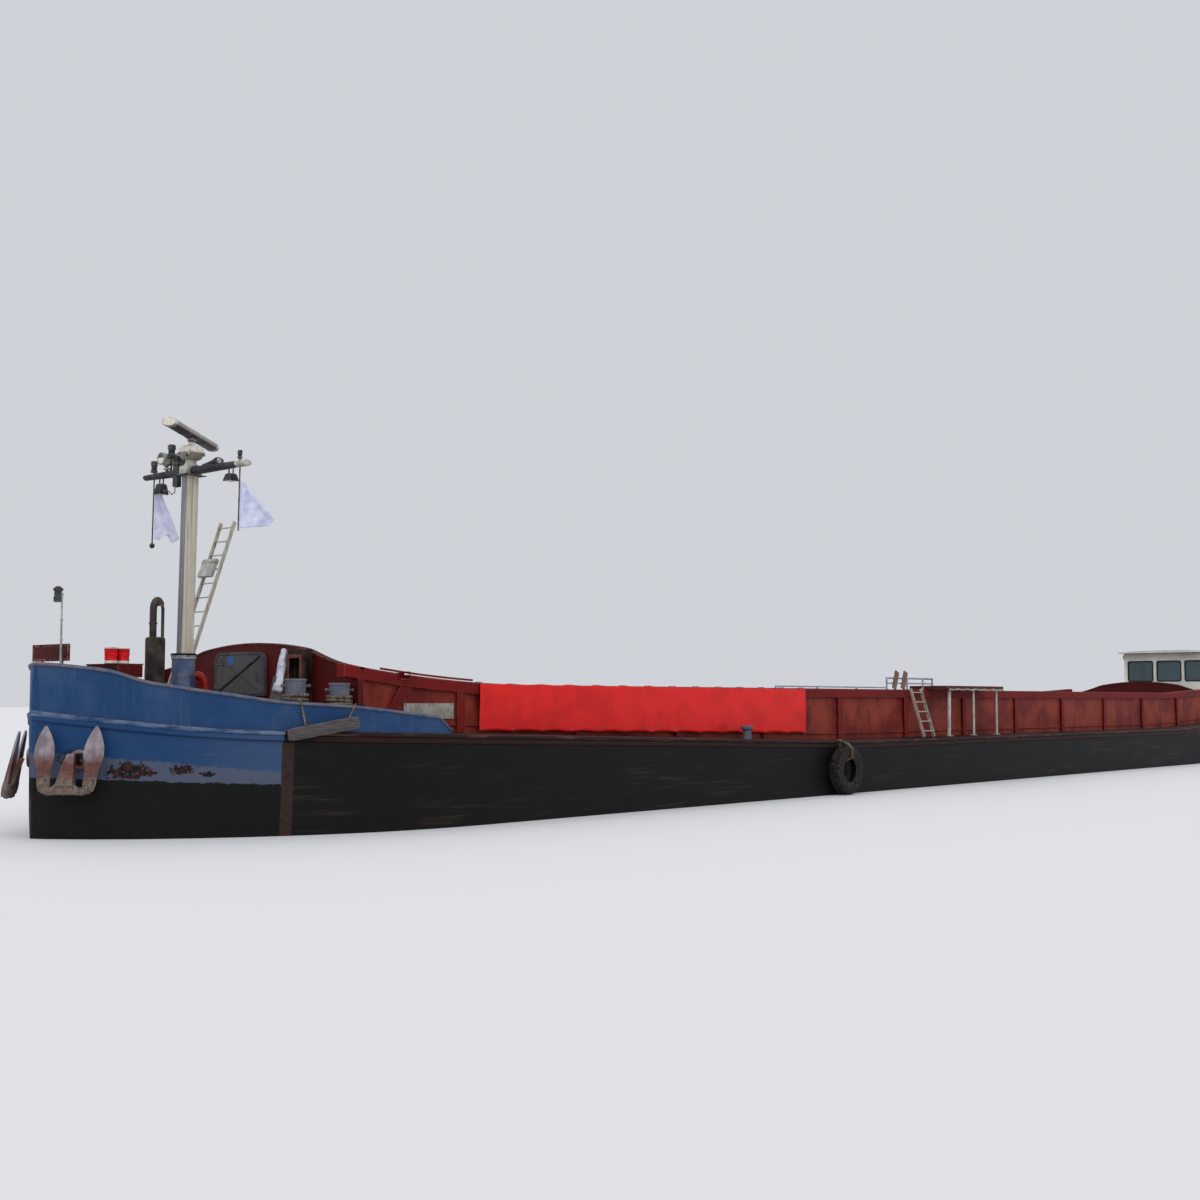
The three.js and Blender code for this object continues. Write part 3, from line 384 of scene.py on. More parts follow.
def hull_coat():
    """Blue bow with a chalky band low down, a brown upright strip, then tar with scraped streaks."""
    coat = Coat("hull_coat")
    blue, faded_blue, highlight_blue = (35, 61, 99), (58, 76, 106), (104, 116, 140)
    chalk, tar, scraped = (78, 83, 99), (19, 18, 17), (58, 50, 44)
    brown_strip, edge_brown = (56, 43, 40), (50, 33, 32)
    fine = coat.grain(0.03, 6, 0.65)
    cloud = coat.grain(0.55, 4)
    ragged = coat.sum("MULTIPLY", coat.sum("SUBTRACT", coat.grain(0.07, 6, 0.7), 0.5), 0.05)
    bow_part = coat.step(coat.x, BLUE_FROM - 0.002, BLUE_FROM + 0.002)
    # How far a point is over the deck edge, which rises along the bow.
    rise = coat.sum("MULTIPLY", coat.sum("MAXIMUM", coat.sum("SUBTRACT", coat.x, 4.75), 0.0), 0.028)
    past = coat.sum("MAXIMUM", coat.sum("SUBTRACT", coat.x, 12.425), 0.0)
    spring = coat.sum("MULTIPLY", coat.sum("POWER", past, 2.0), 0.064)
    over_edge = coat.z
    for height in (DECK_EDGE * HALF, rise, spring):
        over_edge = coat.sum("SUBTRACT", over_edge, height)
    # The bow's blue fades aft and is scratched upright. The upper half of its rubbing bar carries a painted
    # highlight in a paler blue, broken up by a grain.
    colour = coat.over(blue, faded_blue, coat.either(
        coat.step(coat.x, 13.3, 12.4, 0.85), coat.step(cloud, 0.45, 0.7, 0.5)))
    colour = coat.over(colour, chalk, coat.both(
        coat.step(coat.grain(0.035, 5, 0.7, (5, 5, 0.6)), 0.52, 0.75, 0.55),
        coat.step(coat.x, 13.35, 12.9),
    ))
    bar_highlight = coat.both(coat.step(over_edge, -0.036, -0.033), coat.step(over_edge, 0.006, 0.003),
                       coat.step(coat.grain(0.05, 5, 0.7, (6, 6, 1)), 0.4, 0.56))
    colour = coat.over(colour, highlight_blue, coat.sum("MULTIPLY", bar_highlight, 0.75))
    # A dark blue line just below the rubbing bar is painted shade under it.
    shade_under_bar = coat.both(coat.step(over_edge, -0.079, -0.076), coat.step(over_edge, -0.066, -0.07))
    colour = coat.over(colour, (24, 38, 66), coat.sum("MULTIPLY", shade_under_bar, 0.7))
    # The chalky band above the boot-top has a ragged head. Rust flakes off in patches and small spots.
    slope = coat.sum("MULTIPLY", coat.sum("SUBTRACT", coat.x, 12.5), 0.12)
    above = coat.sum("SUBTRACT", coat.sum("SUBTRACT", coat.z, slope), 1.21)
    above = coat.sum("ADD", above, coat.sum("MULTIPLY", ragged, 1.6))
    colour = coat.over(colour, chalk, coat.step(above, 0.012, -0.012, 0.85))
    rust_tint = coat.over((62, 36, 32), (24, 17, 17), coat.step(fine, 0.42, 0.56))
    flakes = coat.grain(0.035, 6, 0.7)
    for x, z, wide, tall in ((13.33, 1.225, 0.15, 0.075), (13.6, 1.31, 0.07, 0.09), (12.9, 1.2, 0.06, 0.025),
                             (13.05, 1.235, 0.09, 0.04)):
        off_x = coat.sum("DIVIDE", coat.sum("SUBTRACT", coat.x, x), wide)
        off_z = coat.sum("DIVIDE", coat.sum("SUBTRACT", coat.z, z), tall)
        away = coat.sum("ADD", coat.sum("POWER", off_x, 2.0), coat.sum("POWER", off_z, 2.0))
        flaking = coat.sum("ADD", flakes, coat.sum("MULTIPLY", away, -0.2))
        colour = coat.over(colour, rust_tint, coat.step(flaking, 0.37, 0.4))
    spots = coat.both(coat.step(coat.grain(0.05, 8, 0.75, (1, 1, 1), (2, 5, 1)), 0.66, 0.68),
                      coat.step(coat.z, 1.36, 1.3))
    colour = coat.over(colour, rust_tint, spots)
    boot = coat.sum("ADD", coat.sum("SUBTRACT", coat.sum("SUBTRACT", coat.z, 1.115),
                                    coat.sum("MULTIPLY", coat.sum("SUBTRACT", coat.x, 12.5), 0.05)), ragged)
    colour = coat.over(colour, tar, coat.step(boot, 0.006, -0.006))
    # The tarred side is scraped in long streaks, and browner along the deck edge.
    streaks = coat.grain(0.035, 6, 0.65, (22, 22, 1))
    side = coat.over(tar, scraped, coat.both(coat.step(streaks, 0.5, 0.7, 0.8), coat.step(coat.grain(
        0.4, 3, 0.5, (3, 3, 1)), 0.38, 0.6)))
    side = coat.over(side, edge_brown, coat.step(over_edge, -0.12, -0.05, 0.8))
    side = coat.over(side, (92, 66, 54), coat.both(
        coat.step(over_edge, -0.034, -0.028),
        coat.step(coat.grain(0.06, 6, 0.7, (5, 5, 1)), 0.5, 0.64, 0.7)))
    side = coat.over(side, RUST_BRIGHT, coat.step(coat.grain(0.12, 9, 0.75), 0.68, 0.74, 0.4))
    strip = coat.both(coat.step(coat.x, 12.345, 12.36), coat.step(coat.x, 12.437, 12.432))
    side = coat.over(side, brown_strip, coat.sum("MULTIPLY", strip, coat.step(fine, 0.3, 0.5)))
    # Just aft of the blue the rubbing bar's broken end is near black: the hollow behind it is painted shade.
    broken_end_shade = coat.both(coat.step(coat.sum("ADD", coat.x, ragged), 12.21, 12.24), coat.step(
        over_edge, -0.09, -0.08), coat.step(over_edge, 0.004, 0.001))
    side = coat.over(side, (16, 15, 15), broken_end_shade)
    colour = coat.over(side, colour, bow_part)
    # The decks: dark worn paint.
    deck = coat.over((62, 52, 50), (42, 37, 36), coat.step(cloud, 0.4, 0.6))
    deck = coat.over(deck, RUST_BRIGHT, coat.step(coat.grain(0.09, 9, 0.72), 0.6, 0.68, 0.6))
    colour = coat.over(colour, deck,
                       coat.both(coat.facing_up(0.8, 0.95), coat.step(over_edge, -0.01, 0.001)))
    dull = coat.node("ShaderNodeMapRange", {"Value": fine, "To Min": 0.45, "To Max": 0.75})
    return coat.spread(colour, dull, coat.sum("ADD", fine, coat.sum("MULTIPLY", streaks, 0.5)), 0.0015)


hull_stations = [STERN + 6.0 * (i / 30) ** 1.6 for i in range(30)]
hull_stations += [STERN + 6.0 + 0.43 * i for i in range(100)]
hull_stations = [x for x in hull_stations if x < BOW - 6.05]
hull_stations += [BOW - 6.0 * (1 - i / 34) ** 1.7 for i in range(35)]


def hull_ring(x):
    outline, crown = half_section(x)
    starboard = [(x, -y, z) for y, z in reversed(outline)]
    return [(x, 0, keel(x)), *((x, y, z) for y, z in outline), (x, 0, crown), *starboard]


MAST_FOOT, MAST_LENGTH, MAST_RAKE = Vector((24.88, 0, 2.95)), 4.2, math.radians(1)
mast_lean = Matrix.Translation(MAST_FOOT) @ Matrix.Rotation(-MAST_RAKE, 4, "Y")
hold_void = Steelwork().block(HOLD_AFT, HOLD_FORE, -HOLD_SIDE, HOLD_SIDE, -1, 6)
mast_well = Steelwork().block(-0.14, 0.14, -0.08, 0.08, -2.7, 1.3).place(mast_lean)
hull = cut_out(Steelwork().skin([hull_ring(x) for x in hull_stations]), [hold_void, mast_well], "hull")
hull_skin = hull_coat()
fit(hull, "hull_plating", hull_skin, "hull", "blue_paint",
    ["hull_bow", "hull_stern", "side_port", "side_starboard"])

# A plain pale floor lies at the waterline, because the barge is shown afloat. Its opening follows the
# hull a little way in, so that no gap shows. It isn't part of the barge.
WATERLINE = 1.45
FLOOR_REACH = 300


def waterline_half(x):
    outline, _ = half_section(x)
    for (y0, z0), (y1, z1) in zip(outline, outline[1:]):
        if z0 <= WATERLINE <= z1:
            return y0 + (y1 - y0) * (WATERLINE - z0) / (z1 - z0)
    return 0.03


afloat = [x for x in hull_stations if keel(x) < WATERLINE - 0.02]
brim = [(x, max(0.02, waterline_half(x) - 0.05)) for x in afloat]
brim = brim + [(x, -y) for x, y in reversed(brim)]
floor_points = [(x * HALF, y * HALF, WATERLINE * HALF) for x, y in brim]
for x, y in brim:
    outward = FLOOR_REACH / math.hypot(x, y * 4)
    floor_points.append((x * outward, y * 4 * outward, WATERLINE * HALF))
edge_count = len(brim)
floor_mesh = bpy.data.meshes.new("floor")
floor_mesh.from_pydata(floor_points, [], [
    (i, edge_count + i, edge_count + (i + 1) % edge_count, (i + 1) % edge_count) for i in range(edge_count)
])
floor_paint = bpy.data.materials.new("floor_paint")
floor_paint.use_nodes = True
floor_paint.node_tree.nodes["Principled BSDF"].inputs["Base Color"].default_value = (0.7, 0.7, 0.71, 1)
floor_paint.node_tree.nodes["Principled BSDF"].inputs["Roughness"].default_value = 0.9
floor_mesh.materials.append(floor_paint)
floor = bpy.data.objects.new("floor", floor_mesh)
bpy.context.scene.collection.objects.link(floor)

# The bow bulwark is a thin plate that stands on the deck edge and runs round the stem from side to side.
# Small knees hold it up inside, and a rounded cap rail, worn chalky, runs along its top.
BOW_RAIL = [(22.05, 3.04), (22.3, 3.25), (23.0, 3.33), (23.8, 3.42), (24.9, 3.49), (25.9, 3.66),
            (26.55, 3.79), (26.85, 3.95), (27.5, 4.07)]


def bow_rail(x):
    for (x0, z0), (x1, z1) in zip(BOW_RAIL, BOW_RAIL[1:]):
        if x <= x1:
            return z0 + (z1 - z0) * max(0, x - x0) / (x1 - x0)
    return BOW_RAIL[-1][1]


def smooth_rail(x):
    """The rail's height, with the table's corners eased."""
    if x < 22.5:
        return bow_rail(x)
    return sum(bow_rail(min(BOW, x + shift)) for shift in (-0.12, -0.06, 0, 0.06, 0.12)) / 5


def stern_rail(x):
    return sheer(x) + 0.6 * clamp((-21.2 - x) / 1.2)


def edge_path(stations):
    """Deck edge points from port round the end to starboard, each with its way outwards."""
    port = [(x, half_deck(x)) for x in stations]
    ends = [] if stations[-1] > 0 else [(stations[-1], 0.0)]
    points = port + ends + [(x, -y) for x, y in reversed(port)]
    turn = 1 if stations[-1] > 0 else -1
    path = []
    for i, (x, y) in enumerate(points):
        x0, y0 = points[max(0, i - 1)]
        x1, y1 = points[min(len(points) - 1, i + 1)]
        length = math.hypot(x1 - x0, y1 - y0)
        path.append((x, y, -(y1 - y0) / length * turn, (x1 - x0) / length * turn))
    return path


def led_round(path, section_at):
    """Rings of a section of (out, z) points that is led along the deck edge."""
    return [[(x + ox * out, y + oy * out, z) for out, z in section_at(x)] for x, y, ox, oy in path]


def oval(middle, top, half_width, half_height, sides=12):
    return [(middle + half_width * math.cos(a), top - half_height + half_height * math.sin(a))
            for a in around(sides)]


def repeated(name, unit, places, coat, **sizes):
    """Puts one block, rod or ring at each (point, turn, stretch), by a node tree, and returns the mesh.

    A block has Length, Width and Height, a rod Radius and Height, and a ring Radius and Thickness.
    """
    tree = bpy.data.node_groups.new(name + "_pattern", "GeometryNodeTree")
    sockets = {"Places": tree.interface.new_socket("Places", socket_type="NodeSocketGeometry")}
    for label in sizes:
        sockets[label] = tree.interface.new_socket(label, socket_type="NodeSocketFloat")
    sockets["Finish"] = tree.interface.new_socket("Finish", socket_type="NodeSocketMaterial")
    tree.interface.new_socket("Pieces", in_out="OUTPUT", socket_type="NodeSocketGeometry")
    entry, out = tree.nodes.new("NodeGroupInput"), tree.nodes.new("NodeGroupOutput")

    def link(kind, feeds, **settings):
        made = tree.nodes.new(kind)
        for key, value in settings.items():
            setattr(made, key, value)
        for key, value in feeds.items():
            if isinstance(value, bpy.types.NodeSocket):
                tree.links.new(value, made.inputs[key])
            else:
                made.inputs[key].default_value = value
        return made.outputs

    if unit == "block":
        size = link("ShaderNodeCombineXYZ", {
            "X": entry.outputs["Length"], "Y": entry.outputs["Width"], "Z": entry.outputs["Height"],
        })[0]
        shape = link("GeometryNodeMeshCube", {"Size": size})[0]
    elif unit == "rod":
        shape = link("GeometryNodeMeshCylinder", {
            "Vertices": 12, "Radius": entry.outputs["Radius"], "Depth": entry.outputs["Height"],
        })[0]
    else:
        loop = link("GeometryNodeCurvePrimitiveCircle",
                    {"Resolution": 32, "Radius": entry.outputs["Radius"]})[0]
        cross = link("GeometryNodeCurvePrimitiveCircle", {
            "Resolution": 10, "Radius": entry.outputs["Thickness"],
        })[0]
        shape = link("GeometryNodeCurveToMesh", {"Curve": loop, "Profile Curve": cross})[0]
    turn = link("GeometryNodeInputNamedAttribute", {"Name": "turn"}, data_type="FLOAT_VECTOR")[0]
    stretch = link("GeometryNodeInputNamedAttribute", {"Name": "stretch"}, data_type="FLOAT_VECTOR")[0]
    copies = link("GeometryNodeInstanceOnPoints", {
        "Points": entry.outputs["Places"], "Instance": shape, "Scale": stretch,
        "Rotation": link("FunctionNodeEulerToRotation", {0: turn})[0],
    })[0]
    solid = link("GeometryNodeRealizeInstances", {0: copies})[0]
    painted = link("GeometryNodeSetMaterial", {"Geometry": solid, "Material": entry.outputs["Finish"]})[0]
    tree.links.new(painted, out.inputs[0])

    spots = bpy.data.meshes.new(name + "_places")
    spots.from_pydata([tuple(c * HALF for c in point) for point, _, _ in places], [], [])
    for label, column in (("turn", 1), ("stretch", 2)):
        values = spots.attributes.new(label, "FLOAT_VECTOR", "POINT")
        values.data.foreach_set("vector", [c for place in places for c in place[column]])
    holder = bpy.data.objects.new(name + "_places", spots)
    bpy.context.scene.collection.objects.link(holder)
    pattern = holder.modifiers.new("pattern", "NODES")
    pattern.node_group = tree
    for label, value in sizes.items():
        pattern[sockets[label].identifier] = value * HALF
    pattern[sockets["Finish"].identifier] = coat
    made = bpy.data.meshes.new_from_object(holder.evaluated_get(bpy.context.evaluated_depsgraph_get()))
    bpy.data.objects.remove(holder)
    return made


def weathered(name, paint, faded, rust=0.3, runs=0.3, worn=None, gloss=(0.45, 0.75), metallic=0.0,
              cloud=0.5, edge=0.012, relief=0.0012, run_paint=GRIME, under=None):
    """Painted metal: the paint fades in clouds, dirt runs down it, rust breaks through, corners wear.

    Under is the colour of painted shade on faces that look down.
    """
    coat = Coat(name, metallic)
    fine = coat.grain(0.03, 6, 0.65)
    colour = coat.over(paint, faded, coat.step(coat.grain(cloud, 3), 0.38, 0.66))
    colour = coat.over(colour, GRIME, coat.step(fine, 0.45, 0.75, 0.22))
    trickle = coat.grain(0.05, 4, 0.6, (1, 1, 9))
    colour = coat.over(colour, run_paint, coat.step(trickle, 0.52, 0.78, runs))
    if worn:
        chipped = coat.both(coat.edges(edge), coat.step(coat.grain(0.06, 4), 0.38, 0.58))
        colour = coat.over(colour, worn, chipped)
    # Faces that look down get painted shade in the colour under.
    if under:
        colour = coat.over(colour, under, coat.facing_up(-0.1, -0.5))
    spots = coat.step(coat.grain(0.11, 9, 0.72, (1, 1, 1), (3, 1, 2)), 0.72 - 0.2 * rust, 0.76 - 0.2 * rust)
    tint = coat.over(RUST_DARK, RUST_BRIGHT, coat.step(fine, 0.45, 0.62))
    colour = coat.over(colour, tint, spots)
    dull = coat.node("ShaderNodeMapRange", {"Value": fine, "To Min": gloss[0], "To Max": gloss[1]})
    height = coat.sum("ADD", fine, coat.sum("MULTIPLY", spots, -0.8))
    return coat.spread(colour, coat.either(dull, coat.sum("MULTIPLY", spots, 0.9)), height, relief)


UPRIGHT, PLAIN = (0, 0, 0), (1, 1, 1)
bulwark_paint = weathered("bulwark_paint", (36, 62, 99), (52, 75, 108), rust=0.1, runs=0.3,
                          worn=(92, 98, 112), cloud=0.5, run_paint=(76, 88, 112))
rail_paint = weathered("rail_paint", (88, 88, 98), (58, 78, 112), rust=0.3, runs=0.1,
                       worn=(128, 118, 116), cloud=0.16)
bow_stations = [22.05, 22.12, 22.2, 22.3] + [22.4 + 0.2 * i for i in range(11)]
bow_stations += [BOW - 3.0 * (1 - i / 26) ** 1.7 for i in range(27)]
bow_path = edge_path(bow_stations)
bulwark = Steelwork().skin(led_round(bow_path, lambda x: [
    (0.0, sheer(x) + 0.004), (0.0, smooth_rail(x) - 0.03), (-0.03, smooth_rail(x) - 0.03),
    (-0.03, sheer(x) + 0.004),
]))
knees = []
for x, y, out_x, out_y in edge_path([22.6 + 0.62 * i for i in range(8)]):
    tall = smooth_rail(x) - sheer(x) - 0.15
    knees.append(((x - out_x * 0.09, y - out_y * 0.09, sheer(x) + 0.05 + tall / 2),
                  (0, 0, math.atan2(out_y, out_x)), (1, 1, tall)))
bulwark.take(repeated("bulwark_knees", "block", knees, bulwark_paint, Length=0.13, Width=0.014, Height=1.0))
STEM_NOSE, STEM_FOOT, STEM_TOP = 0.1, 1.12, 4.04
nose_line = [STEM_FOOT + (STEM_TOP - STEM_FOOT) * k / 10 for k in range(11)]
stem_bar = Steelwork().pipe([(BOW - 0.05 - 0.02 * (STEM_TOP - z), 0, z) for z in nose_line],
                            [STEM_NOSE * (1 - 0.35 * clamp((z - 3.6) * 3)) for z in nose_line], 20)
fit(stem_bar, "stem_bar", hull_skin, "hull", "blue_paint")
fit(bulwark, "bulwark_plating", bulwark_paint, "hull", "blue_paint", ["bulwark_bow"])
fit(Steelwork().skin(led_round(bow_path, lambda x: oval(-0.02, smooth_rail(x), 0.055, 0.03))),
    "bulwark_cap_rail", rail_paint, "hull", "blue_paint")

# The stern bulwark is a thin steel plate too, welded to the deck edge and led round the counter. Its cap
# rail keeps one height over the deck, and comes down at its fore ends.
stern_stations = [-21.5, -21.8, -22.1, -22.4, -22.8] + [STERN + 4.5 * (1 - i / 24) ** 1.7 for i in range(25)]
stern_path = edge_path(stern_stations)
stern_bulwark = Steelwork().skin(led_round(stern_path, lambda x: [
    (0.0, sheer(x) + 0.004), (0.0, stern_rail(x) - 0.03), (-0.03, stern_rail(x) - 0.03),
    (-0.03, sheer(x) + 0.004),
]))
fit(stern_bulwark, "stern_bulwark_plating", bulwark_paint, "hull", "blue_paint", ["bulwark_stern"])
fit(Steelwork().skin(led_round(stern_path, lambda x: oval(-0.02, stern_rail(x) + 0.002, 0.055, 0.03))),
    "stern_cap_rail", rail_paint, "hull", "blue_paint")

# The coamings are tall plates along the hold with a deep box rim on top, flat bars upright outside and a
# rib along the foot. Their oxide paint is faded orange-brown in the panels and darker on the rim.
COAMING_OUT, COAMING_IN, RIM_OUT, RIM_IN, RIM_DEPTH, RIM_TOP = 2.6, 2.52, 2.68, 2.5, 0.2, 3.77
WALL = 0.1
BAR_FORE, BAR_PITCH = 21.2, 3.05
coaming_paint = weathered("coaming_paint", (128, 54, 43), (98, 34, 32), rust=0.15, runs=0.6,
                          worn=(84, 44, 38), cloud=0.35, run_paint=(128, 76, 56))
rim_paint = weathered("rim_paint", (108, 24, 25), (96, 22, 24), rust=0.12, runs=0.25,
                      worn=(128, 74, 66), cloud=0.4)


def fit_pair(work, name, coat, slot, node="", **rounding):
    """Puts the piece on the port side of the hull and its mirror image on the starboard side."""
    for side, half in (("port", work), ("starboard", work.mirror())):
        fit(half, name + side, coat, "hull", slot, [node + side] if node else (), **rounding)


def coaming_top(x):
    return RIM_TOP + 0.0155 * max(0, x - 19.4) ** 2 + 0.04 * max(0, -x - 11.5)


coaming_fore, coaming_aft = HOLD_FORE - WALL - 0.001, HOLD_AFT + WALL + 0.001
RIM_FORE = HOLD_FORE + 0.3
coaming_stations = [coaming_aft + (coaming_fore - coaming_aft) * i / 120 for i in range(121)]
panels, rim, bars = Steelwork(), Steelwork(), Steelwork()
panel_rings, rim_rings = [], []
for x in coaming_stations:
    top, foot = coaming_top(x), sheer(x) + 0.02
    heights = [foot + (top - RIM_DEPTH + 0.01 - foot) * k / 5 for k in range(6)]
    outside = [(x, COAMING_OUT + dent(x + 5, z, 0.014) * (0 < k < 5), z) for k, z in enumerate(heights)]
    panel_rings.append([(x, COAMING_IN, foot), *outside, (x, COAMING_IN, heights[-1])])
for x in [coaming_aft + (RIM_FORE - coaming_aft) * i / 122 for i in range(123)]:
    top = coaming_top(x)
    lip = top - RIM_DEPTH
    rim_rings.append([
        (x, COAMING_OUT - 0.01, lip), (x, RIM_OUT - 0.012, lip), (x, RIM_OUT, lip + 0.015),
        (x, RIM_OUT + dent(x, 9, 0.01), lip + 0.1), (x, RIM_OUT, top - 0.015), (x, RIM_OUT - 0.015, top),
        (x, RIM_IN + 0.015, top), (x, RIM_IN, top - 0.015), (x, RIM_IN, lip + 0.015), (x, COAMING_IN, lip),
    ])
panels.skin(panel_rings)
rim.skin(rim_rings)
webs, flanges = [], []
x = BAR_FORE
while x > coaming_aft + 0.1:
    foot = sheer(x + 0.1) + 0.03
    tall = coaming_top(x) - RIM_DEPTH - foot
    webs.append(((x, COAMING_OUT + 0.025, foot + tall / 2), UPRIGHT, (1, 1, tall)))
    flanges.append(((x, COAMING_OUT + 0.052, foot + tall / 2), UPRIGHT, (1, 1, tall)))
    x -= BAR_PITCH
bars.take(repeated("coaming_webs", "block", webs, rim_paint, Length=0.02, Width=0.055, Height=1.0))
bars.take(repeated("coaming_flanges", "block", flanges, rim_paint, Length=0.19, Width=0.014, Height=1.0))
foot_rib = [(x, COAMING_OUT + 0.014, sheer(x) + 0.15) for x in coaming_stations[::6]]
panels.pipe(foot_rib, 0.016, 8)
fit_pair(panels, "coaming_panels_", coaming_paint, "oxide_paint", "coaming_")
fit_pair(bars, "coaming_bars_", rim_paint, "oxide_paint")
# A square fairlead is cut in each rim near the fore end, with a brace down to the deck and a hand rail.
fairlead = Steelwork().block(22.42, 22.64, 2.56, 2.9, 3.84, 3.95)
port_rim = cut_out(rim, [fairlead], "coaming_rim_port")
fit(port_rim, "coaming_rim_port", rim_paint, "hull", "oxide_paint")
fit(Steelwork().take(port_rim).mirror(), "coaming_rim_starboard", rim_paint, "hull", "oxide_paint")
brace = Steelwork().slab([
    (22.86, 2.61, 3.34), (22.66, 2.61, 3.3), (22.28, 2.61, 3.8), (22.5, 2.61, 3.86),
], (0, 0.05, 0))
brace.pipe([(22.65, 2.69, 3.955), (22.42, 2.69, 3.955), (22.42, 2.69, 3.835), (22.65, 2.69, 3.835)],
           0.012, 8, True)
brace.block(22.425, 22.635, 2.565, 2.572, 3.845, 3.945)
rail_line = [(23.0 - 0.3 * k, 2.62, coaming_top(23.0 - 0.3 * k) + 0.035) for k in range(8)]
brace.pipe(rail_line, 0.018, 8)
fit_pair(brace, "coaming_brace_", rim_paint, "oxide_paint", bevel=0.004)

# Arched steel walls close both ends of the hold, and a flat bar is welded along the curved top edge of each.
# The fore one has a doorway with rounded upper corners.
DOOR_PORT, DOOR_STARBOARD, DOOR_SILL, DOOR_HEAD, DOOR_CORNER = 0.37, -0.92, 3.58, 4.3, 0.15
ARCH_FORE_TOP, ARCH_AFT_TOP, ARCH_DROP, ARCH_SHOULDER, SHOULDER_FROM = 4.46, 4.2, 0.062, 0.07, 1.4
wall_paint = weathered("wall_paint", (84, 19, 18), (72, 17, 16), rust=0.2, runs=0.35,
                       worn=(112, 66, 58), cloud=0.45)


def arch_at(y, top):
    """The wall's top edge is a bow with its shoulders drawn in a little."""
    drawn = clamp((abs(y) - SHOULDER_FROM) / (RIM_OUT - SHOULDER_FROM))
    return top - ARCH_DROP * y * y - ARCH_SHOULDER * math.sin(math.pi * drawn)


def arch_outline(x, deck, top):
    inside, outside = HOLD_SIDE - 0.001, RIM_OUT
    points = [(x, -inside, 0.0), (x, inside, 0.0), (x, inside, deck), (x, outside, deck)]
    for k in range(41):
        y = outside - 2 * outside * k / 40
        points.append((x, y, arch_at(y, top)))
    return points + [(x, -outside, deck), (x, -inside, deck)]


def round_topped(x, y0, y1, z0, z1, corner):
    points = [(x, y0, z0), (x, y1, z0)]
    for middle, start in ((y1 - corner, 0), (y0 + corner, 90)):
        for k in range(7):
            angle = math.radians(start + 15 * k)
            points.append((x, middle + corner * math.cos(angle), z1 - corner + corner * math.sin(angle)))
    return points


fore_wall = Steelwork().slab(arch_outline(HOLD_FORE - WALL, sheer(HOLD_FORE) + 0.03, ARCH_FORE_TOP),
                             (WALL, 0, 0))
doorway = Steelwork().slab(
    round_topped(HOLD_FORE - 0.3, DOOR_STARBOARD, DOOR_PORT, DOOR_SILL, DOOR_HEAD, DOOR_CORNER), (0.6, 0, 0))
fore_wall = Steelwork().take(cut_out(fore_wall, [doorway], "fore_wall"))
aft_wall = Steelwork().slab(arch_outline(HOLD_AFT, sheer(HOLD_AFT) + 0.03, ARCH_AFT_TOP),
                            (WALL, 0, 0))
for work, x, top in ((fore_wall, HOLD_FORE - WALL / 2, ARCH_FORE_TOP),
                     (aft_wall, HOLD_AFT + WALL / 2, ARCH_AFT_TOP)):
    lip = []
    for k in range(41):
        y = RIM_OUT - 2 * RIM_OUT * k / 40
        z = arch_at(y, top)
        lip.append([(x - 0.07, y, z - 0.03), (x + 0.07, y, z - 0.03), (x + 0.07, y, z), (x - 0.07, y, z)])
    work.skin(lip)
fit(fore_wall, "fore_wall", wall_paint, "hull", "oxide_paint", ["bulkhead_fore"])
fit(aft_wall, "aft_wall", wall_paint, "hull", "oxide_paint", ["bulkhead_aft"])

# The fore door is a grey plate stiffened by two crossed bars, the one that rises to port the heavier.
# It hangs on two strap hinges on its starboard edge and has a lever handle and a blank blue sign.
door_paint = weathered("door_paint", (86, 84, 86), (76, 74, 77), rust=0.2, runs=0.3,
                       worn=(54, 46, 44), cloud=0.3)
DOOR_X, DOOR_THICK, DOOR_LAP = HOLD_FORE + 0.012, 0.06, 0.03
door_low, door_high = DOOR_SILL - 0.01, DOOR_HEAD + 0.01
leaf = Steelwork().slab(
    round_topped(DOOR_X, DOOR_STARBOARD - DOOR_LAP, DOOR_PORT + DOOR_LAP, door_low, door_high, DOOR_CORNER),
    (DOOR_THICK, 0, 0))
door_face = DOOR_X + DOOR_THICK
leaf.pipe([(door_face, y, z) for _, y, z in round_topped(
    0, DOOR_STARBOARD + 0.01, DOOR_PORT - 0.01, door_low + 0.035, door_high - 0.035, DOOR_CORNER - 0.03)],
    0.012, 8, True)
leaf.bar((door_face, DOOR_STARBOARD + 0.06, door_high - 0.07),
         (door_face, DOOR_PORT - 0.06, door_low + 0.05), 0.009, 8)
for z in (door_low + 0.12, door_high - 0.22):
    leaf.block(DOOR_X + 0.02, door_face + 0.012, DOOR_STARBOARD - 0.02, DOOR_STARBOARD + 0.24, z, z + 0.05)
leaf.pipe([(door_face, 0.28, 3.82), (door_face + 0.05, 0.28, 3.82), (door_face + 0.06, 0.28, 3.86),
           (door_face + 0.06, 0.28, 3.96)], 0.012, 8)
fit(leaf, "fore_door_leaf_plate", door_paint, "fore_door_leaf", "grey_paint", ["fore_door"], bevel=0.004)
heavy_bar = Steelwork().bar((door_face, DOOR_STARBOARD + 0.04, door_low + 0.05),
                            (door_face, DOOR_PORT - 0.08, door_high - 0.07), 0.022, 8)
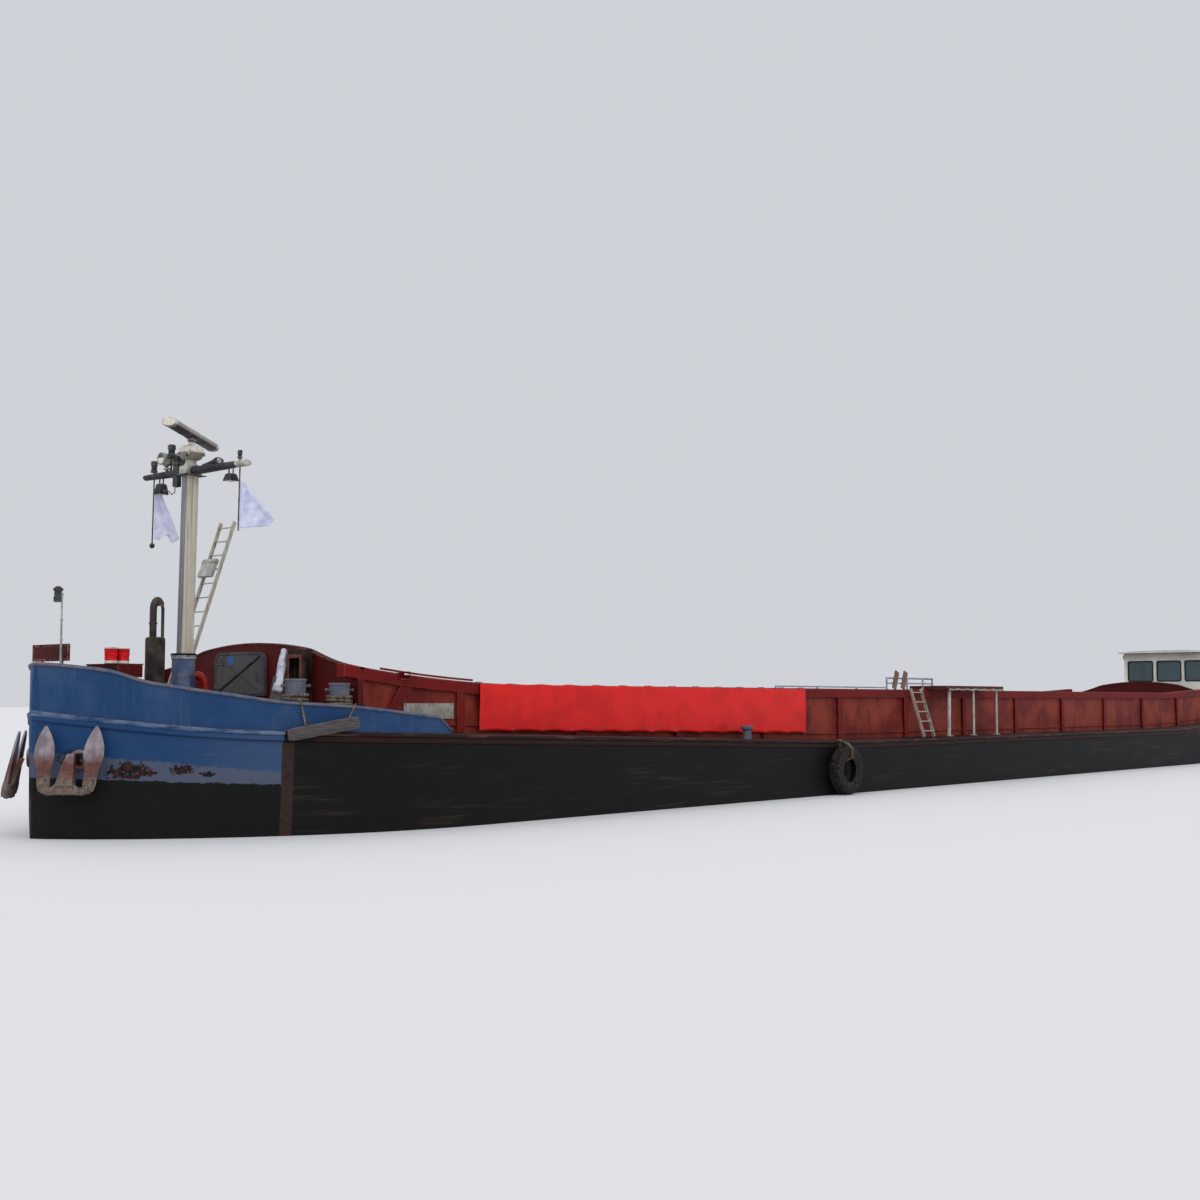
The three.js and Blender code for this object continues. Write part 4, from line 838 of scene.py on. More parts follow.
# The heavier door bar is near black: painted shade for the shadow along it.
shaded_bar_iron = weathered("shaded_bar_iron", (44, 40, 41), (58, 52, 52), rust=0.25, runs=0.2,
                      worn=(84, 76, 72), cloud=0.1)
fit(heavy_bar, "door_bar", shaded_bar_iron, "fore_door_leaf", "grey_paint")
sign_coat = Coat("sign_coat")
sign_white = (158, 168, 186)
away = sign_coat.node("ShaderNodeVectorMath", {0: sign_coat.place, 1: (DOOR_X * HALF, -0.25, 2.085)},
                      "Value", operation="DISTANCE")
sign_blue = sign_coat.over((34, 84, 150), (56, 98, 152), sign_coat.grain(0.03))
sign_face = sign_coat.over(sign_blue, sign_white, sign_coat.step(away, 0.052, 0.056))
sign_coat.spread(sign_face, 0.4)
fit(Steelwork().turned((door_face - 0.002, -0.5, 4.17), [(0, 0.085), (0.008, 0.085)], (1, 0, 0), 32),
    "door_sign", sign_coat.material, "fore_door_leaf", "grey_paint")

# Two stockless anchors are hauled up outside the bow, each with two leaf-shaped flukes, a thick bent
# crown and a shank that leads up into the hawse pipe. They are cast iron, with remains of white paint.
ANCHOR_SPOT, ANCHOR_TURN, ANCHOR_LEAN = (27.43, 0.78), math.radians(37), math.radians(11)
ANCHOR_CROWN = {"port": 2.17, "starboard": 2.08}
HAWSE_X, HAWSE_Y, HAWSE_Z = 27.13, 0.69, 2.62
anchor_iron = Coat("anchor_iron")
iron_grain = anchor_iron.grain(0.025, 6, 0.65)
painted_top = anchor_iron.over((142, 132, 138), (112, 102, 108),
                               anchor_iron.step(anchor_iron.grain(0.1), 0.35, 0.65))
rusty_middle = anchor_iron.over((104, 62, 56), (78, 56, 56), anchor_iron.step(iron_grain, 0.4, 0.65))
bare_foot = anchor_iron.over((112, 100, 90), (84, 72, 66), anchor_iron.step(iron_grain, 0.42, 0.6))
height_mark = anchor_iron.sum("ADD", anchor_iron.z, anchor_iron.sum(
    "MULTIPLY", anchor_iron.grain(0.06, 6, 0.7), 0.12))
iron_colour = anchor_iron.over(bare_foot, rusty_middle, anchor_iron.step(height_mark, 1.2, 1.3, 0.9))
iron_colour = anchor_iron.over(iron_colour, painted_top, anchor_iron.step(height_mark, 1.33, 1.44))
iron_colour = anchor_iron.over(iron_colour, (150, 142, 140), anchor_iron.both(
    anchor_iron.edges(0.006), anchor_iron.step(iron_grain, 0.4, 0.6, 0.7)))
anchor_iron.spread(iron_colour, 0.7, iron_grain, 0.0015)
# The fluke's sections: height, half width, thickness, and the middle's way out from the shank.
FLUKE = [(0.0, 0.075, 0.06, 0.33), (0.1, 0.1, 0.06, 0.34), (0.22, 0.098, 0.055, 0.35),
         (0.34, 0.108, 0.05, 0.36), (0.44, 0.14, 0.045, 0.365), (0.54, 0.152, 0.04, 0.368),
         (0.66, 0.145, 0.036, 0.37), (0.78, 0.11, 0.03, 0.374), (0.88, 0.065, 0.024, 0.378),
         (0.95, 0.025, 0.016, 0.38), (0.97, 0.006, 0.008, 0.38)]


def lenticular(half, thick, middle, z):
    """A leaf's section: thin at both edges, with a raised rib along the middle of each face."""
    shape = []
    for face in (1, -1):
        for share, rise in ((-1, 0.12), (-0.55, 0.55), (-0.14, 0.7), (0, 1.25), (0.14, 0.7), (0.55, 0.55),
                            (1, 0.12)):
            shape.append((face * rise * thick, middle + face * share * half, z))
    return shape


def stockless_anchor():
    work = Steelwork()
    for side in (1, -1):
        work.skin([lenticular(half, thick, side * middle, z) for z, half, thick, middle in FLUKE])
    bend = [(0, 0.35, 0.18), (0, 0.35, 0.09), (0, 0.32, 0.03), (0, 0.25, 0.0), (0, 0.13, 0.0)]
    work.pipe(bend + [(0, 0, 0.0)] + [(x, -y, z) for x, y, z in reversed(bend)],
              [0.075, 0.078, 0.074, 0.064, 0.056, 0.056, 0.056, 0.064, 0.074, 0.078, 0.075], 14)
    work.skin([[(-0.07, -w, z), (0.08, -w, z), (0.08, w, z), (-0.07, w, z)]
               for z, w in ((-0.045, 0.22), (0.05, 0.2), (0.09, 0.14))])
    return work.skin([[(x - t * 0.6, -t, z), (x + t * 0.6, -t, z), (x + t * 0.6, t, z), (x - t * 0.6, t, z)]
                      for x, t, z in ((0.03, 0.13, 0.07), (-0.02, 0.085, 0.36), (-0.08, 0.05, 0.56))])


for side, sign in (("port", 1), ("starboard", -1)):
    stand = Matrix.Translation((ANCHOR_SPOT[0], sign * ANCHOR_SPOT[1], ANCHOR_CROWN[side]))
    turn = Matrix.Rotation(sign * ANCHOR_TURN, 4, "Z") @ Matrix.Rotation(-ANCHOR_LEAN, 4, "Y")
    fit(stockless_anchor().place(stand @ turn), "stockless_anchor_" + side, anchor_iron.material, "hull",
        "anchor_iron", ["anchor_" + side], bevel=0.006)
    # The hawse pipe's dark mouth, with a thick ring round it.
    mouth = (Matrix.Translation((HAWSE_X, sign * HAWSE_Y, HAWSE_Z))
             @ Matrix.Rotation(sign * ANCHOR_TURN, 4, "Z"))
    ring = Steelwork().pipe([(0.02, 0.15 * math.cos(a), 0.12 * math.sin(a))
                             for a in around(28)], 0.03, 10, True)
    ring.turned((-0.02, 0, 0), [(0, 0.13), (0.02, 0.13)], (1, 0, 0), 28)
    fit(ring.place(mouth), "hawse_ring_" + side, anchor_iron.material, "hull", "anchor_iron")

# Twin bollards stand on a welded foot plate: grey-blue posts with a cap and two pins each. Rope is still
# wound round the forward pair to port, so the turns are fixed there and no end of it hangs free.
POST_RADIUS, CAP_RADIUS, POST_GAP, PLATE_HALF, PLATE_END = 0.16, 0.17, 0.73, 0.21, 0.17
# Each pair's place, its turn in degrees, and the height of its after and its fore post.
BOLLARDS = {"fore": (24.1, 2.4, -17, (0.7, 0.76)), "aft": (-22.6, 2.5, 0, (0.55, 0.55))}
post_paint = weathered("post_paint", (82, 86, 102), (98, 98, 106), rust=0.3, runs=0.3,
                       worn=(112, 98, 90), cloud=0.2)
rope = Coat("mooring_rope")
strand = rope.node("ShaderNodeTexWave", {
    "Vector": rope.place, "Scale": 26.0, "Distortion": 1.0, "Detail": 1.0,
}, 1, wave_type="BANDS", bands_direction="DIAGONAL")
rope_tone = rope.over((126, 112, 98), (84, 74, 66), rope.step(rope.grain(0.05, 4), 0.35, 0.65))
# Dark bands along the lay are painted shade between the rope's strands.
rope.spread(rope.over(rope_tone, (60, 52, 46), rope.step(strand, 0.45, 0.2, 0.6)), 0.9, strand, 0.0015)

for end, (x, y, turn, heights) in BOLLARDS.items():
    reach = POST_GAP / 2 + PLATE_END
    foot = max(sheer(x + reach), sheer(x - reach)) + 0.045
    stand = Matrix.Translation((x, y, foot)) @ Matrix.Rotation(math.radians(turn), 4, "Z")
    pair = Steelwork().block(-reach, reach, -PLATE_HALF, PLATE_HALF, 0, 0.035)
    for side, tall in zip((-1, 1), heights):
        middle, pin = side * POST_GAP / 2, tall - 0.11
        pair.turned((middle, 0, 0.03), [
            (0, POST_RADIUS + 0.012), (0.02, POST_RADIUS), (tall - 0.072, POST_RADIUS),
            (tall - 0.068, CAP_RADIUS), (tall - 0.04, CAP_RADIUS), (tall - 0.032, CAP_RADIUS - 0.012),
            (tall - 0.03, 0.02),
        ], sides=36)
        for way in (-1, 1):
            pair.bar((middle, 0, pin), (middle + way * 0.235, 0, pin), 0.018, 10)
            pair.bar((middle + way * 0.215, 0, pin), (middle + way * 0.24, 0, pin), 0.026, 10)
    fit_pair(pair.place(stand), f"twin_bollard_{end}_", post_paint, "grey_paint", f"bollard_{end}_",
             bevel=0.005)
    if end == "fore":
        turns = []
        for side in (-1, 1):
            for k in range(4):
                lean = (0.05 * math.sin(2.1 * k + side), 0.06 * math.cos(1.7 * k), 0)
                at = stand @ Vector((side * POST_GAP / 2, 0, 0.3 + 0.06 * k + 0.02 * (side > 0)))
                turns.append((tuple(at), lean, PLAIN))
        windings = repeated("rope_turns", "ring", turns, rope.material, Radius=POST_RADIUS + 0.024,
                            Thickness=0.028)
        fit(windings, "rope_turns", rope.material, "hull", "flag_cloth")

# A small steel bollard with a rounded head is welded to each side deck. The one to port stands outboard of
# the banner.
small_post = Steelwork().turned((13.27, 3.02, sheer(13.27) - 0.02), [
    (0, 0.1), (0.03, 0.09), (0.2, 0.085), (0.235, 0.13), (0.275, 0.13), (0.3, 0.11), (0.3, 0.02),
], sides=32)
fit_pair(small_post, "side_bollard_", post_paint, "grey_paint")

# The windlass has a welded red frame with a gear case on top, and a cable drum between its cheeks. The
# drum's level shaft carries a warping head on either side. Both turn on the windlass's own body.
WINCH_X, WINCH_Z, WINCH_FOOT = 26.15, 3.66, 3.195
winch_paint = weathered("winch_paint", (90, 28, 26), (70, 26, 25), rust=0.35, runs=0.35,
                        worn=(118, 88, 80), cloud=0.2)
frame_work = Steelwork().block(WINCH_X - 0.3, WINCH_X + 0.3, -0.48, 0.48, WINCH_FOOT, WINCH_FOOT + 0.07)
bearing = Steelwork().bar((WINCH_X, -0.7, WINCH_Z), (WINCH_X, 0.7, WINCH_Z), 0.06, 24)
for y in (-0.4, 0.33):
    cheek = [(WINCH_X - 0.2, y, WINCH_FOOT + 0.06), (WINCH_X + 0.2, y, WINCH_FOOT + 0.06),
             (WINCH_X + 0.16, y, WINCH_Z + 0.2), (WINCH_X - 0.16, y, WINCH_Z + 0.2)]
    frame_work.slab(cheek, (0, 0.07, 0))
frame_work = Steelwork().take(cut_out(frame_work, [bearing], "winch_cheeks"))
for y in (-0.405, 0.335):
    for side in (-1, 1):
        frame_work.block(WINCH_X + side * 0.12 - 0.02, WINCH_X + side * 0.12 + 0.02, y - 0.01, y + 0.08,
                         WINCH_FOOT + 0.07, WINCH_Z + 0.18)
case_foot, case_top = WINCH_Z + 0.19, WINCH_Z + 0.385
frame_work.block(WINCH_X - 0.22, WINCH_X + 0.22, -0.43, 0.43, case_foot, case_top)
frame_work.block(WINCH_X - 0.24, WINCH_X + 0.24, -0.44, 0.44, case_top, case_top + 0.014)
fit(frame_work, "windlass_case", winch_paint, "hull", "oxide_paint", ["windlass_frame"], bevel=0.008)
iron_work = weathered("worn_iron", (74, 70, 68), (92, 84, 78), rust=0.5, runs=0.2,
                      worn=(150, 144, 138), metallic=0.5, cloud=0.1)
drum = Steelwork().turned((WINCH_X, -0.62, WINCH_Z), [
    (0, 0.02), (0, 0.12), (0.02, 0.13), (0.035, 0.085), (0.09, 0.085), (0.105, 0.12), (0.12, 0.12),
    (0.122, 0.05), (0.36, 0.05), (0.362, 0.17), (0.4, 0.17), (0.402, 0.11), (0.838, 0.11), (0.84, 0.17),
    (0.878, 0.17), (0.88, 0.05), (1.118, 0.05), (1.12, 0.12), (1.135, 0.12), (1.15, 0.085),
    (1.205, 0.085), (1.22, 0.13), (1.24, 0.12), (1.24, 0.02),
], (0, 1, 0), 36)
wound = [((WINCH_X, -0.19 + 0.047 * k, WINCH_Z), (math.pi / 2, 0, 0), PLAIN) for k in range(9)]
drum.take(repeated("cable_turns", "ring", wound, iron_work, Radius=0.125, Thickness=0.02))
fit(drum, "windlass_cable_drum", iron_work, "windlass_shaft", "galvanised", ["windlass_drum"])

# Two paint drums of moulded plastic stand on the gear case. They are red between white feet and white rims
# and lids, and have thin wire handles.
drum_skin = Coat("drum_skin")
# The small gap that is kept between pieces that stand on each other.
GAP = 0.0006
drum_foot = WINCH_Z + 0.4 + GAP
above_foot = drum_skin.sum("SUBTRACT", drum_skin.z, drum_foot * HALF)
drum_white = drum_skin.over((206, 200, 194), (166, 158, 150), drum_skin.step(
    drum_skin.grain(0.03), 0.45, 0.7))
drum_red = drum_skin.over((206, 34, 38), (168, 30, 34), drum_skin.step(
    drum_skin.grain(0.04), 0.4, 0.65))
drum_colour = drum_skin.over(drum_white, drum_red, drum_skin.both(
    drum_skin.step(above_foot, 0.022, 0.024), drum_skin.step(above_foot, 0.115, 0.113)))
drum_skin.spread(drum_colour, 0.42, drum_skin.grain(0.01), 0.0004)
tins = Steelwork()
for x, y, radius, tall in ((WINCH_X + 0.13, 0.1, 0.1, 0.255), (WINCH_X - 0.07, 0.12, 0.095, 0.245)):
    tins.turned((x, y, drum_foot), [
        (0, radius - 0.01), (0.008, radius), (0.018, radius - 0.004), (tall - 0.06, radius),
        (tall - 0.055, radius + 0.006), (tall - 0.045, radius), (tall - 0.03, radius + 0.002),
        (tall - 0.025, radius + 0.007), (tall - 0.004, radius + 0.007), (tall - 0.002, radius - 0.006),
        (tall - 0.01, radius - 0.012),
    ], sides=40)
    tins.pipe([(x + (radius + 0.006) * math.cos(a), y + (radius + 0.006) * math.sin(a),
                drum_foot + tall - 0.06 - 0.07 * math.sin(math.pi * k / 16))
               for k, a in enumerate(math.pi * j / 16 for j in range(17))], 0.003, 6)
fit(tins, "paint_tins", drum_skin.material, "hull", "red_plastic", ["paint_drums"])

# The exhaust is a round silencer of sheet steel on the foredeck, and its black paint flakes. A pipe bent
# over at its top and a thin drain beside it are clamped on.
stack_paint = weathered("stack_paint", (46, 42, 40), (74, 68, 64), rust=0.5, runs=0.6,
                        worn=(92, 86, 80), cloud=0.12, relief=0.003, run_paint=(90, 84, 78))
STACK_X, STACK_FOOT = 25.42, sheer(25.6) + 0.06
STACK_TALL = 4.5 - STACK_FOOT
stack = Steelwork().turned((STACK_X, 0, STACK_FOOT), [
    (0, 0.16), (0.03, 0.16), (0.035, 0.153), (STACK_TALL - 0.06, 0.155), (STACK_TALL - 0.015, 0.15),
    (STACK_TALL, 0.12), (STACK_TALL, 0.02),
], sides=40)
bend = [(25.48, 0.02, 4.42), (25.48, 0.02, 4.88)]
for k in range(1, 12):
    angle = math.radians(150) * k / 11
    bend.append((25.41 + 0.07 * math.cos(angle), 0.02 + 0.001 * k, 4.93 + 0.16 * math.sin(angle)))
stack.pipe(bend, [0.056] * 11 + [0.06, 0.06], 18)
stack.pipe([(25.35, 0.09, 4.42), (25.35, 0.09, 4.95), (25.36, 0.08, 5.02)], 0.026, 10)
for z in (4.46, 4.7):
    stack.turned((25.48, 0.02, z), [(0, 0.055), (0, 0.066), (0.03, 0.066), (0.03, 0.055)], sides=20)
fit(stack, "exhaust_silencer", stack_paint, "hull", "black_paint", ["exhaust_stack"])

# A ventilator with a bent red hose stands behind the mast, clamped to its deck pipe. A blue drum, worn
# to the primer, stands before it.
hose = Coat("vent_hose")
hose_tone = hose.over((140, 38, 30), (98, 26, 24), hose.step(hose.grain(0.05), 0.4, 0.65))
hose.spread(hose_tone, 0.5, hose.grain(0.02), 0.001)
VENT_X, VENT_Y = 24.73, 0.4
cowl = Steelwork().turned((VENT_X, VENT_Y, sheer(24.7) + 0.055), [
    (0, 0.075), (0.02, 0.075), (0.022, 0.06), (0.55, 0.06),
], sides=28)
arc = [(VENT_X, VENT_Y, 3.55), (VENT_X, VENT_Y, 3.66)]
for k in range(1, 13):
    angle = math.pi / 2 * k / 12
    reach = 0.165 * (1 - math.cos(angle))
    arc.append((VENT_X + reach * 0.67, VENT_Y - reach * 0.74, 3.67 + 0.23 * math.sin(angle)))
cowl.pipe(arc, [0.066] * len(arc), 24)
cowl.turned((VENT_X, VENT_Y, 3.56), [(0, 0.066), (0.002, 0.071), (0.022, 0.071), (0.024, 0.066)], sides=28)
fit(cowl, "vent_hose_bend", hose.material, "hull", "red_plastic", ["vent_cowl"])
barrel_top = 3.9 - sheer(25.2) - 0.06
barrel_work = Steelwork().turned((25.08, 0.28, sheer(25.2) + 0.058), [
    (0, 0.11), (0.004, 0.124), (0.2, 0.12), (0.21, 0.125), (0.22, 0.12), (barrel_top - 0.22, 0.12),
    (barrel_top - 0.21, 0.125), (barrel_top - 0.2, 0.12), (barrel_top - 0.01, 0.12), (barrel_top, 0.125),
    (barrel_top, 0.112), (barrel_top - 0.015, 0.108),
], sides=36)
chalky_blue = weathered("chalky_blue", (74, 90, 124), (104, 110, 128), rust=0.1, runs=0.3,
                        worn=(140, 140, 146), cloud=0.1, run_paint=(52, 54, 72))
fit(barrel_work, "worn_blue_drum", chalky_blue, "hull", "blue_paint", ["deck_drum"])

# The mast is a flat rectangular alloy tube that slides down through a round steel trunk on the deck. The
# trunk's lid, in a black and white collar, has a slot for it. Its broad sides are painted lighter, in cream,
# and the others darker, in grey: painted light and shade by the way each face looks.
mast_trunk = Steelwork()


def sleeve(work, x, y, section, sides=40):
    """A ring led round an upright axis. Its section is a closed run of (radius, z) points."""
    return work.skin([[(x + r * math.cos(a), y + r * math.sin(a), z) for r, z in section]
                      for a in around(sides)], True)


trunk_foot = sheer(25.08) + 0.058
sleeve(mast_trunk, MAST_FOOT.x, 0, [(0.172, trunk_foot), (0.21, trunk_foot), (0.21, trunk_foot + 0.03),
                                   (0.186, trunk_foot + 0.035), (0.186, 4.19), (0.172, 4.19)])
fit(mast_trunk, "mast_trunk", chalky_blue, "hull", "blue_paint", ["mast_base"])
# The collar is black up to here, in model metres, and white above.
COLLAR_SPLIT = 2.109
collar_coat = Coat("collar_coat")
collar_white = collar_coat.over((150, 152, 150), (96, 92, 92), collar_coat.step(
    collar_coat.grain(0.03, 5), 0.5, 0.7))
collar_coat.spread(collar_coat.over(collar_white, (26, 26, 28), collar_coat.step(
    collar_coat.z, COLLAR_SPLIT - 0.001, COLLAR_SPLIT + 0.001)), 0.5)
collar = Steelwork().turned((MAST_FOOT.x, 0, 4.16), [
    (0, 0.19), (0.002, 0.198), (0.05, 0.198), (0.052, 0.205), (0.088, 0.205), (0.092, 0.198),
    (0.092, 0.02),
], sides=40)
MAST_LONG, MAST_WIDE, MAST_PLAY = 0.125, 0.065, 0.012
slot_cut = Steelwork().block(-MAST_LONG - MAST_PLAY, MAST_LONG + MAST_PLAY, -MAST_WIDE - MAST_PLAY,
                             MAST_WIDE + MAST_PLAY, 1.1, 1.5).place(mast_lean)
trunk_room = Steelwork().turned((MAST_FOOT.x, 0, 4.1), [(0, 0.187), (0.12, 0.187)], sides=40)
fit(cut_out(collar, [slot_cut, trunk_room], "mast_collar"), "mast_collar", collar_coat.material, "hull",
    "black_paint")
mast_metal = Coat("mast_metal")
brushed = mast_metal.grain(0.012, 4, 0.6, (1, 1, 60))
lit_face_cream = mast_metal.over((196, 188, 172), (170, 160, 144), mast_metal.step(brushed, 0.35, 0.65))
lit_face_cream = mast_metal.over(lit_face_cream, (140, 124, 106), mast_metal.step(
    mast_metal.grain(0.09, 6, 0.65, (1, 1, 5)), 0.52, 0.72, 0.7))
shaded_face_grey = mast_metal.over((128, 128, 132), (100, 98, 103), mast_metal.step(brushed, 0.35, 0.65))
# The broad faces get the lit cream and the other faces the shaded grey, by the way each face looks.
flat_way = mast_metal.tree.nodes.new("ShaderNodeSeparateXYZ")
mast_metal.tree.links.new(mast_metal.node("ShaderNodeNewGeometry", {}, "Normal"), flat_way.inputs[0])
lit_faces = mast_metal.step(mast_metal.sum("ABSOLUTE", flat_way.outputs["Y"], 0.0), 0.8, 0.95)
mast_metal.spread(mast_metal.over(shaded_face_grey, lit_face_cream, lit_faces),
                  mast_metal.node("ShaderNodeMapRange", {"Value": brushed, "To Min": 0.4, "To Max": 0.6}),
                  brushed, 0.0006)
MAST_CHAMFER = 0.012
mast_corners = [(side_x * (MAST_LONG - c * MAST_CHAMFER), side_y * (MAST_WIDE - (1 - c) * MAST_CHAMFER))
                for side_x, side_y, cuts in ((1, 1, (0, 1)), (-1, 1, (1, 0)), (-1, -1, (0, 1)),
                                             (1, -1, (1, 0))) for c in cuts]
mast_work = Steelwork().skin([[(x, y, z) for x, y in mast_corners]
                              for z in (-0.02, 1.0, 2.0, 3.0, MAST_LENGTH)])
for y in (MAST_WIDE - 0.002, -MAST_WIDE - 0.006):
    mast_work.block(-0.045, 0.0, y, y + 0.008, 1.35, MAST_LENGTH - 0.02)
fit(mast_work.place(mast_lean), "mast_tube", mast_metal.material, "mast_body", "mast_alloy", ["mast"])
bare_alloy = weathered("bare_alloy", (124, 124, 128), (100, 100, 104), rust=0.05, runs=0.2,
                       metallic=0.6, cloud=0.1)

# The crosstree is a pair of tapered alloy arms welded to a sleeve on the masthead. It carries dark lanterns
# on stalks, two floodlights hung below, a loudhailer, a switch box and a white searchlight on a yoke.
masthead = mast_lean @ Matrix.Translation((0, 0, MAST_LENGTH + GAP))
ARM_Z, ARM_PORT, ARM_STARBOARD = 0.08, 1.49, -1.24
SEARCH_Y, SEARCH_Z = -0.66, 0.34
# Each floodlight's place along the arms, half its width, and its foot.
FLOODLIGHTS = [(1.075, 0.09, -0.18), (-0.8, 0.085, -0.24)]
head_dark = weathered("head_dark", (50, 50, 53), (70, 70, 72), rust=0.06, runs=0.2,
                      worn=(120, 118, 116), cloud=0.1)
head_pale = weathered("head_pale", (182, 180, 170), (150, 148, 140), rust=0.06, runs=0.35,
                      worn=(112, 108, 102), cloud=0.12)


def oval_ring(y, wide, tall, z=ARM_Z):
    return [(wide * math.cos(a), y, z + tall * math.sin(a)) for a in around(24)]


# A lantern's outline over its stalk, as shares of its height and radius: a base, a drum of glass between
# two ribs, and a ribbed cap.
LANTERN = [(0.01, 0.95), (0.16, 0.95), (0.18, 0.78), (0.58, 0.78), (0.6, 1.0), (0.68, 1.0), (0.7, 0.84),
           (0.77, 0.84), (0.79, 1.0), (0.87, 1.0), (0.89, 0.84), (0.96, 0.8), (1.0, 0.3)]


def lantern(work, y, foot, top, radius):
    """A navigation lamp on its stalk."""
    tall, stalk = top - foot, foot - ARM_Z
    outline = [(stalk + tall * up, radius * out) for up, out in LANTERN]
    work.turned((0, y, ARM_Z), [(0, 0.018), (stalk, 0.014), *outline], sides=24)


arms = Steelwork().skin([oval_ring(y, wide, tall) for y, wide, tall in (
    (ARM_STARBOARD, 0.07, 0.045), (-0.8, 0.085, 0.055), (-0.4, 0.095, 0.064), (0, 0.1, 0.07),
    (0.45, 0.098, 0.066), (0.9, 0.09, 0.058), (ARM_PORT - 0.22, 0.085, 0.05),
)])
arms.block(-0.2, 0.2, -0.17, 0.17, 0.0, 0.012)
lantern(arms, 1.29, 0.16, 0.3, 0.042)
lantern(arms, -1.02, 0.15, 0.35, 0.06)
lantern(arms, -0.54, 0.38, 0.58, 0.07)
arms.block(-0.1, 0.1, -0.65, -0.42, 0.352, 0.366)
for y, half, foot in FLOODLIGHTS:
    arms.skin([[(-w, y - h, z), (w, y - h, z), (w, y + h, z), (-w, y + h, z)] for z, w, h in (
        (foot, 0.09, half), (foot + 0.02, 0.09, half), (-0.07, 0.062, half * 0.74),
        (-0.06, 0.05, half * 0.62),
    )])
    for shift in (-0.6, 0.6):
        arms.bar((0, y + shift * half, -0.08), (0, y + shift * half, ARM_Z - 0.03), 0.012, 10)
arms.skin([[(-w, -0.43 + e, z), (w, -0.43 + e, z), (w, -0.31 - e, z), (-w, -0.31 - e, z)]
           for z, w, e in ((-0.15, 0.035, 0.012), (-0.138, 0.045, 0), (0.388, 0.045, 0),
                           (0.4, 0.035, 0.012))])
for z in (0.16, 0.24):
    arms.block(-0.049, 0.049, -0.434, -0.306, z, z + 0.012)
arms.block(-0.05, 0.05, -0.22, -0.13, 0.16, 0.3)
arms.pipe([(0.03, -0.37, -0.14), (0.035, -0.37, -0.24), (0.03, -0.46, -0.27), (0.02, -0.56, -0.2),
           (0.0, -0.7, -0.19), (0.0, -0.78, -0.12)], 0.009, 8)
arms.bar((0, SEARCH_Y, ARM_Z), (0, SEARCH_Y, SEARCH_Z - 0.1), 0.022, 12)
arms.pipe([(0.0, SEARCH_Y + 0.118 * math.cos(a), SEARCH_Z + 0.122 * math.sin(a)) for a in (
    math.pi * (1 + k / 12) for k in range(13))], 0.011, 10)
arms.skin([oval_ring(y, wide, tall, z) for y, wide, tall, z in (
    (0.34, 0.03, 0.016, 0.15), (0.5, 0.045, 0.028, 0.16), (0.66, 0.07, 0.04, 0.175),
    (0.74, 0.095, 0.052, 0.185), (0.752, 0.095, 0.052, 0.186),
)])
fit(arms.place(masthead), "crosstree_arms", head_dark, "mast_body", "black_paint", ["crosstree"],
    bevel=0.004)
pale_parts = Steelwork().skin([oval_ring(y, wide, tall) for y, wide, tall in (
    (ARM_PORT - 0.23, 0.088, 0.053), (ARM_PORT - 0.02, 0.088, 0.05), (ARM_PORT, 0.078, 0.042))])
pale_parts.turned((0, ARM_STARBOARD - 0.018, ARM_Z),
                  [(0, 0.035), (0.003, 0.048), (0.03, 0.05), (0.032, 0.03)], (0, 1, 0), 24)
pale_parts.skin([[(-w, -h, z), (w, -h, z), (w, h, z), (-w, h, z)] for z, w, h in (
    (0.013, 0.135, 0.1), (0.03, 0.145, 0.11), (0.15, 0.145, 0.11), (0.165, 0.12, 0.09))])
pale_parts.turned((0, 0, 0.16), [(0, 0.12), (0.02, 0.115), (0.05, 0.092), (0.1, 0.088)], sides=28)
pale_parts.turned((-0.14, SEARCH_Y, SEARCH_Z), [
    (0, 0.02), (0.001, 0.07), (0.012, 0.088), (0.04, 0.096), (0.225, 0.1), (0.227, 0.107), (0.262, 0.107),
    (0.27, 0.1), (0.272, 0.09), (0.25, 0.088), (0.25, 0.01),
], (1, 0, 0), 32)
pale_parts.turned((0, SEARCH_Y, 0.165), [(0, 0.055), (0.012, 0.06), (0.03, 0.06), (0.035, 0.03)], sides=24)
pale_parts.turned((0, 0.753, 0.186), [(0, 0.044), (0.004, 0.044)], (0, 1, 0.05), 20)
fit(pale_parts.place(masthead), "masthead_fittings", head_pale, "mast_body", "white_paint")
lens = Coat("lamp_glass")
lens.shader.inputs["Coat Weight"].default_value = 0.6
# The glass carries a painted reflection: dark above the searchlight's middle and bright below it, so the
# floodlight glasses, which hang lower, show bright.
REFLECTION_SPLIT = 3.75
painted_reflection = lens.step(lens.z, REFLECTION_SPLIT + 0.002, REFLECTION_SPLIT - 0.002)
lens.spread(lens.over((62, 66, 70), (206, 206, 200), painted_reflection), 0.12)
glasses = Steelwork().turned((0.122, SEARCH_Y, SEARCH_Z),
                             [(0, 0.087), (0.006, 0.084), (0.012, 0.06), (0.015, 0.01)], (1, 0, 0), 28)
for y, half, foot in FLOODLIGHTS:
    glasses.block(-0.075, 0.075, y - half * 0.85, y + half * 0.85, foot - 0.004, foot + 0.004)
fit(glasses.place(masthead), "lamp_glasses", lens.material, "mast_body", "grey_paint", bevel=0.003)

# The radar gearbox is a cream plastic housing of two halves, clipped together along a seam. Its scanner is
# a long rounded box with stained joints and pale end caps, and turns on its own body.
GEARBOX_FOOT, SCANNER_FOOT, SCANNER_REACH = 0.26, 0.572, 1.185
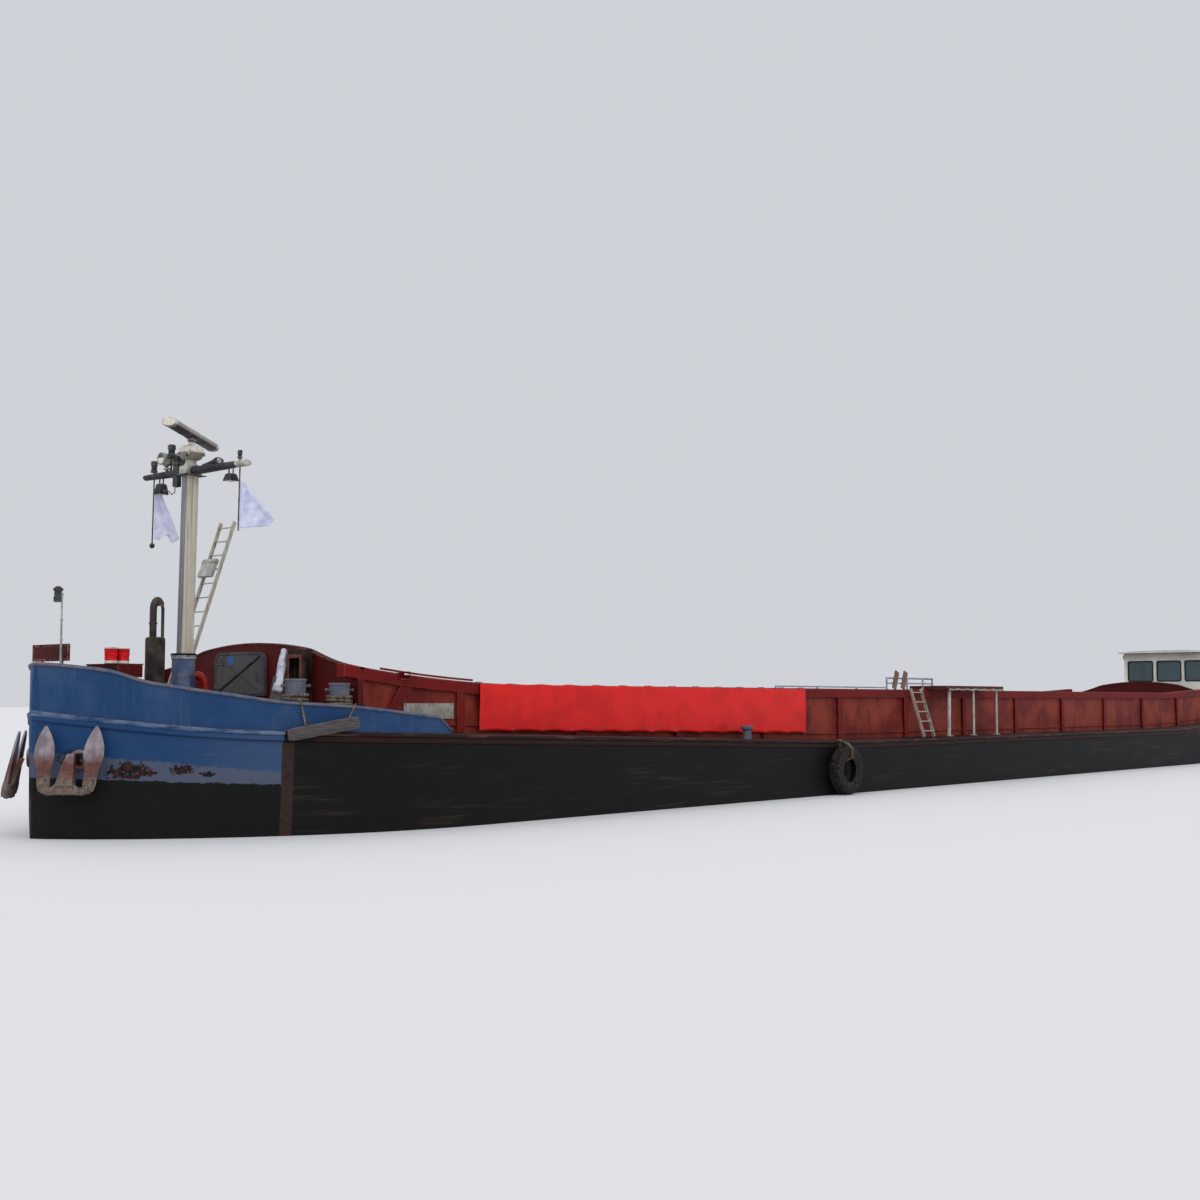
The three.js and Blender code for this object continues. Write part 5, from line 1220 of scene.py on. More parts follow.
# On the housing and the scanner, under gives painted shade to the faces that look down.
radar_cream = weathered("radar_cream", (214, 209, 198), (190, 184, 174), rust=0.03, runs=0.4,
                        worn=(132, 126, 116), cloud=0.1, run_paint=(124, 116, 100),
                        under=(134, 128, 118))
scanner_skin = weathered("scanner_skin", (164, 156, 156), (136, 128, 128), rust=0.1, runs=0.6,
                         worn=(176, 172, 170), cloud=0.09, run_paint=(108, 92, 84),
                         under=(62, 56, 56))
gearbox = Steelwork().turned((0, 0, GEARBOX_FOOT), [
    (0, 0.1), (0.008, 0.13), (0.03, 0.165), (0.075, 0.194), (0.09, 0.2), (0.091, 0.226), (0.099, 0.228),
    (0.1, 0.212), (0.105, 0.212), (0.106, 0.224), (0.113, 0.222), (0.114, 0.209), (0.175, 0.205),
    (0.208, 0.192), (0.224, 0.165), (0.231, 0.11), (0.236, 0.07), (0.27, 0.058), (0.3, 0.052),
    (0.3, 0.02),
], sides=40)
for k in range(4):
    turn_by = math.radians(45 + 90 * k)
    out = Vector((math.cos(turn_by), math.sin(turn_by), 0))
    gearbox.bar(out * 0.21 + Vector((0, 0, GEARBOX_FOOT + 0.07)),
                out * 0.21 + Vector((0, 0, GEARBOX_FOOT + 0.135)), 0.016, 10)
fit(gearbox.place(masthead), "radar_housing", radar_cream, "mast_body", "cream_plastic", ["radar_gearbox"],
    bevel=0.003)
plug = Steelwork().turned((0.145, 0.1, GEARBOX_FOOT + 0.058), [(0, 0.024), (0.016, 0.024), (0.017, 0.006)],
                          (0.7, 0.5, -0.25), 16)
fit(plug.place(masthead), "housing_plug", head_dark, "mast_body", "black_paint")
scanner_place = (masthead @ Matrix.Translation((0, 0, SCANNER_FOOT))
                 @ Matrix.Rotation(math.radians(-53), 4, "Z"))


def scanner_section(y, share):
    """The scanner's flat oval at one place along it."""
    shape = []
    for angle in around(28):
        shape.append((0.108 * share * math.copysign(abs(math.cos(angle)) ** 0.75, math.cos(angle)), y,
                      0.108 + 0.074 * share * math.copysign(abs(math.sin(angle)) ** 0.85, math.sin(angle))))
    return shape


beam = Steelwork().skin([scanner_section(y, share) for y, share in (
    (-1.08, 0.95), (-1.06, 0.97), (-0.5, 0.97), (-0.49, 1.0), (-0.4, 1.0), (-0.39, 0.97), (-0.12, 0.97),
    (-0.11, 1.02), (0.11, 1.02), (0.12, 0.97), (0.39, 0.97), (0.4, 1.0), (0.49, 1.0), (0.5, 0.97),
    (1.06, 0.97), (1.08, 0.95),
)])
beam.turned((0, 0, 0), [(0, 0.06), (0.006, 0.07), (0.02, 0.07), (0.04, 0.05)], sides=24)
beam.block(-0.05, 0.05, -0.1, 0.1, 0.022, 0.06)
fit(beam.place(scanner_place), "scanner_beam", scanner_skin, "scanner", "cream_plastic", ["radar_scanner"],
    bevel=0.003)
ends = Steelwork()
for sign in (-1, 1):
    ends.skin([scanner_section(sign * y, share) for y, share in (
        (1.07, 0.96), (1.072, 1.03), (1.165, 1.03), (1.18, 0.98), (SCANNER_REACH, 0.9))])
fit(ends.place(scanner_place), "scanner_caps", radar_cream, "scanner", "cream_plastic")

# Two plain white flags hang in folds from thin poles under the arms. They are light woven polyester with a
# stitched hem, and the starboard pole ends in a ball.
flag_white = Coat("flag_cloth")
weave = flag_white.node("ShaderNodeTexWave", {"Vector": flag_white.place, "Scale": 190.0}, 1,
                        wave_type="BANDS", bands_direction="Z")
flag_tone = flag_white.over((208, 209, 229), (178, 181, 208),
                            flag_white.step(flag_white.grain(0.09, 4), 0.35, 0.68))
flag_tone = flag_white.over(flag_tone, (156, 160, 190), flag_white.both(
    flag_white.step(flag_white.grain(0.03, 5), 0.5, 0.75, 0.5), flag_white.step(weave, 0.3, 0.7)))
flag_white.shader.inputs["Sheen Weight"].default_value = 0.3
flag_white.spread(flag_tone, 0.8, weave, 0.0004)
FLAG_TURN = math.radians(40)
# Each flag's place on its arm, its pole's foot and ball, its edge along the pole and its free edge as
# (out, up) points, how deep its foot is notched, and its flat width, length and area in model metres.
FLAGS = {
    "port": (1.3, -0.98, 0, [(0.016, -0.2), (0.02, -0.95)], [(0.07, -0.21), (0.57, -0.8), (0.5, -0.9)], 0.0,
             (0.295, 0.385), 0.066),
    "starboard": (-1.01, -1.08, 0.045, [(0.016, -0.2), (0.03, -0.96)],
                  [(0.13, -0.22), (0.36, -0.72), (0.46, -0.96), (0.34, -1.04)], 0.13, (0.235, 0.43), 0.055),
}


def along_line(points, share):
    """A point part of the way along a bent line."""
    lengths = [math.dist(a, b) for a, b in zip(points, points[1:])]
    left = share * sum(lengths)
    for (a, b), length in zip(zip(points, points[1:]), lengths):
        if left <= length:
            return [a[i] + (b[i] - a[i]) * left / length for i in (0, 1)]
        left -= length
    return list(points[-1])


for side, (y, pole_foot, ball, hoist, fly, notch, flat, area) in FLAGS.items():
    stand = masthead @ Matrix.Translation((0, y, 0)) @ Matrix.Rotation(FLAG_TURN, 4, "Z")
    columns, rows = 28, 44
    cloth = Steelwork()
    for j in range(rows + 1):
        start, end = along_line(hoist, j / rows), along_line(fly, j / rows)
        for i in range(columns + 1):
            u, v = i / columns, j / rows
            swing = 0.028 * math.sin(9.5 * u - 3.2 * v + 0.8) * u**0.7 * (0.3 + v)
            swing += 0.012 * math.sin(19 * u + 5 * v) * u * v
            sag = -0.018 * math.sin(math.pi * u) * (1 - v) + notch * v**9 * clamp(1 - abs(u - 0.62) / 0.35)
            cloth.points.append((swing, start[0] + (end[0] - start[0]) * u,
                                 start[1] + (end[1] - start[1]) * u + sag))
    for j in range(rows):
        for i in range(columns):
            corner = j * (columns + 1) + i
            cloth.faces.append((corner, corner + 1, corner + columns + 2, corner + columns + 1))
    flag_piece = fit(cloth.place(stand), "flag_cloth_" + side, flag_white.material, "mast_body",
                     "flag_cloth", ["flag_" + side], crease=80)
    weft = flag_piece.modifiers.new("cloth_thickness", "SOLIDIFY")
    weft.thickness = 0.0012
    weft.offset = 0
    pole = Steelwork().bar((0, 0, pole_foot), (0, 0, 0.03), 0.012, 14)
    pole.turned((0, 0, pole_foot - 0.01), [(0, 0.006), (0.004, 0.014), (0.02, 0.014), (0.024, 0.012)],
                sides=14)
    if ball:
        rounds = [math.pi * k / 10 for k in range(11)]
        pole.turned((0, 0, pole_foot - ball),
                    [(ball - ball * math.cos(a), ball * math.sin(a)) for a in rounds], sides=20)
    for z in (-0.21, -0.5, -0.8):
        pole.turned((0, 0, z), [(0, 0.0125), (0.001, 0.017), (0.009, 0.017), (0.01, 0.0125)], sides=14)
    fit(pole.place(stand), "flag_pole_" + side, head_dark, "mast_body", "black_paint")

# The banner is a plain red PVC sheet stretched along the port coaming. It is laced to the rim through the
# eyelets along its head, and more run along its foot. Tension creases run between its ties.
BANNER_FORE, BANNER_AFT, BANNER_OUT = 20.8, 10.55, 2.702
banner_red = Coat("banner_red")
fabric = banner_red.node("ShaderNodeTexWave", {"Vector": banner_red.place, "Scale": 150.0}, 1,
                         wave_type="BANDS", bands_direction="X")
banner_tone = banner_red.over((214, 36, 32), (198, 31, 29),
                              banner_red.step(banner_red.grain(0.3, 3), 0.4, 0.65))
banner_tone = banner_red.over(banner_tone, (164, 34, 36), banner_red.step(
    banner_red.grain(0.06, 5, 0.6, (2, 1, 1)), 0.6, 0.8, 0.6))
banner_red.shader.inputs["Coat Weight"].default_value = 0.15
banner_red.spread(banner_tone, 0.5, fabric, 0.0003)
columns, rows = 260, 20
sheet_work = Steelwork()
TIES = 13


def banner_head(u):
    """The height of its upper edge at a share of its length, which rises forward like the lower one."""
    return 3.76 + 0.03 * u


def banner_hem(u):
    return 2.78 + 0.19 * u


for j in range(rows + 1):
    for i in range(columns + 1):
        u, v = i / columns, j / rows
        x = BANNER_AFT + (BANNER_FORE - BANNER_AFT) * u
        top, bottom = banner_head(u), banner_hem(u)
        tie = abs(math.sin(math.pi * TIES * u))
        top -= 0.014 * tie
        bottom += 0.02 * tie + 0.006 * noise.noise(Vector((x * 2.1, 4.4, 0)))
        z = bottom + (top - bottom) * v
        crease = noise.noise(Vector((x * 1.1 - v * 1.6, v * 1.3, 7.7))) + 0.5 * noise.noise(
            Vector((x * 3.4 + v * 2.4, v * 0.9, 1.2)))
        ripple = math.cos(2 * math.pi * TIES * u) * (2 * v - 1) ** 4
        out = 0.012 * crease + 0.005 * ripple + 0.008 * math.sin(math.pi * v)
        sheet_work.points.append((x, BANNER_OUT + max(-0.012, min(0.03, out)), z))
for j in range(rows):
    for i in range(columns):
        corner = j * (columns + 1) + i
        sheet_work.faces.append((corner, corner + columns + 1, corner + columns + 2, corner + 1))
banner_piece = fit(sheet_work, "banner_sheet", banner_red.material, "hull", "banner_cloth", ["banner"],
                   crease=80)
layer = banner_piece.modifiers.new("sheet_thickness", "SOLIDIFY")
layer.thickness = 0.0012
layer.offset = 0
eyelet_spots, lashings = [], Steelwork()
for k in range(TIES + 1):
    x = BANNER_AFT + 0.05 + (BANNER_FORE - BANNER_AFT - 0.1) * k / TIES
    top = banner_head(k / TIES) - 0.03
    for z in (top, banner_hem(k / TIES) + 0.04):
        eyelet_spots.append(((x, BANNER_OUT + 0.004, z), (math.pi / 2, 0, 0), PLAIN))
    lashings.pipe([(x, BANNER_OUT - 0.002, top), (x, BANNER_OUT + 0.01, top + 0.02),
                   (x, 2.69, coaming_top(x) + 0.008), (x, 2.66, coaming_top(x) + 0.01),
                   (x + 0.02, 2.55, coaming_top(x) + 0.008)], 0.006, 8)
eyelets = repeated("banner_eyelets", "ring", eyelet_spots, bare_alloy, Radius=0.016, Thickness=0.005)
eyelet_piece = fit(eyelets, "banner_eyelets", bare_alloy, "hull", "galvanised")
lashing_piece = fit(lashings, "banner_lashings", rope.material, "hull", "flag_cloth")

# The jackstaff is a thin white pole at the stem with a dark lamp at its head. Beside it the name board, a
# red wooden board left blank, stands on two flat legs.
JACK_X, JACK_TOP = 27.08, 5.12
staff_white = weathered("staff_white", (176, 172, 168), (150, 146, 142), rust=0.12, runs=0.3,
                        worn=(108, 102, 96), cloud=0.1)
JACK_TALL = JACK_TOP - sheer(JACK_X) - 0.03
staff = Steelwork().turned((JACK_X, 0, sheer(JACK_X) + 0.03), [
    (0, 0.04), (0.012, 0.04), (0.014, 0.02), (JACK_TALL - 0.03, 0.014), (JACK_TALL - 0.025, 0.022),
    (JACK_TALL - 0.005, 0.022), (JACK_TALL, 0.004),
], sides=18)
for z in (4.4, 4.7):
    staff.turned((JACK_X, 0, z), [(0, 0.016), (0.004, 0.024), (0.026, 0.024), (0.03, 0.016)], sides=16)
fit(staff, "jackstaff_pole", staff_white, "hull", "white_paint", ["jackstaff"])
LAMP_X, LAMP_Y = 27.11, -0.06
jack_lamp = Steelwork().turned((LAMP_X, LAMP_Y, 4.98), [
    (0, 0.05), (0.005, 0.066), (0.085, 0.066), (0.09, 0.056), (0.17, 0.056), (0.175, 0.075), (0.205, 0.075),
    (0.215, 0.06), (0.24, 0.03)], sides=24)
jack_lamp.bar((JACK_X + 0.005, -0.005, 5.02), (LAMP_X - 0.01, -0.045, 5.02), 0.01, 8)
fit(jack_lamp, "jackstaff_lamp", head_dark, "hull", "black_paint", bevel=0.003)
board_paint = weathered("board_paint", (78, 24, 26), (58, 22, 25), rust=0.08, runs=0.35,
                        worn=(160, 120, 110), cloud=0.2)
board = Steelwork().block(26.983, 27.015, -0.9, 0.1, 4.09, 4.35)
for y0, y1, z0, z1 in ((-0.9, 0.1, 4.322, 4.35), (-0.9, 0.1, 4.09, 4.118), (-0.9, -0.872, 4.118, 4.322),
                       (0.072, 0.1, 4.118, 4.322)):
    board.block(27.013, 27.022, y0, y1, z0, z1)
for y in (-0.66, -0.1):
    board.block(26.982, 27.0, y - 0.02, y + 0.02, sheer(27) + 0.06, 4.3)
fit(board, "name_board_wood", board_paint, "hull", "oxide_paint", ["name_board"], bevel=0.003)

# An open steel locker with a brown frame stands against the fore wall. Beside it lean some grey boards,
# with a white cover rolled round their upper ends.
locker_dark = weathered("locker_dark", (34, 28, 28), (52, 42, 40), rust=0.4, runs=0.3,
                        worn=(110, 80, 66), cloud=0.15)
locker_foot = sheer(23.8) + 0.058
case = Steelwork().block(23.52, 23.69, 1.14, 1.57, locker_foot, 4.33)
case = Steelwork().take(cut_out(case, [Steelwork().block(23.56, 23.9, 1.18, 1.5, 3.5, 4.22)], "locker_case"))
case.block(23.56, 23.68, 1.17, 1.51, 3.82, 3.84)
case.pipe([(23.68, 1.55, 4.33), (23.7, 1.56, 3.9), (23.68, 1.54, locker_foot + 0.05)], 0.03, 10)
fit(case, "locker_case", locker_dark, "hull", "black_paint", ["locker"], bevel=0.005)
frame_brown = weathered("frame_brown", (104, 62, 52), (82, 50, 44), rust=0.35, runs=0.2,
                        worn=(140, 96, 80), cloud=0.1)
locker_frame = Steelwork()
for y0, y1, z0, z1 in ((1.14, 1.52, 4.18, 4.235), (1.14, 1.19, 3.52, 4.18), (1.465, 1.52, 3.52, 4.18),
                       (1.14, 1.52, 3.47, 3.52)):
    locker_frame.block(23.68, 23.705, y0, y1, z0, z1)
fit(locker_frame, "locker_frame", frame_brown, "hull", "oxide_paint", bevel=0.004)
BUNDLE_FOOT, BUNDLE_TOP = Vector((24.1, 1.3, 3.09)), Vector((23.62, 0.98, 4.34))
cover_white = Coat("cover_white")
cover_tone = cover_white.over((190, 190, 202), (146, 146, 160), cover_white.step(
    cover_white.grain(0.05, 5), 0.38, 0.68))
cover_white.spread(cover_tone, 0.7, cover_white.grain(0.03, 5), 0.003)
along = BUNDLE_TOP - BUNDLE_FOOT
aside = Vector((0, 1, 0))
ahead = along.cross(aside).normalized()
roll = []
for k in range(30):
    share = 0.42 + 0.58 * k / 29
    thick = 0.085 * (1.25 - 0.62 * share + 0.06 * math.sin(17 * share)) * (0.55 if k in (0, 29) else 1)
    ring = []
    for angle in around(36):
        fold = 1 + 0.13 * math.sin(5 * angle + 4 * share) + 0.07 * math.sin(9 * angle - 7 * share)
        ring.append(BUNDLE_FOOT + along * share
                    + (aside * math.cos(angle) * 1.1 + ahead * math.sin(angle) * 0.8) * thick * fold)
    roll.append(ring)
fit(Steelwork().skin(roll), "rolled_cover", cover_white.material, "hull", "white_paint", ["wrapped_bundle"],
    crease=75)
grey_wood = Coat("grey_wood")
wood_grain = grey_wood.grain(0.008, 5, 0.6, (14, 14, 1))
wood_tone = grey_wood.over((88, 82, 82), (62, 60, 62), grey_wood.step(wood_grain, 0.38, 0.65))
wood_tone = grey_wood.over(wood_tone, (112, 106, 102), grey_wood.edges(0.01))
grey_wood.spread(wood_tone, 0.85, wood_grain, 0.001)
boards = Steelwork()
for start, stop, out, thick in ((0.0, 0.62, -0.07, 0.03), (0.02, 0.7, -0.02, 0.028),
                                (0.01, 0.5, 0.03, 0.03)):
    foot, head = BUNDLE_FOOT + along * start, BUNDLE_FOOT + along * stop
    corners = [aside * (out + 0.055) + ahead * thick / 2, aside * (out - 0.045) + ahead * thick / 2,
               aside * (out - 0.045) - ahead * thick / 2, aside * (out + 0.055) - ahead * thick / 2]
    boards.skin([[foot + c + ahead * out * 0.5 for c in corners],
                 [head + c + ahead * out * 0.5 for c in corners]])
fit(boards, "leaning_boards", grey_wood.material, "hull", "grey_wood", bevel=0.004)

# A light alloy ladder leans over the fore wall's edge, and a short one leads up to the platform. Their
# rails are flat channels, and the rungs are pressed into them.


def two_toned(name, first, second, grain, low, high, roughness, depth, metallic=0.0):
    """A finish whose second tone and relief both follow one grain."""
    coat = Coat(name, metallic)
    pattern = coat.grain(*grain)
    tone = coat.over(first, second, coat.step(pattern, low, high))
    return coat.spread(tone, roughness, pattern, depth)


ladder_alloy = two_toned("ladder_alloy", (182, 176, 162), (146, 140, 130), (0.02, 5, 0.6, (1, 1, 6)),
                         0.4, 0.68, 0.45, 0.0005, metallic=0.6)


def ladder(name, foot, head, half, rungs, across, unit, turn, **sizes):
    """Two channel rails with rungs between them."""
    foot, head, across = Vector(foot), Vector(head), Vector(across)
    way = (head - foot).normalized()
    deep = way.cross(across)
    work = Steelwork()
    for end in (-1, 1):
        middle = across * half * end
        section = [(0.012, 0.035), (0.012, -0.035), (-0.012, -0.035), (-0.012, -0.026), (0.004, -0.026),
                   (0.004, 0.026), (-0.012, 0.026), (-0.012, 0.035)]
        work.skin([[point + middle + across * end * a + deep * b for a, b in section]
                   for point in (foot, head)])
    places = [(tuple(foot.lerp(head, (k + 0.6) / rungs)), turn, PLAIN) for k in range(rungs)]
    return work.take(repeated(name + "_rungs", unit, places, ladder_alloy, **sizes))


fore_ladder = ladder("fore_ladder", (24.0, -1.78, 3.1), (22.56, -1.99, 6.73), 0.2, 14, (0, 1, 0), "rod",
                     (math.pi / 2, 0, 0), Radius=0.014, Height=0.4)
fit(fore_ladder, "fore_ladder", ladder_alloy, "hull", "galvanised", ["ladder_fore"])
ladder_box = Steelwork().block(-0.03, 0.03, -0.2, 0.2, -0.17, 0.17)
ladder_box.block(-0.036, 0.036, -0.21, 0.21, 0.1, 0.125)
ladder_box.place(Matrix.Translation((22.95, -2.03, 5.87)) @ Matrix.Rotation(-0.377, 4, "Y"))
fit(ladder_box, "ladder_box", staff_white, "hull", "white_paint")
side_ladder = ladder("side_ladder", (5.74, 3.15, 2.63), (5.62, 2.73, 3.79), 0.25, 5, (1, 0, 0), "block",
                     (0.15, 0, 0), Length=0.49, Width=0.07, Height=0.022)
fit(side_ladder, "side_ladder", ladder_alloy, "hull", "galvanised", ["ladder_side"])

# Blank number plates of painted steel, once white, are screwed to both coamings near their fore ends. Two
# brackets hold each of them a little off the plating.
plate_white = weathered("plate_white", (150, 147, 140), (128, 124, 116), rust=0.1, runs=0.35,
                        worn=(112, 88, 80), cloud=0.12, run_paint=(112, 84, 76))
plate = Steelwork().block(21.35, 22.49, COAMING_OUT + 0.016, COAMING_OUT + 0.028, 3.19, 3.45)
screws = [((x, COAMING_OUT + 0.028, z), (math.pi / 2, 0, 0), PLAIN)
          for x in (21.4, 21.92, 22.44) for z in (3.22, 3.42)]
plate.take(repeated("plate_screws", "rod", screws, plate_white, Radius=0.012, Height=0.012))
for x in (21.5, 22.34):
    plate.block(x - 0.03, x + 0.03, COAMING_OUT - 0.01, COAMING_OUT + 0.017, 3.2, 3.44)
fit_pair(plate, "number_plate_blank_", plate_white, "white_paint", "number_plate_")

# A worn wooden plank hangs outside the bulwark as a fender, on two short lines over the rail. An old rubber
# tyre hangs on two lines at the side, farther aft.
PLANK_LONG, PLANK_HALF, PLANK_DEEP = 1.12, 0.04, 0.19
plank_place = (Matrix.Translation((23.85, 3.07, 3.16)) @ Matrix.Rotation(-0.384, 4, "Z")
               @ Matrix.Rotation(0.172, 4, "Y"))
plank_rings = []
for k in range(15):
    share = k / 14
    bow_in = 0.006 * noise.noise(Vector((share * 4, 1.5, 0)))
    chew = 0.02 if k in (0, 14) else 0.0
    half = PLANK_DEEP / 2 * (1 + 0.05 * noise.noise(Vector((share * 6, 8.1, 0)))) - chew
    side_half = PLANK_HALF - chew * 0.4
    plank_rings.append([
        (PLANK_LONG * share, side_half * a + bow_in, half * b) for a, b in (
            (-1, -0.9), (-0.85, -1), (0.85, -1), (1, -0.9), (1, 0.9), (0.85, 1), (-0.85, 1), (-1, 0.9))])
fit(Steelwork().skin(plank_rings).place(plank_place), "fender_plank_wood", grey_wood.material, "hull",
    "grey_wood", ["fender_plank"], crease=50)
plank_lines = Steelwork()
for x, share in ((24.64, 0.74), (23.82, 0.12)):
    over_rail = Vector((x, half_deck(x) + 0.03, smooth_rail(x) + 0.015))
    tie = plank_place @ Vector((PLANK_LONG * share, 0, PLANK_DEEP / 2 - 0.01))
    plank_lines.pipe([over_rail - Vector((0, 0.12, 0.05)), over_rail, over_rail.lerp(tie, 0.5), tie],
                     0.014, 10)
fit(plank_lines, "plank_lines", rope.material, "hull", "flag_cloth")
tyre_black = two_toned("tyre_black", (36, 34, 34), (70, 64, 60), (0.02, 5, 0.6), 0.42, 0.72, 0.8, 0.0012)
TYRE_MIDDLE, TYRE_RING = Vector((10.18, 3.505, 1.99)), 0.385
tyre_section = [(-0.13, -0.09), (-0.04, -0.13), (0.06, -0.138), (0.12, -0.115), (0.137, -0.06), (0.14, 0.06),
                (0.12, 0.115), (0.06, 0.138), (-0.04, 0.13), (-0.13, 0.09), (-0.1, 0.06), (0.04, 0.095),
                (0.085, 0.05), (0.085, -0.05), (0.04, -0.095), (-0.1, -0.06)]
tyre_work = Steelwork().skin([[
    TYRE_MIDDLE + Vector(((TYRE_RING + r) * math.cos(a), s, (TYRE_RING + r) * math.sin(a)))
    for r, s in tyre_section
] for a in around(48)], True)
TREAD_OUT = TYRE_RING + 0.134
tread = [(tuple(TYRE_MIDDLE + Vector((TREAD_OUT * math.cos(a), shift, TREAD_OUT * math.sin(a)))),
          (0, -a, 0), PLAIN) for a in around(44) for shift in (-0.05, 0.05)]
tyre_work.take(repeated("tyre_tread", "block", tread, tyre_black,
                        Length=0.018, Width=0.075, Height=0.046))
fit(tyre_work, "tyre", tyre_black, "hull", "tyre_rubber", ["tyre_fender"])
tyre_line = Steelwork()
for x in (-0.05, 0.05):
    tyre_line.pipe([TYRE_MIDDLE + Vector(p) for p in (
        (x, -0.2, 0.65), (x, -0.1, 0.63), (x * 0.7, 0.05, 0.56), (x * 0.6, 0.16, 0.45),
        (x * 0.5, 0.15, 0.27), (x * 0.5, 0.0, 0.2), (x * 0.5, -0.15, 0.27), (x * 0.7, -0.16, 0.6),
    )], 0.016, 10)
fit(tyre_line, "tyre_line", rope.material, "hull", "flag_cloth")

# The loading platform is a deck of worn grey planks laid between red-brown steel beams. It reaches from the
# coaming outwards, and three white posts from the side deck carry it.
PLAT_FORE, PLAT_AFT, PLAT_IN, PLAT_OUT, PLAT_Z = 4.95, 1.9, 2.2, 3.26, RIM_TOP + GAP
beam_paint = weathered("beam_paint", (78, 40, 43), (60, 36, 40), rust=0.25, runs=0.3,
                       worn=(130, 90, 80), cloud=0.3)
edge_beam = Steelwork().block(PLAT_AFT, PLAT_FORE, PLAT_OUT - 0.04, PLAT_OUT, PLAT_Z, PLAT_Z + 0.098)
edge_beam.block(PLAT_AFT, PLAT_FORE, PLAT_IN, PLAT_IN + 0.04, PLAT_Z, PLAT_Z + 0.098)
for x in (PLAT_AFT, PLAT_FORE - 0.05):
    edge_beam.block(x, x + 0.05, PLAT_IN + 0.03, PLAT_OUT - 0.03, PLAT_Z, PLAT_Z + 0.098)
fit(edge_beam, "platform_beams", beam_paint, "hull", "oxide_paint", ["loading_platform"], bevel=0.006)
plank_wide = (PLAT_OUT - PLAT_IN - 0.1) / 5
planks = [((PLAT_AFT + 0.35 + 0.59 * k, PLAT_IN + 0.05 + plank_wide * (row + 0.5), PLAT_Z + 0.075),
           UPRIGHT, PLAIN) for row in range(5) for k in range(5)]
fit(repeated("platform_planks", "block", planks, grey_wood.material, Length=0.58, Width=plank_wide - 0.012,
             Height=0.045), "platform_planks", grey_wood.material, "hull", "grey_wood")
chafing_strip = Steelwork().skin([[
    (x, PLAT_OUT - 0.002, PLAT_Z - 0.012 + sway), (x, PLAT_OUT + 0.008, PLAT_Z - 0.012 + sway),
    (x, PLAT_OUT + 0.008, PLAT_Z + 0.03 + sway), (x, PLAT_OUT - 0.002, PLAT_Z + 0.03 + sway)]
    for x, sway in ((PLAT_AFT + 0.1 * k, 0.008 * math.sin(1.3 * k)) for k in range(31))])
fit(chafing_strip, "platform_strip", plate_white, "hull", "white_paint")
posts = Steelwork()
for x, lean, thick in ((4.66, 0.04, 0.042), (3.37, 0, 0.03), (2.08, 0, 0.03)):
    posts.bar((x + lean, 3.14, DECK_EDGE + 0.03), (x, 3.14, PLAT_Z + 0.02), thick, 16)
    posts.block(x - 0.07, x + 0.07, 3.07, 3.21, DECK_EDGE + 0.028, DECK_EDGE + 0.045)
fit(posts, "platform_posts", staff_white, "hull", "white_paint")

# A galvanised tubular rail stands on the coaming forward of the platform, whose deck carries its last
# upright, and runs on as a low hand rail. Two brown boards lean against it.
rail_zinc = weathered("rail_zinc", (142, 142, 147), (118, 118, 124), rust=0.08, runs=0.3,
                      worn=(164, 164, 166), cloud=0.1)
RAIL_Y, RAIL_FOOT, RAIL_TOP, RAIL_LOW, HAND_Z = 2.6, RIM_TOP + GAP, 4.04, 3.92, 3.812
tubes = Steelwork()
for x, foot, head, thick in ((4.52, PLAT_Z + 0.1, RAIL_TOP, 0.021), (5.01, RAIL_FOOT, RAIL_TOP, 0.021),
                             (5.8, RAIL_FOOT, RAIL_TOP, 0.021), (6.79, RAIL_FOOT, RAIL_TOP, 0.021),
                             (8.2, RAIL_FOOT, HAND_Z, 0.015), (9.9, RAIL_FOOT, HAND_Z, 0.015),
                             (11.57, RAIL_FOOT, HAND_Z, 0.015)):
    tubes.bar((x, RAIL_Y, foot), (x, RAIL_Y, head), thick, 14)
    tubes.turned((x, RAIL_Y, foot), [(0, 0.04), (0.01, 0.04), (0.012, 0.02)], sides=16)
tubes.pipe([(4.5, RAIL_Y, RAIL_TOP), (6.81, RAIL_Y, RAIL_TOP)], 0.021, 14)
tubes.pipe([(4.52, RAIL_Y, RAIL_LOW), (6.8, RAIL_Y, RAIL_LOW)], 0.016, 14)
tubes.pipe([(6.8, RAIL_Y, HAND_Z), (11.58, RAIL_Y, HAND_Z)], 0.015, 12)
fit(tubes, "rail_tubes", rail_zinc, "hull", "galvanised", ["platform_rail"])
brown_wood = two_toned("brown_wood", (126, 104, 94), (86, 70, 66), (0.008, 5, 0.6, (1, 1, 14)),
                       0.38, 0.65, 0.85, 0.001)
leaning = Steelwork()
for x in (6.1, 6.52):
    before = len(leaning.points)
    leaning.block(-0.085, 0.085, -0.018, 0.018, 0, 0.44)
    leaning.place(Matrix.Translation((x, 2.645, 3.79)) @ Matrix.Rotation(-0.37, 4, "Y"), before)
fit(leaning, "leaning_planks", brown_wood, "hull", "grey_wood", bevel=0.005)

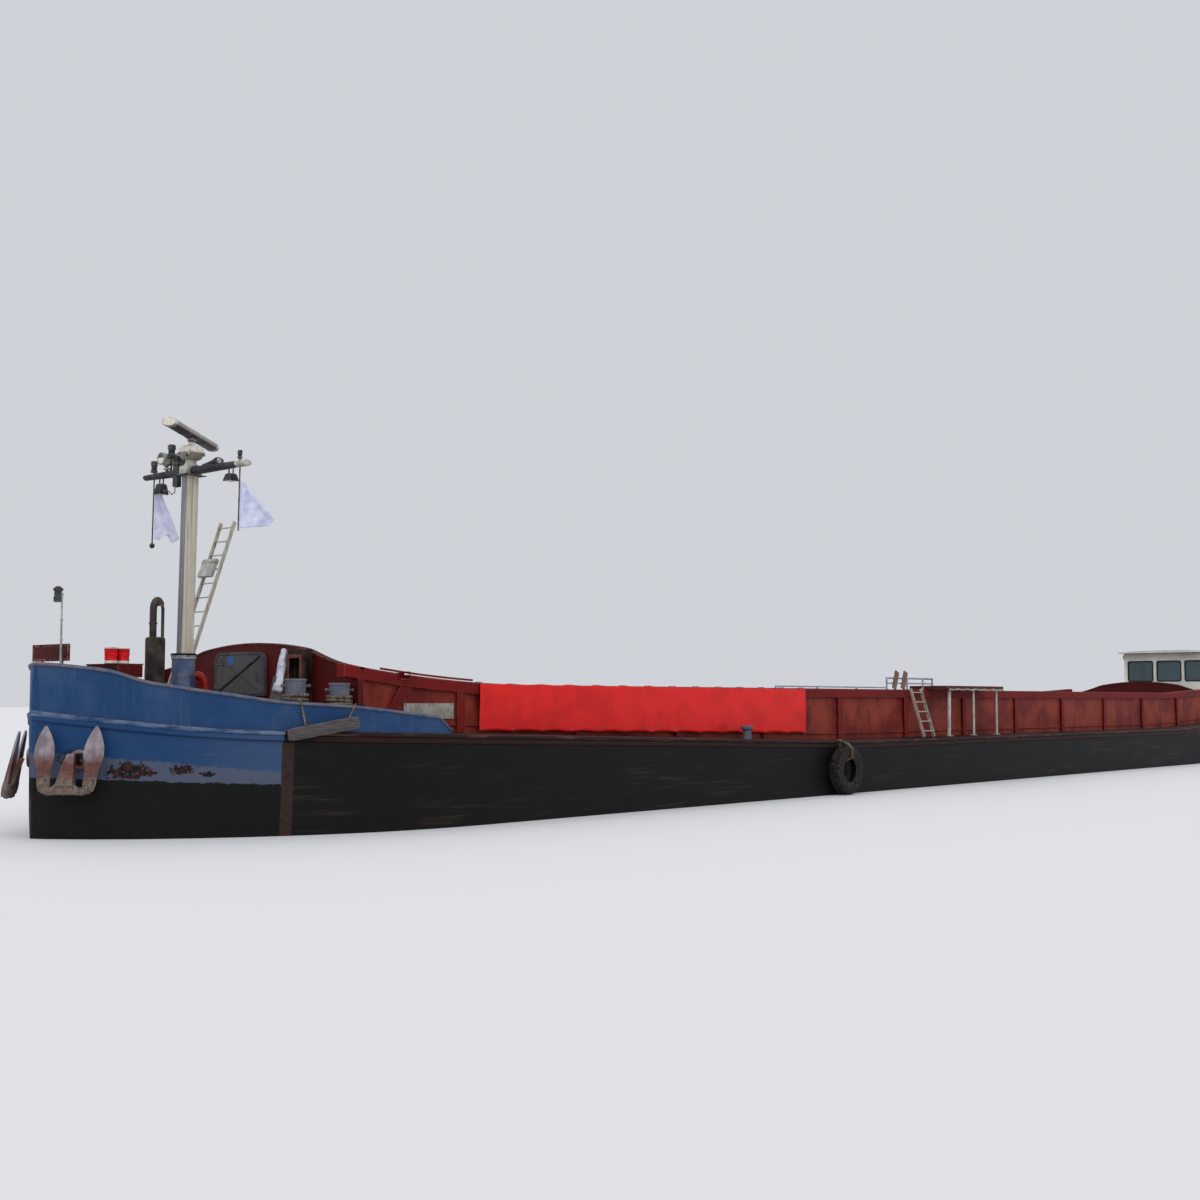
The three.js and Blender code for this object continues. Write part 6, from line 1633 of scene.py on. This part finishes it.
# The hold's floor is a steel plate, scoured by use. It keeps its plain shape and gets the finish of worn
# plate, with clouds of dull rust and bright scratches running fore and aft.
floor_plate = Coat("hold_floor_steel", 0.3)
plate_grain = floor_plate.grain(0.05, 7, 0.68)
plate_tone = floor_plate.over((112, 98, 90), (86, 62, 52), floor_plate.step(
    floor_plate.grain(0.9, 4), 0.4, 0.62))
plate_tone = floor_plate.over(plate_tone, RUST_BRIGHT, floor_plate.step(plate_grain, 0.56, 0.7, 0.8))
plate_tone = floor_plate.over(plate_tone, (150, 144, 138), floor_plate.step(
    floor_plate.grain(0.02, 5, 0.6, (30, 1, 1)), 0.62, 0.75, 0.6))
floor_plate.spread(plate_tone, 0.6, plate_grain, 0.002)
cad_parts["hold_floor"].material_slots[0].material = floor_plate.material

# The engine trunk is a low steel casing between the hold and the wheelhouse. A flat steel hatch with grab
# rails closes its opening on two strap hinges.
TRUNK_FORE, TRUNK_AFT, TRUNK_SIDE, TRUNK_TOP = -16.5, -18.6, 1.9, 3.75
HATCH_FORE, HATCH_AFT, HATCH_SIDE = -16.9, -18.1, 0.6
trunk_foot = sheer(-16.6) + 0.2
trunk = Steelwork().block(TRUNK_AFT, TRUNK_FORE, -TRUNK_SIDE, TRUNK_SIDE, trunk_foot, TRUNK_TOP)
shaft_hole = Steelwork().block(HATCH_AFT, HATCH_FORE, -HATCH_SIDE, HATCH_SIDE, TRUNK_TOP - 0.4,
                               TRUNK_TOP + 0.1)
trunk = Steelwork().take(cut_out(trunk, [shaft_hole], "trunk_casing"))
for y0, y1 in ((-TRUNK_SIDE - 0.02, -TRUNK_SIDE + 0.01), (TRUNK_SIDE - 0.01, TRUNK_SIDE + 0.02)):
    trunk.block(TRUNK_AFT - 0.01, TRUNK_FORE + 0.02, y0, y1, TRUNK_TOP - 0.06, TRUNK_TOP + 0.004)
trunk.block(TRUNK_FORE - 0.01, TRUNK_FORE + 0.02, -TRUNK_SIDE, TRUNK_SIDE, TRUNK_TOP - 0.06,
            TRUNK_TOP + 0.004)
for x in (-16.9, -17.55, -18.2):
    for side in (-1, 1):
        trunk.turned((x, side * (TRUNK_SIDE - 0.01), 3.42),
                     [(0, 0.13), (0.03, 0.13), (0.032, 0.1), (0.02, 0.09)], (0, side, 0), 28)
fit(trunk, "engine_trunk_casing", wall_paint, "hull", "oxide_paint", ["engine_trunk"], bevel=0.006)
lid_work = Steelwork().block(HATCH_AFT - 0.06, HATCH_FORE + 0.06, -HATCH_SIDE - 0.06, HATCH_SIDE + 0.06,
                             TRUNK_TOP + 0.014, TRUNK_TOP + 0.058)
lid_work.pipe([(HATCH_AFT - 0.03, y, TRUNK_TOP + 0.058) for y in (-HATCH_SIDE, HATCH_SIDE)]
              + [(HATCH_FORE + 0.03, y, TRUNK_TOP + 0.058) for y in (HATCH_SIDE, -HATCH_SIDE)],
              0.01, 8, True)
for y in (-0.35, 0.35):
    lid_work.block(HATCH_AFT - 0.06, HATCH_AFT + 0.5, y - 0.04, y + 0.04, TRUNK_TOP + 0.05, TRUNK_TOP + 0.07)
    lid_work.pipe([(-17.05, y - 0.12, TRUNK_TOP + 0.05), (-17.05, y - 0.12, TRUNK_TOP + 0.072),
                   (-17.05, y + 0.12, TRUNK_TOP + 0.072), (-17.05, y + 0.12, TRUNK_TOP + 0.05)], 0.008, 8)
fit(lid_work, "engine_hatch_lid", door_paint, "hatch_lid", "grey_paint", ["engine_hatch"], bevel=0.005)

# The wheelhouse is built of white painted steel plate, with glass set in black rubber all round. A dark
# grab rail runs along each side below the windows.
HOUSE_FORE, HOUSE_AFT, HOUSE_SIDE, HOUSE_WALL = -18.9, -21.9, 1.7, 0.07
HOUSE_TOP, HOUSE_SILL, HOUSE_HEAD = 5.3, 4.25, 5.0
house_foot = sheer(HOUSE_AFT) + 0.07
DOOR_FORE_X, DOOR_AFT_X, DOOR_TOP, DOOR_PANE_TOP, LEVER_X = -19.9, -20.7, 5.05, 4.95, -20.62
house_white = weathered("house_white", (214, 212, 206), (190, 188, 182), rust=0.2, runs=0.3,
                        worn=(150, 120, 100), cloud=0.5, run_paint=(140, 112, 92))
rubber = Coat("window_rubber")
rubber.spread(rubber.over((26, 26, 27), (48, 47, 46), rubber.grain(0.02)), 0.75)
pane = Coat("window_glass")
pane.shader.inputs["Transmission Weight"].default_value = 0.75
pane.shader.inputs["IOR"].default_value = 1.45
pane.spread(pane.over((120, 140, 146), (96, 116, 124), pane.grain(0.4)),
            pane.step(pane.grain(0.05), 0.3, 0.8, 0.12))
PANES_ACROSS = [(-1.55, -0.6), (-0.45, 0.45), (0.6, 1.55)]
PANES_ALONG = [(-19.75, -19.1), (-21.7, -20.85)]


def rounded_opening(spot, a, b, low, high, corner=0.07):
    """A closed line round a window. Spot turns (along, up) into a point on the wall."""
    line = []
    for along_mid, up_mid, start in ((b - corner, high - corner, 0), (a + corner, high - corner, 90),
                                     (a + corner, low + corner, 180), (b - corner, low + corner, 270)):
        for k in range(5):
            angle = math.radians(start + 22.5 * k)
            line.append(spot(along_mid + corner * math.cos(angle), up_mid + corner * math.sin(angle)))
    return line


def set_glass(frames, glass, spot, inward, a, b, low=HOUSE_SILL, high=HOUSE_HEAD):
    """Adds a window's rubber and its pane."""
    frames.pipe(rounded_opening(spot, a, b, low, high), 0.022, 10, True)
    lift = Vector(inward) * 0.012
    glass.slab([Vector(p) + Vector(inward) * 0.024
                for p in rounded_opening(spot, a + 0.005, b - 0.005, low + 0.005, high - 0.005)], lift)


def window_hole(across, a, b, at, low=HOUSE_SILL, high=HOUSE_HEAD):
    if across:
        return Steelwork().slab(rounded_opening(lambda y, z: (at - 0.2, y, z), a, b, low, high), (0.4, 0, 0))
    return Steelwork().slab(rounded_opening(lambda x, z: (x, at - 0.2, z), a, b, low, high), (0, 0.4, 0))


frames, glass = Steelwork(), Steelwork()
for name, x0, face, inward in (("front", HOUSE_FORE - HOUSE_WALL, HOUSE_FORE, -1),
                               ("back", HOUSE_AFT, HOUSE_AFT, 1)):
    wall = Steelwork().block(x0, x0 + HOUSE_WALL, -HOUSE_SIDE, HOUSE_SIDE, house_foot, HOUSE_TOP)
    wall = cut_out(wall, [window_hole(True, a, b, face) for a, b in PANES_ACROSS], "house_" + name)
    work = Steelwork().take(wall)
    trim = face - inward * 0.004
    work.block(min(face, trim - inward * 0.008), max(face, trim - inward * 0.008), -HOUSE_SIDE, HOUSE_SIDE,
               house_foot + 0.02, house_foot + 0.07)
    fit(work, "house_" + name, house_white, "hull", "white_paint", ["wheelhouse_" + name], bevel=0.006)
    for a, b in PANES_ACROSS:
        set_glass(frames, glass, lambda y, z, x=face: (x, y, z), (inward, 0, 0), a, b)
inner_fore, inner_aft = HOUSE_FORE - HOUSE_WALL - 0.001, HOUSE_AFT + HOUSE_WALL + 0.001
side_wall = Steelwork().block(inner_aft, inner_fore, HOUSE_SIDE - HOUSE_WALL, HOUSE_SIDE, house_foot,
                              HOUSE_TOP)
side_holes = [window_hole(False, a, b, HOUSE_SIDE) for a, b in PANES_ALONG]
side_holes.append(Steelwork().block(DOOR_AFT_X, DOOR_FORE_X, HOUSE_SIDE - 0.2, HOUSE_SIDE + 0.2,
                                    house_foot + 0.15, DOOR_TOP))
side_wall = Steelwork().take(cut_out(side_wall, side_holes, "house_side"))
fit_pair(side_wall, "house_", house_white, "white_paint", "wheelhouse_", bevel=0.006)
side_frames, side_glass = Steelwork(), Steelwork()
for a, b in PANES_ALONG:
    set_glass(side_frames, side_glass, lambda x, z: (x, HOUSE_SIDE, z), (0, -1, 0), a, b)
for work, half in ((frames, side_frames), (glass, side_glass)):
    for part in (half, half.mirror()):
        work.take(part.mesh("window_half"))
rails = Steelwork()
for a, b in ((inner_aft + 0.1, DOOR_AFT_X - 0.12), (DOOR_FORE_X + 0.12, inner_fore - 0.1)):
    rails.pipe([(a, HOUSE_SIDE - 0.01, 4.1), (a, HOUSE_SIDE + 0.06, 4.1), (b, HOUSE_SIDE + 0.06, 4.1),
                (b, HOUSE_SIDE - 0.01, 4.1)], 0.014, 10)
frames.take(rails.mesh("grab_rails")).take(rails.mirror().mesh("grab_rails"))
fit(frames, "window_rubbers", rubber.material, "hull", "black_paint")
fit(glass, "window_panes", pane.material, "hull", "grey_paint")

# Each side door is a white steel leaf hung outside its doorway, on two hinges at its fore edge. It has a
# window in black rubber, a raised panel below that, and a lever.
for name, sign in (("port", 1), ("starboard", -1)):
    leaf = Steelwork().block(DOOR_AFT_X - 0.04, DOOR_FORE_X + 0.04, HOUSE_SIDE + 0.012, HOUSE_SIDE + 0.05,
                             house_foot + 0.13, DOOR_TOP + 0.03)
    hole = window_hole(False, DOOR_AFT_X + 0.08, DOOR_FORE_X - 0.08, HOUSE_SIDE, HOUSE_SILL, DOOR_PANE_TOP)
    leaf = Steelwork().take(cut_out(leaf, [hole], "door_leaf"))
    leaf.pipe([(LEVER_X, HOUSE_SIDE + 0.045, 4.08), (LEVER_X, HOUSE_SIDE + 0.085, 4.08),
               (LEVER_X + 0.14, HOUSE_SIDE + 0.09, 4.08)], 0.011, 10)
    for z in (house_foot + 0.35, DOOR_TOP - 0.2):
        leaf.bar((DOOR_FORE_X + 0.045, HOUSE_SIDE + 0.05, z),
                 (DOOR_FORE_X + 0.045, HOUSE_SIDE + 0.05, z + 0.1), 0.014, 12)
    leaf.block(-20.56, -20.04, HOUSE_SIDE + 0.048, HOUSE_SIDE + 0.054, house_foot + 0.28, 4.02)
    door_frame, door_glass = Steelwork(), Steelwork()
    set_glass(door_frame, door_glass, lambda x, z: (x, HOUSE_SIDE + 0.05, z), (0, -1, 0), DOOR_AFT_X + 0.08,
              DOOR_FORE_X - 0.08, HOUSE_SILL, DOOR_PANE_TOP)
    made = [(leaf, "house_door_", house_white, "white_paint"),
            (door_frame, "door_rubber_", rubber.material, "black_paint"),
            (door_glass, "door_pane_", pane.material, "grey_paint")]
    for work, label, coat, slot in made:
        fit(work if sign > 0 else work.mirror(), label + name, coat, "door_" + name, slot,
            ["wheelhouse_door_" + name] if label == "house_door_" else ())

# The wheelhouse roof is a crowned steel panel with a rolled rim. Just below it a red and a green side lamp
# stand on steel brackets at the house's fore corners.
ROOF_FOOT, ROOF_EDGE, ROOF_SIDE = 5.302, 5.34, 1.82
roof_rings = []
for x, share in ((-22.05, 0.985), (-22.02, 1.0), (-20.3, 1.0), (-18.58, 1.0), (-18.55, 0.985)):
    half = ROOF_SIDE * share
    under = [(x, -half, ROOF_FOOT), (x, half, ROOF_FOOT), (x, half, ROOF_EDGE)]
    crown = [(x, half * (1 - k / 8), ROOF_EDGE + 0.058 * math.sin(math.pi / 2 * min(1, k / 6)) * share)
             for k in range(1, 9)]
    crown += [(x, -y, z) for _, y, z in reversed(crown[:-1])]
    roof_rings.append(under + crown + [(x, -half, ROOF_EDGE)])
fit(Steelwork().skin(roof_rings), "house_roof", house_white, "hull", "white_paint", ["wheelhouse_roof"],
    bevel=0.008)
side_lamp = Coat("side_lamp")
lamp_tone = side_lamp.over((24, 120, 60), (190, 28, 30), side_lamp.step(side_lamp.y, -0.1, 0.1))
side_lamp.spread(side_lamp.over(lamp_tone, (40, 40, 40), side_lamp.step(side_lamp.z, 2.608, 2.61)), 0.25,
                 side_lamp.grain(0.02), 0.0003)
lamp_pair = Steelwork()
for sign in (-1, 1):
    lamp_pair.turned((HOUSE_FORE - 0.14, sign * (HOUSE_SIDE + 0.055), 5.1), [
        (0, 0.03), (0.004, 0.045), (0.03, 0.045), (0.032, 0.036), (0.1, 0.036), (0.102, 0.045),
        (0.14, 0.045), (0.15, 0.02),
    ], sides=20)
    lamp_pair.block(HOUSE_FORE - 0.2, HOUSE_FORE - 0.08, sign * (HOUSE_SIDE + 0.03) - 0.032,
                    sign * (HOUSE_SIDE + 0.03) + 0.032, 5.085, 5.1)
fit(lamp_pair, "side_lamps", side_lamp.material, "hull", "red_plastic", bevel=0.002)

# Inside, the helm is a grey console of sheet steel with a sloped top. A spoked wheel turns on a short shaft
# on its after side, and two throttle levers stand on its top.
HELM_X, WHEEL_X, WHEEL_Z, WHEEL_RADIUS = -19.15, -19.62, 3.9, 0.315
console = Steelwork().slab([(HELM_X, -0.8, house_foot), (HELM_X - 0.35, -0.8, house_foot),
                            (HELM_X - 0.35, -0.8, 3.82), (HELM_X - 0.14, -0.8, 3.95), (HELM_X, -0.8, 3.95)],
                           (0, 1.6, 0))
console.bar((HELM_X - 0.3, 0, WHEEL_Z), (WHEEL_X - 0.02, 0, WHEEL_Z), 0.035, 16)
console.pipe([(WHEEL_X, WHEEL_RADIUS * math.cos(a), WHEEL_Z + WHEEL_RADIUS * math.sin(a))
              for a in around(40)], 0.02, 12, True)
for angle in around(6):
    console.bar((WHEEL_X, 0.04 * math.cos(angle), WHEEL_Z + 0.04 * math.sin(angle)),
                (WHEEL_X, 0.31 * math.cos(angle), WHEEL_Z + 0.31 * math.sin(angle)), 0.013, 10)
for y in (0.5, 0.58):
    console.bar((HELM_X - 0.16, y, 3.93), (HELM_X - 0.12, y, 4.1), 0.008, 8)
    console.turned((HELM_X - 0.122, y, 4.09), [(0, 0.01), (0.01, 0.022), (0.03, 0.022), (0.04, 0.01)],
                   sides=12)
fit(console, "helm_console", post_paint, "hull", "grey_paint", ["helm"], bevel=0.006)

# Behind the wheelhouse the crew's cabin is a white deckhouse with rounded after corners, round windows, a
# half-round guard along its roof edge and a sliding hatch on top.
CABIN_FORE, CABIN_AFT, CABIN_SIDE, CABIN_ROUND, CABIN_TOP, PORTHOLE_Z = -22.15, -25.6, 2.1, 1.0, 4.0, 3.6
cabin_foot = sheer(CABIN_AFT) + 0.06


def cabin_line(z, grow=0.0):
    line = [(CABIN_FORE + grow, -CABIN_SIDE - grow, z), (CABIN_FORE + grow, CABIN_SIDE + grow, z)]
    for middle, start in ((CABIN_SIDE - CABIN_ROUND, 90), (-CABIN_SIDE + CABIN_ROUND, 180)):
        for k in range(13):
            angle = math.radians(start + 7.5 * k)
            line.append((CABIN_AFT + CABIN_ROUND + (CABIN_ROUND + grow) * math.cos(angle),
                         middle + (CABIN_ROUND + grow) * math.sin(angle), z))
    return line


deckhouse = Steelwork().skin([cabin_line(z, g) for z, g in (
    (cabin_foot, 0.0), (3.9, 0.0), (3.905, 0.018), (3.945, 0.022), (3.985, 0.012),
    (CABIN_TOP - 0.002, -0.04),
)])
deckhouse.block(-23.2, -22.5, -0.35, 0.35, CABIN_TOP - 0.01, CABIN_TOP + 0.035)
for y in (-0.38, 0.38):
    deckhouse.block(-24.0, -22.45, y - 0.02, y + 0.02, CABIN_TOP - 0.01, CABIN_TOP + 0.02)
fit(deckhouse, "cabin_deckhouse", house_white, "hull", "white_paint", ["cabin"], bevel=0.004)
port_spots = []
for sign in (-1, 1):
    port_spots += [((x, sign * CABIN_SIDE, PORTHOLE_Z), (math.pi / 2, 0, 0), PLAIN)
                   for x in (-22.8, -23.6, -24.4)]
port_spots += [((CABIN_AFT, y, PORTHOLE_Z), (0, math.pi / 2, 0), PLAIN) for y in (-0.8, 0.8)]
portholes = Steelwork().take(repeated("porthole_rings", "ring", port_spots, bare_alloy, Radius=0.13,
                                      Thickness=0.02))
fit(portholes, "porthole_rings", bare_alloy, "hull", "galvanised")
discs = Steelwork()
for (x, y, z), turn, _ in port_spots:
    way = (0, math.copysign(1, y), 0) if turn[0] else (-1, 0, 0)
    discs.turned(Vector((x, y, z)) - Vector(way) * 0.004, [(0, 0.128), (0.009, 0.128), (0.012, 0.1)],
                 way, 28)
fit(discs, "porthole_glass", pane.material, "hull", "grey_paint")

# Below the counter a welded steel skeg carries the stern tube, the rudder's heel and the gland of its stock.
# It is tarred like the hull.
tar_coat = weathered("tar_coat", (30, 26, 25), (48, 40, 37), rust=0.4, runs=0.3,
                     worn=(92, 66, 52), cloud=0.4)
SHAFT_Z, SHAFT_MOUTH, RUDDER_STOCK = 0.82, -24.6, -26.05
skeg_line = [(-21.6, 0.005), (-26.25, 0.005), (-26.25, 0.14), (-24.35, 0.14)]
skeg_line += [(x, keel(x) + 0.02) for x in (-24.35, -24.0, -23.5, -23.0, -22.5, -22.1, -21.75)]
skeg_work = Steelwork().skin([[(x, y, z) for x, z in skeg_line] for y in (-0.07, 0.07)])
skeg_work.turned((-24.15, 0, SHAFT_Z), [
    (0, 0.02), (0, 0.13), (0.1, 0.125), (0.3, 0.105), (0.4, 0.105), (0.41, 0.12), (0.44, 0.12),
    (0.449, 0.11), (0.449, 0.02),
], (-1, 0, 0), 32)
skeg_work.turned((RUDDER_STOCK, 0, 0.06), [(0, 0.1), (0.09, 0.1), (0.1, 0.085)], sides=24)
sleeve(skeg_work, RUDDER_STOCK, 0, [
    (0.088, 1.56), (0.14, 1.56), (0.15, 1.58), (0.15, 1.76), (0.088, 1.76),
], 28)
fit(skeg_work, "skeg_plate", tar_coat, "hull", "tar_paint", ["skeg"], bevel=0.008)

# The four-bladed bronze propeller is cast in one piece, with twisted blades and a cone on its hub. It sits
# on the end of the shaft behind the stern tube.
bronze = Coat("propeller_bronze", 0.85)
bronze_grain = bronze.grain(0.03, 6, 0.65)
bronze_tone = bronze.over((178, 132, 72), (96, 88, 60), bronze.step(bronze_grain, 0.42, 0.66))
bronze_tone = bronze.over(bronze_tone, (66, 102, 84), bronze.step(bronze.grain(0.09, 6), 0.55, 0.7, 0.6))
bronze.spread(bronze_tone, 0.38, bronze_grain, 0.0008)
screw_x = SHAFT_MOUTH - 0.012
screw = Steelwork().turned((screw_x, 0, SHAFT_Z), [
    (0, 0.02), (0.001, 0.11), (0.02, 0.125), (0.18, 0.13), (0.24, 0.115), (0.28, 0.08), (0.3, 0.03),
], (-1, 0, 0), 36)
for k in range(4):
    blade = []
    for share in (0.0, 0.08, 0.2, 0.35, 0.5, 0.65, 0.8, 0.9, 0.96, 1.0):
        radius = 0.09 + 0.51 * share
        chord = 0.1 + 0.19 * math.sin(math.pi * min(1.0, 0.08 + 0.86 * share)) ** 0.8
        chord *= 1.0 if share < 1 else 0.5
        twist = math.radians(62 - 34 * share)
        thick = 0.022 * (1 - 0.75 * share)
        ring = []
        for angle in around(20):
            s, t = 0.5 * chord * math.cos(angle), thick * math.sin(angle)
            along_x = s * math.sin(twist) + t * math.cos(twist)
            along_y = s * math.cos(twist) - t * math.sin(twist)
            ring.append((screw_x - 0.14 + along_x, along_y, radius))
        blade.append(ring)
    before = len(screw.points)
    screw.skin(blade)
    screw.place(Matrix.Translation((0, 0, SHAFT_Z)) @ Matrix.Rotation(math.tau * k / 4, 4, "X"), before)
fit(screw, "propeller_casting", bronze.material, "screw", "bronze", ["propeller"], crease=50)

# The rudder is a hollow blade of steel plate with a streamlined section. Two flat bands are welded across
# it to the round stock that turns it.
RUDDER_FORE, RUDDER_AFT, RUDDER_FOOT, RUDDER_HEAD = -25.72, -26.95, 0.17, 1.5
rudder_work = Steelwork()
blade_rings = []
for z, swell in ((RUDDER_FOOT, 0.9), (RUDDER_FOOT + 0.02, 1.0), (0.8, 1.0), (RUDDER_HEAD - 0.02, 1.0),
                 (RUDDER_HEAD, 0.9)):
    face = []
    for k in range(13):
        share = k / 12
        arch = math.sqrt(max(0.0, 4 * share * (1 - share))) ** 0.8
        half = 0.062 * swell * arch * (1 - 0.35 * share) + 0.008
        face.append((RUDDER_FORE + (RUDDER_AFT - RUDDER_FORE) * share, half, z))
    blade_rings.append(face + [(x, -y, z) for x, y, z in reversed(face)])
rudder_work.skin(blade_rings)
rudder_work.turned((RUDDER_STOCK, 0, RUDDER_FOOT),
                   [(0, 0.07), (0.06, 0.07), (0.07, 0.05), (1.3, 0.05), (1.31, 0.07), (1.45, 0.07)],
                   sides=28)
for z in (0.45, 1.1):
    rudder_work.slab([(RUDDER_STOCK + 0.08, -0.07, z), (RUDDER_STOCK - 0.75, -0.02, z),
                      (RUDDER_STOCK - 0.75, 0.02, z), (RUDDER_STOCK + 0.08, 0.07, z)], (0, 0, 0.05))
fit(rudder_work, "rudder_plating", tar_coat, "rudder_blade", "tar_paint", ["rudder"], crease=45)
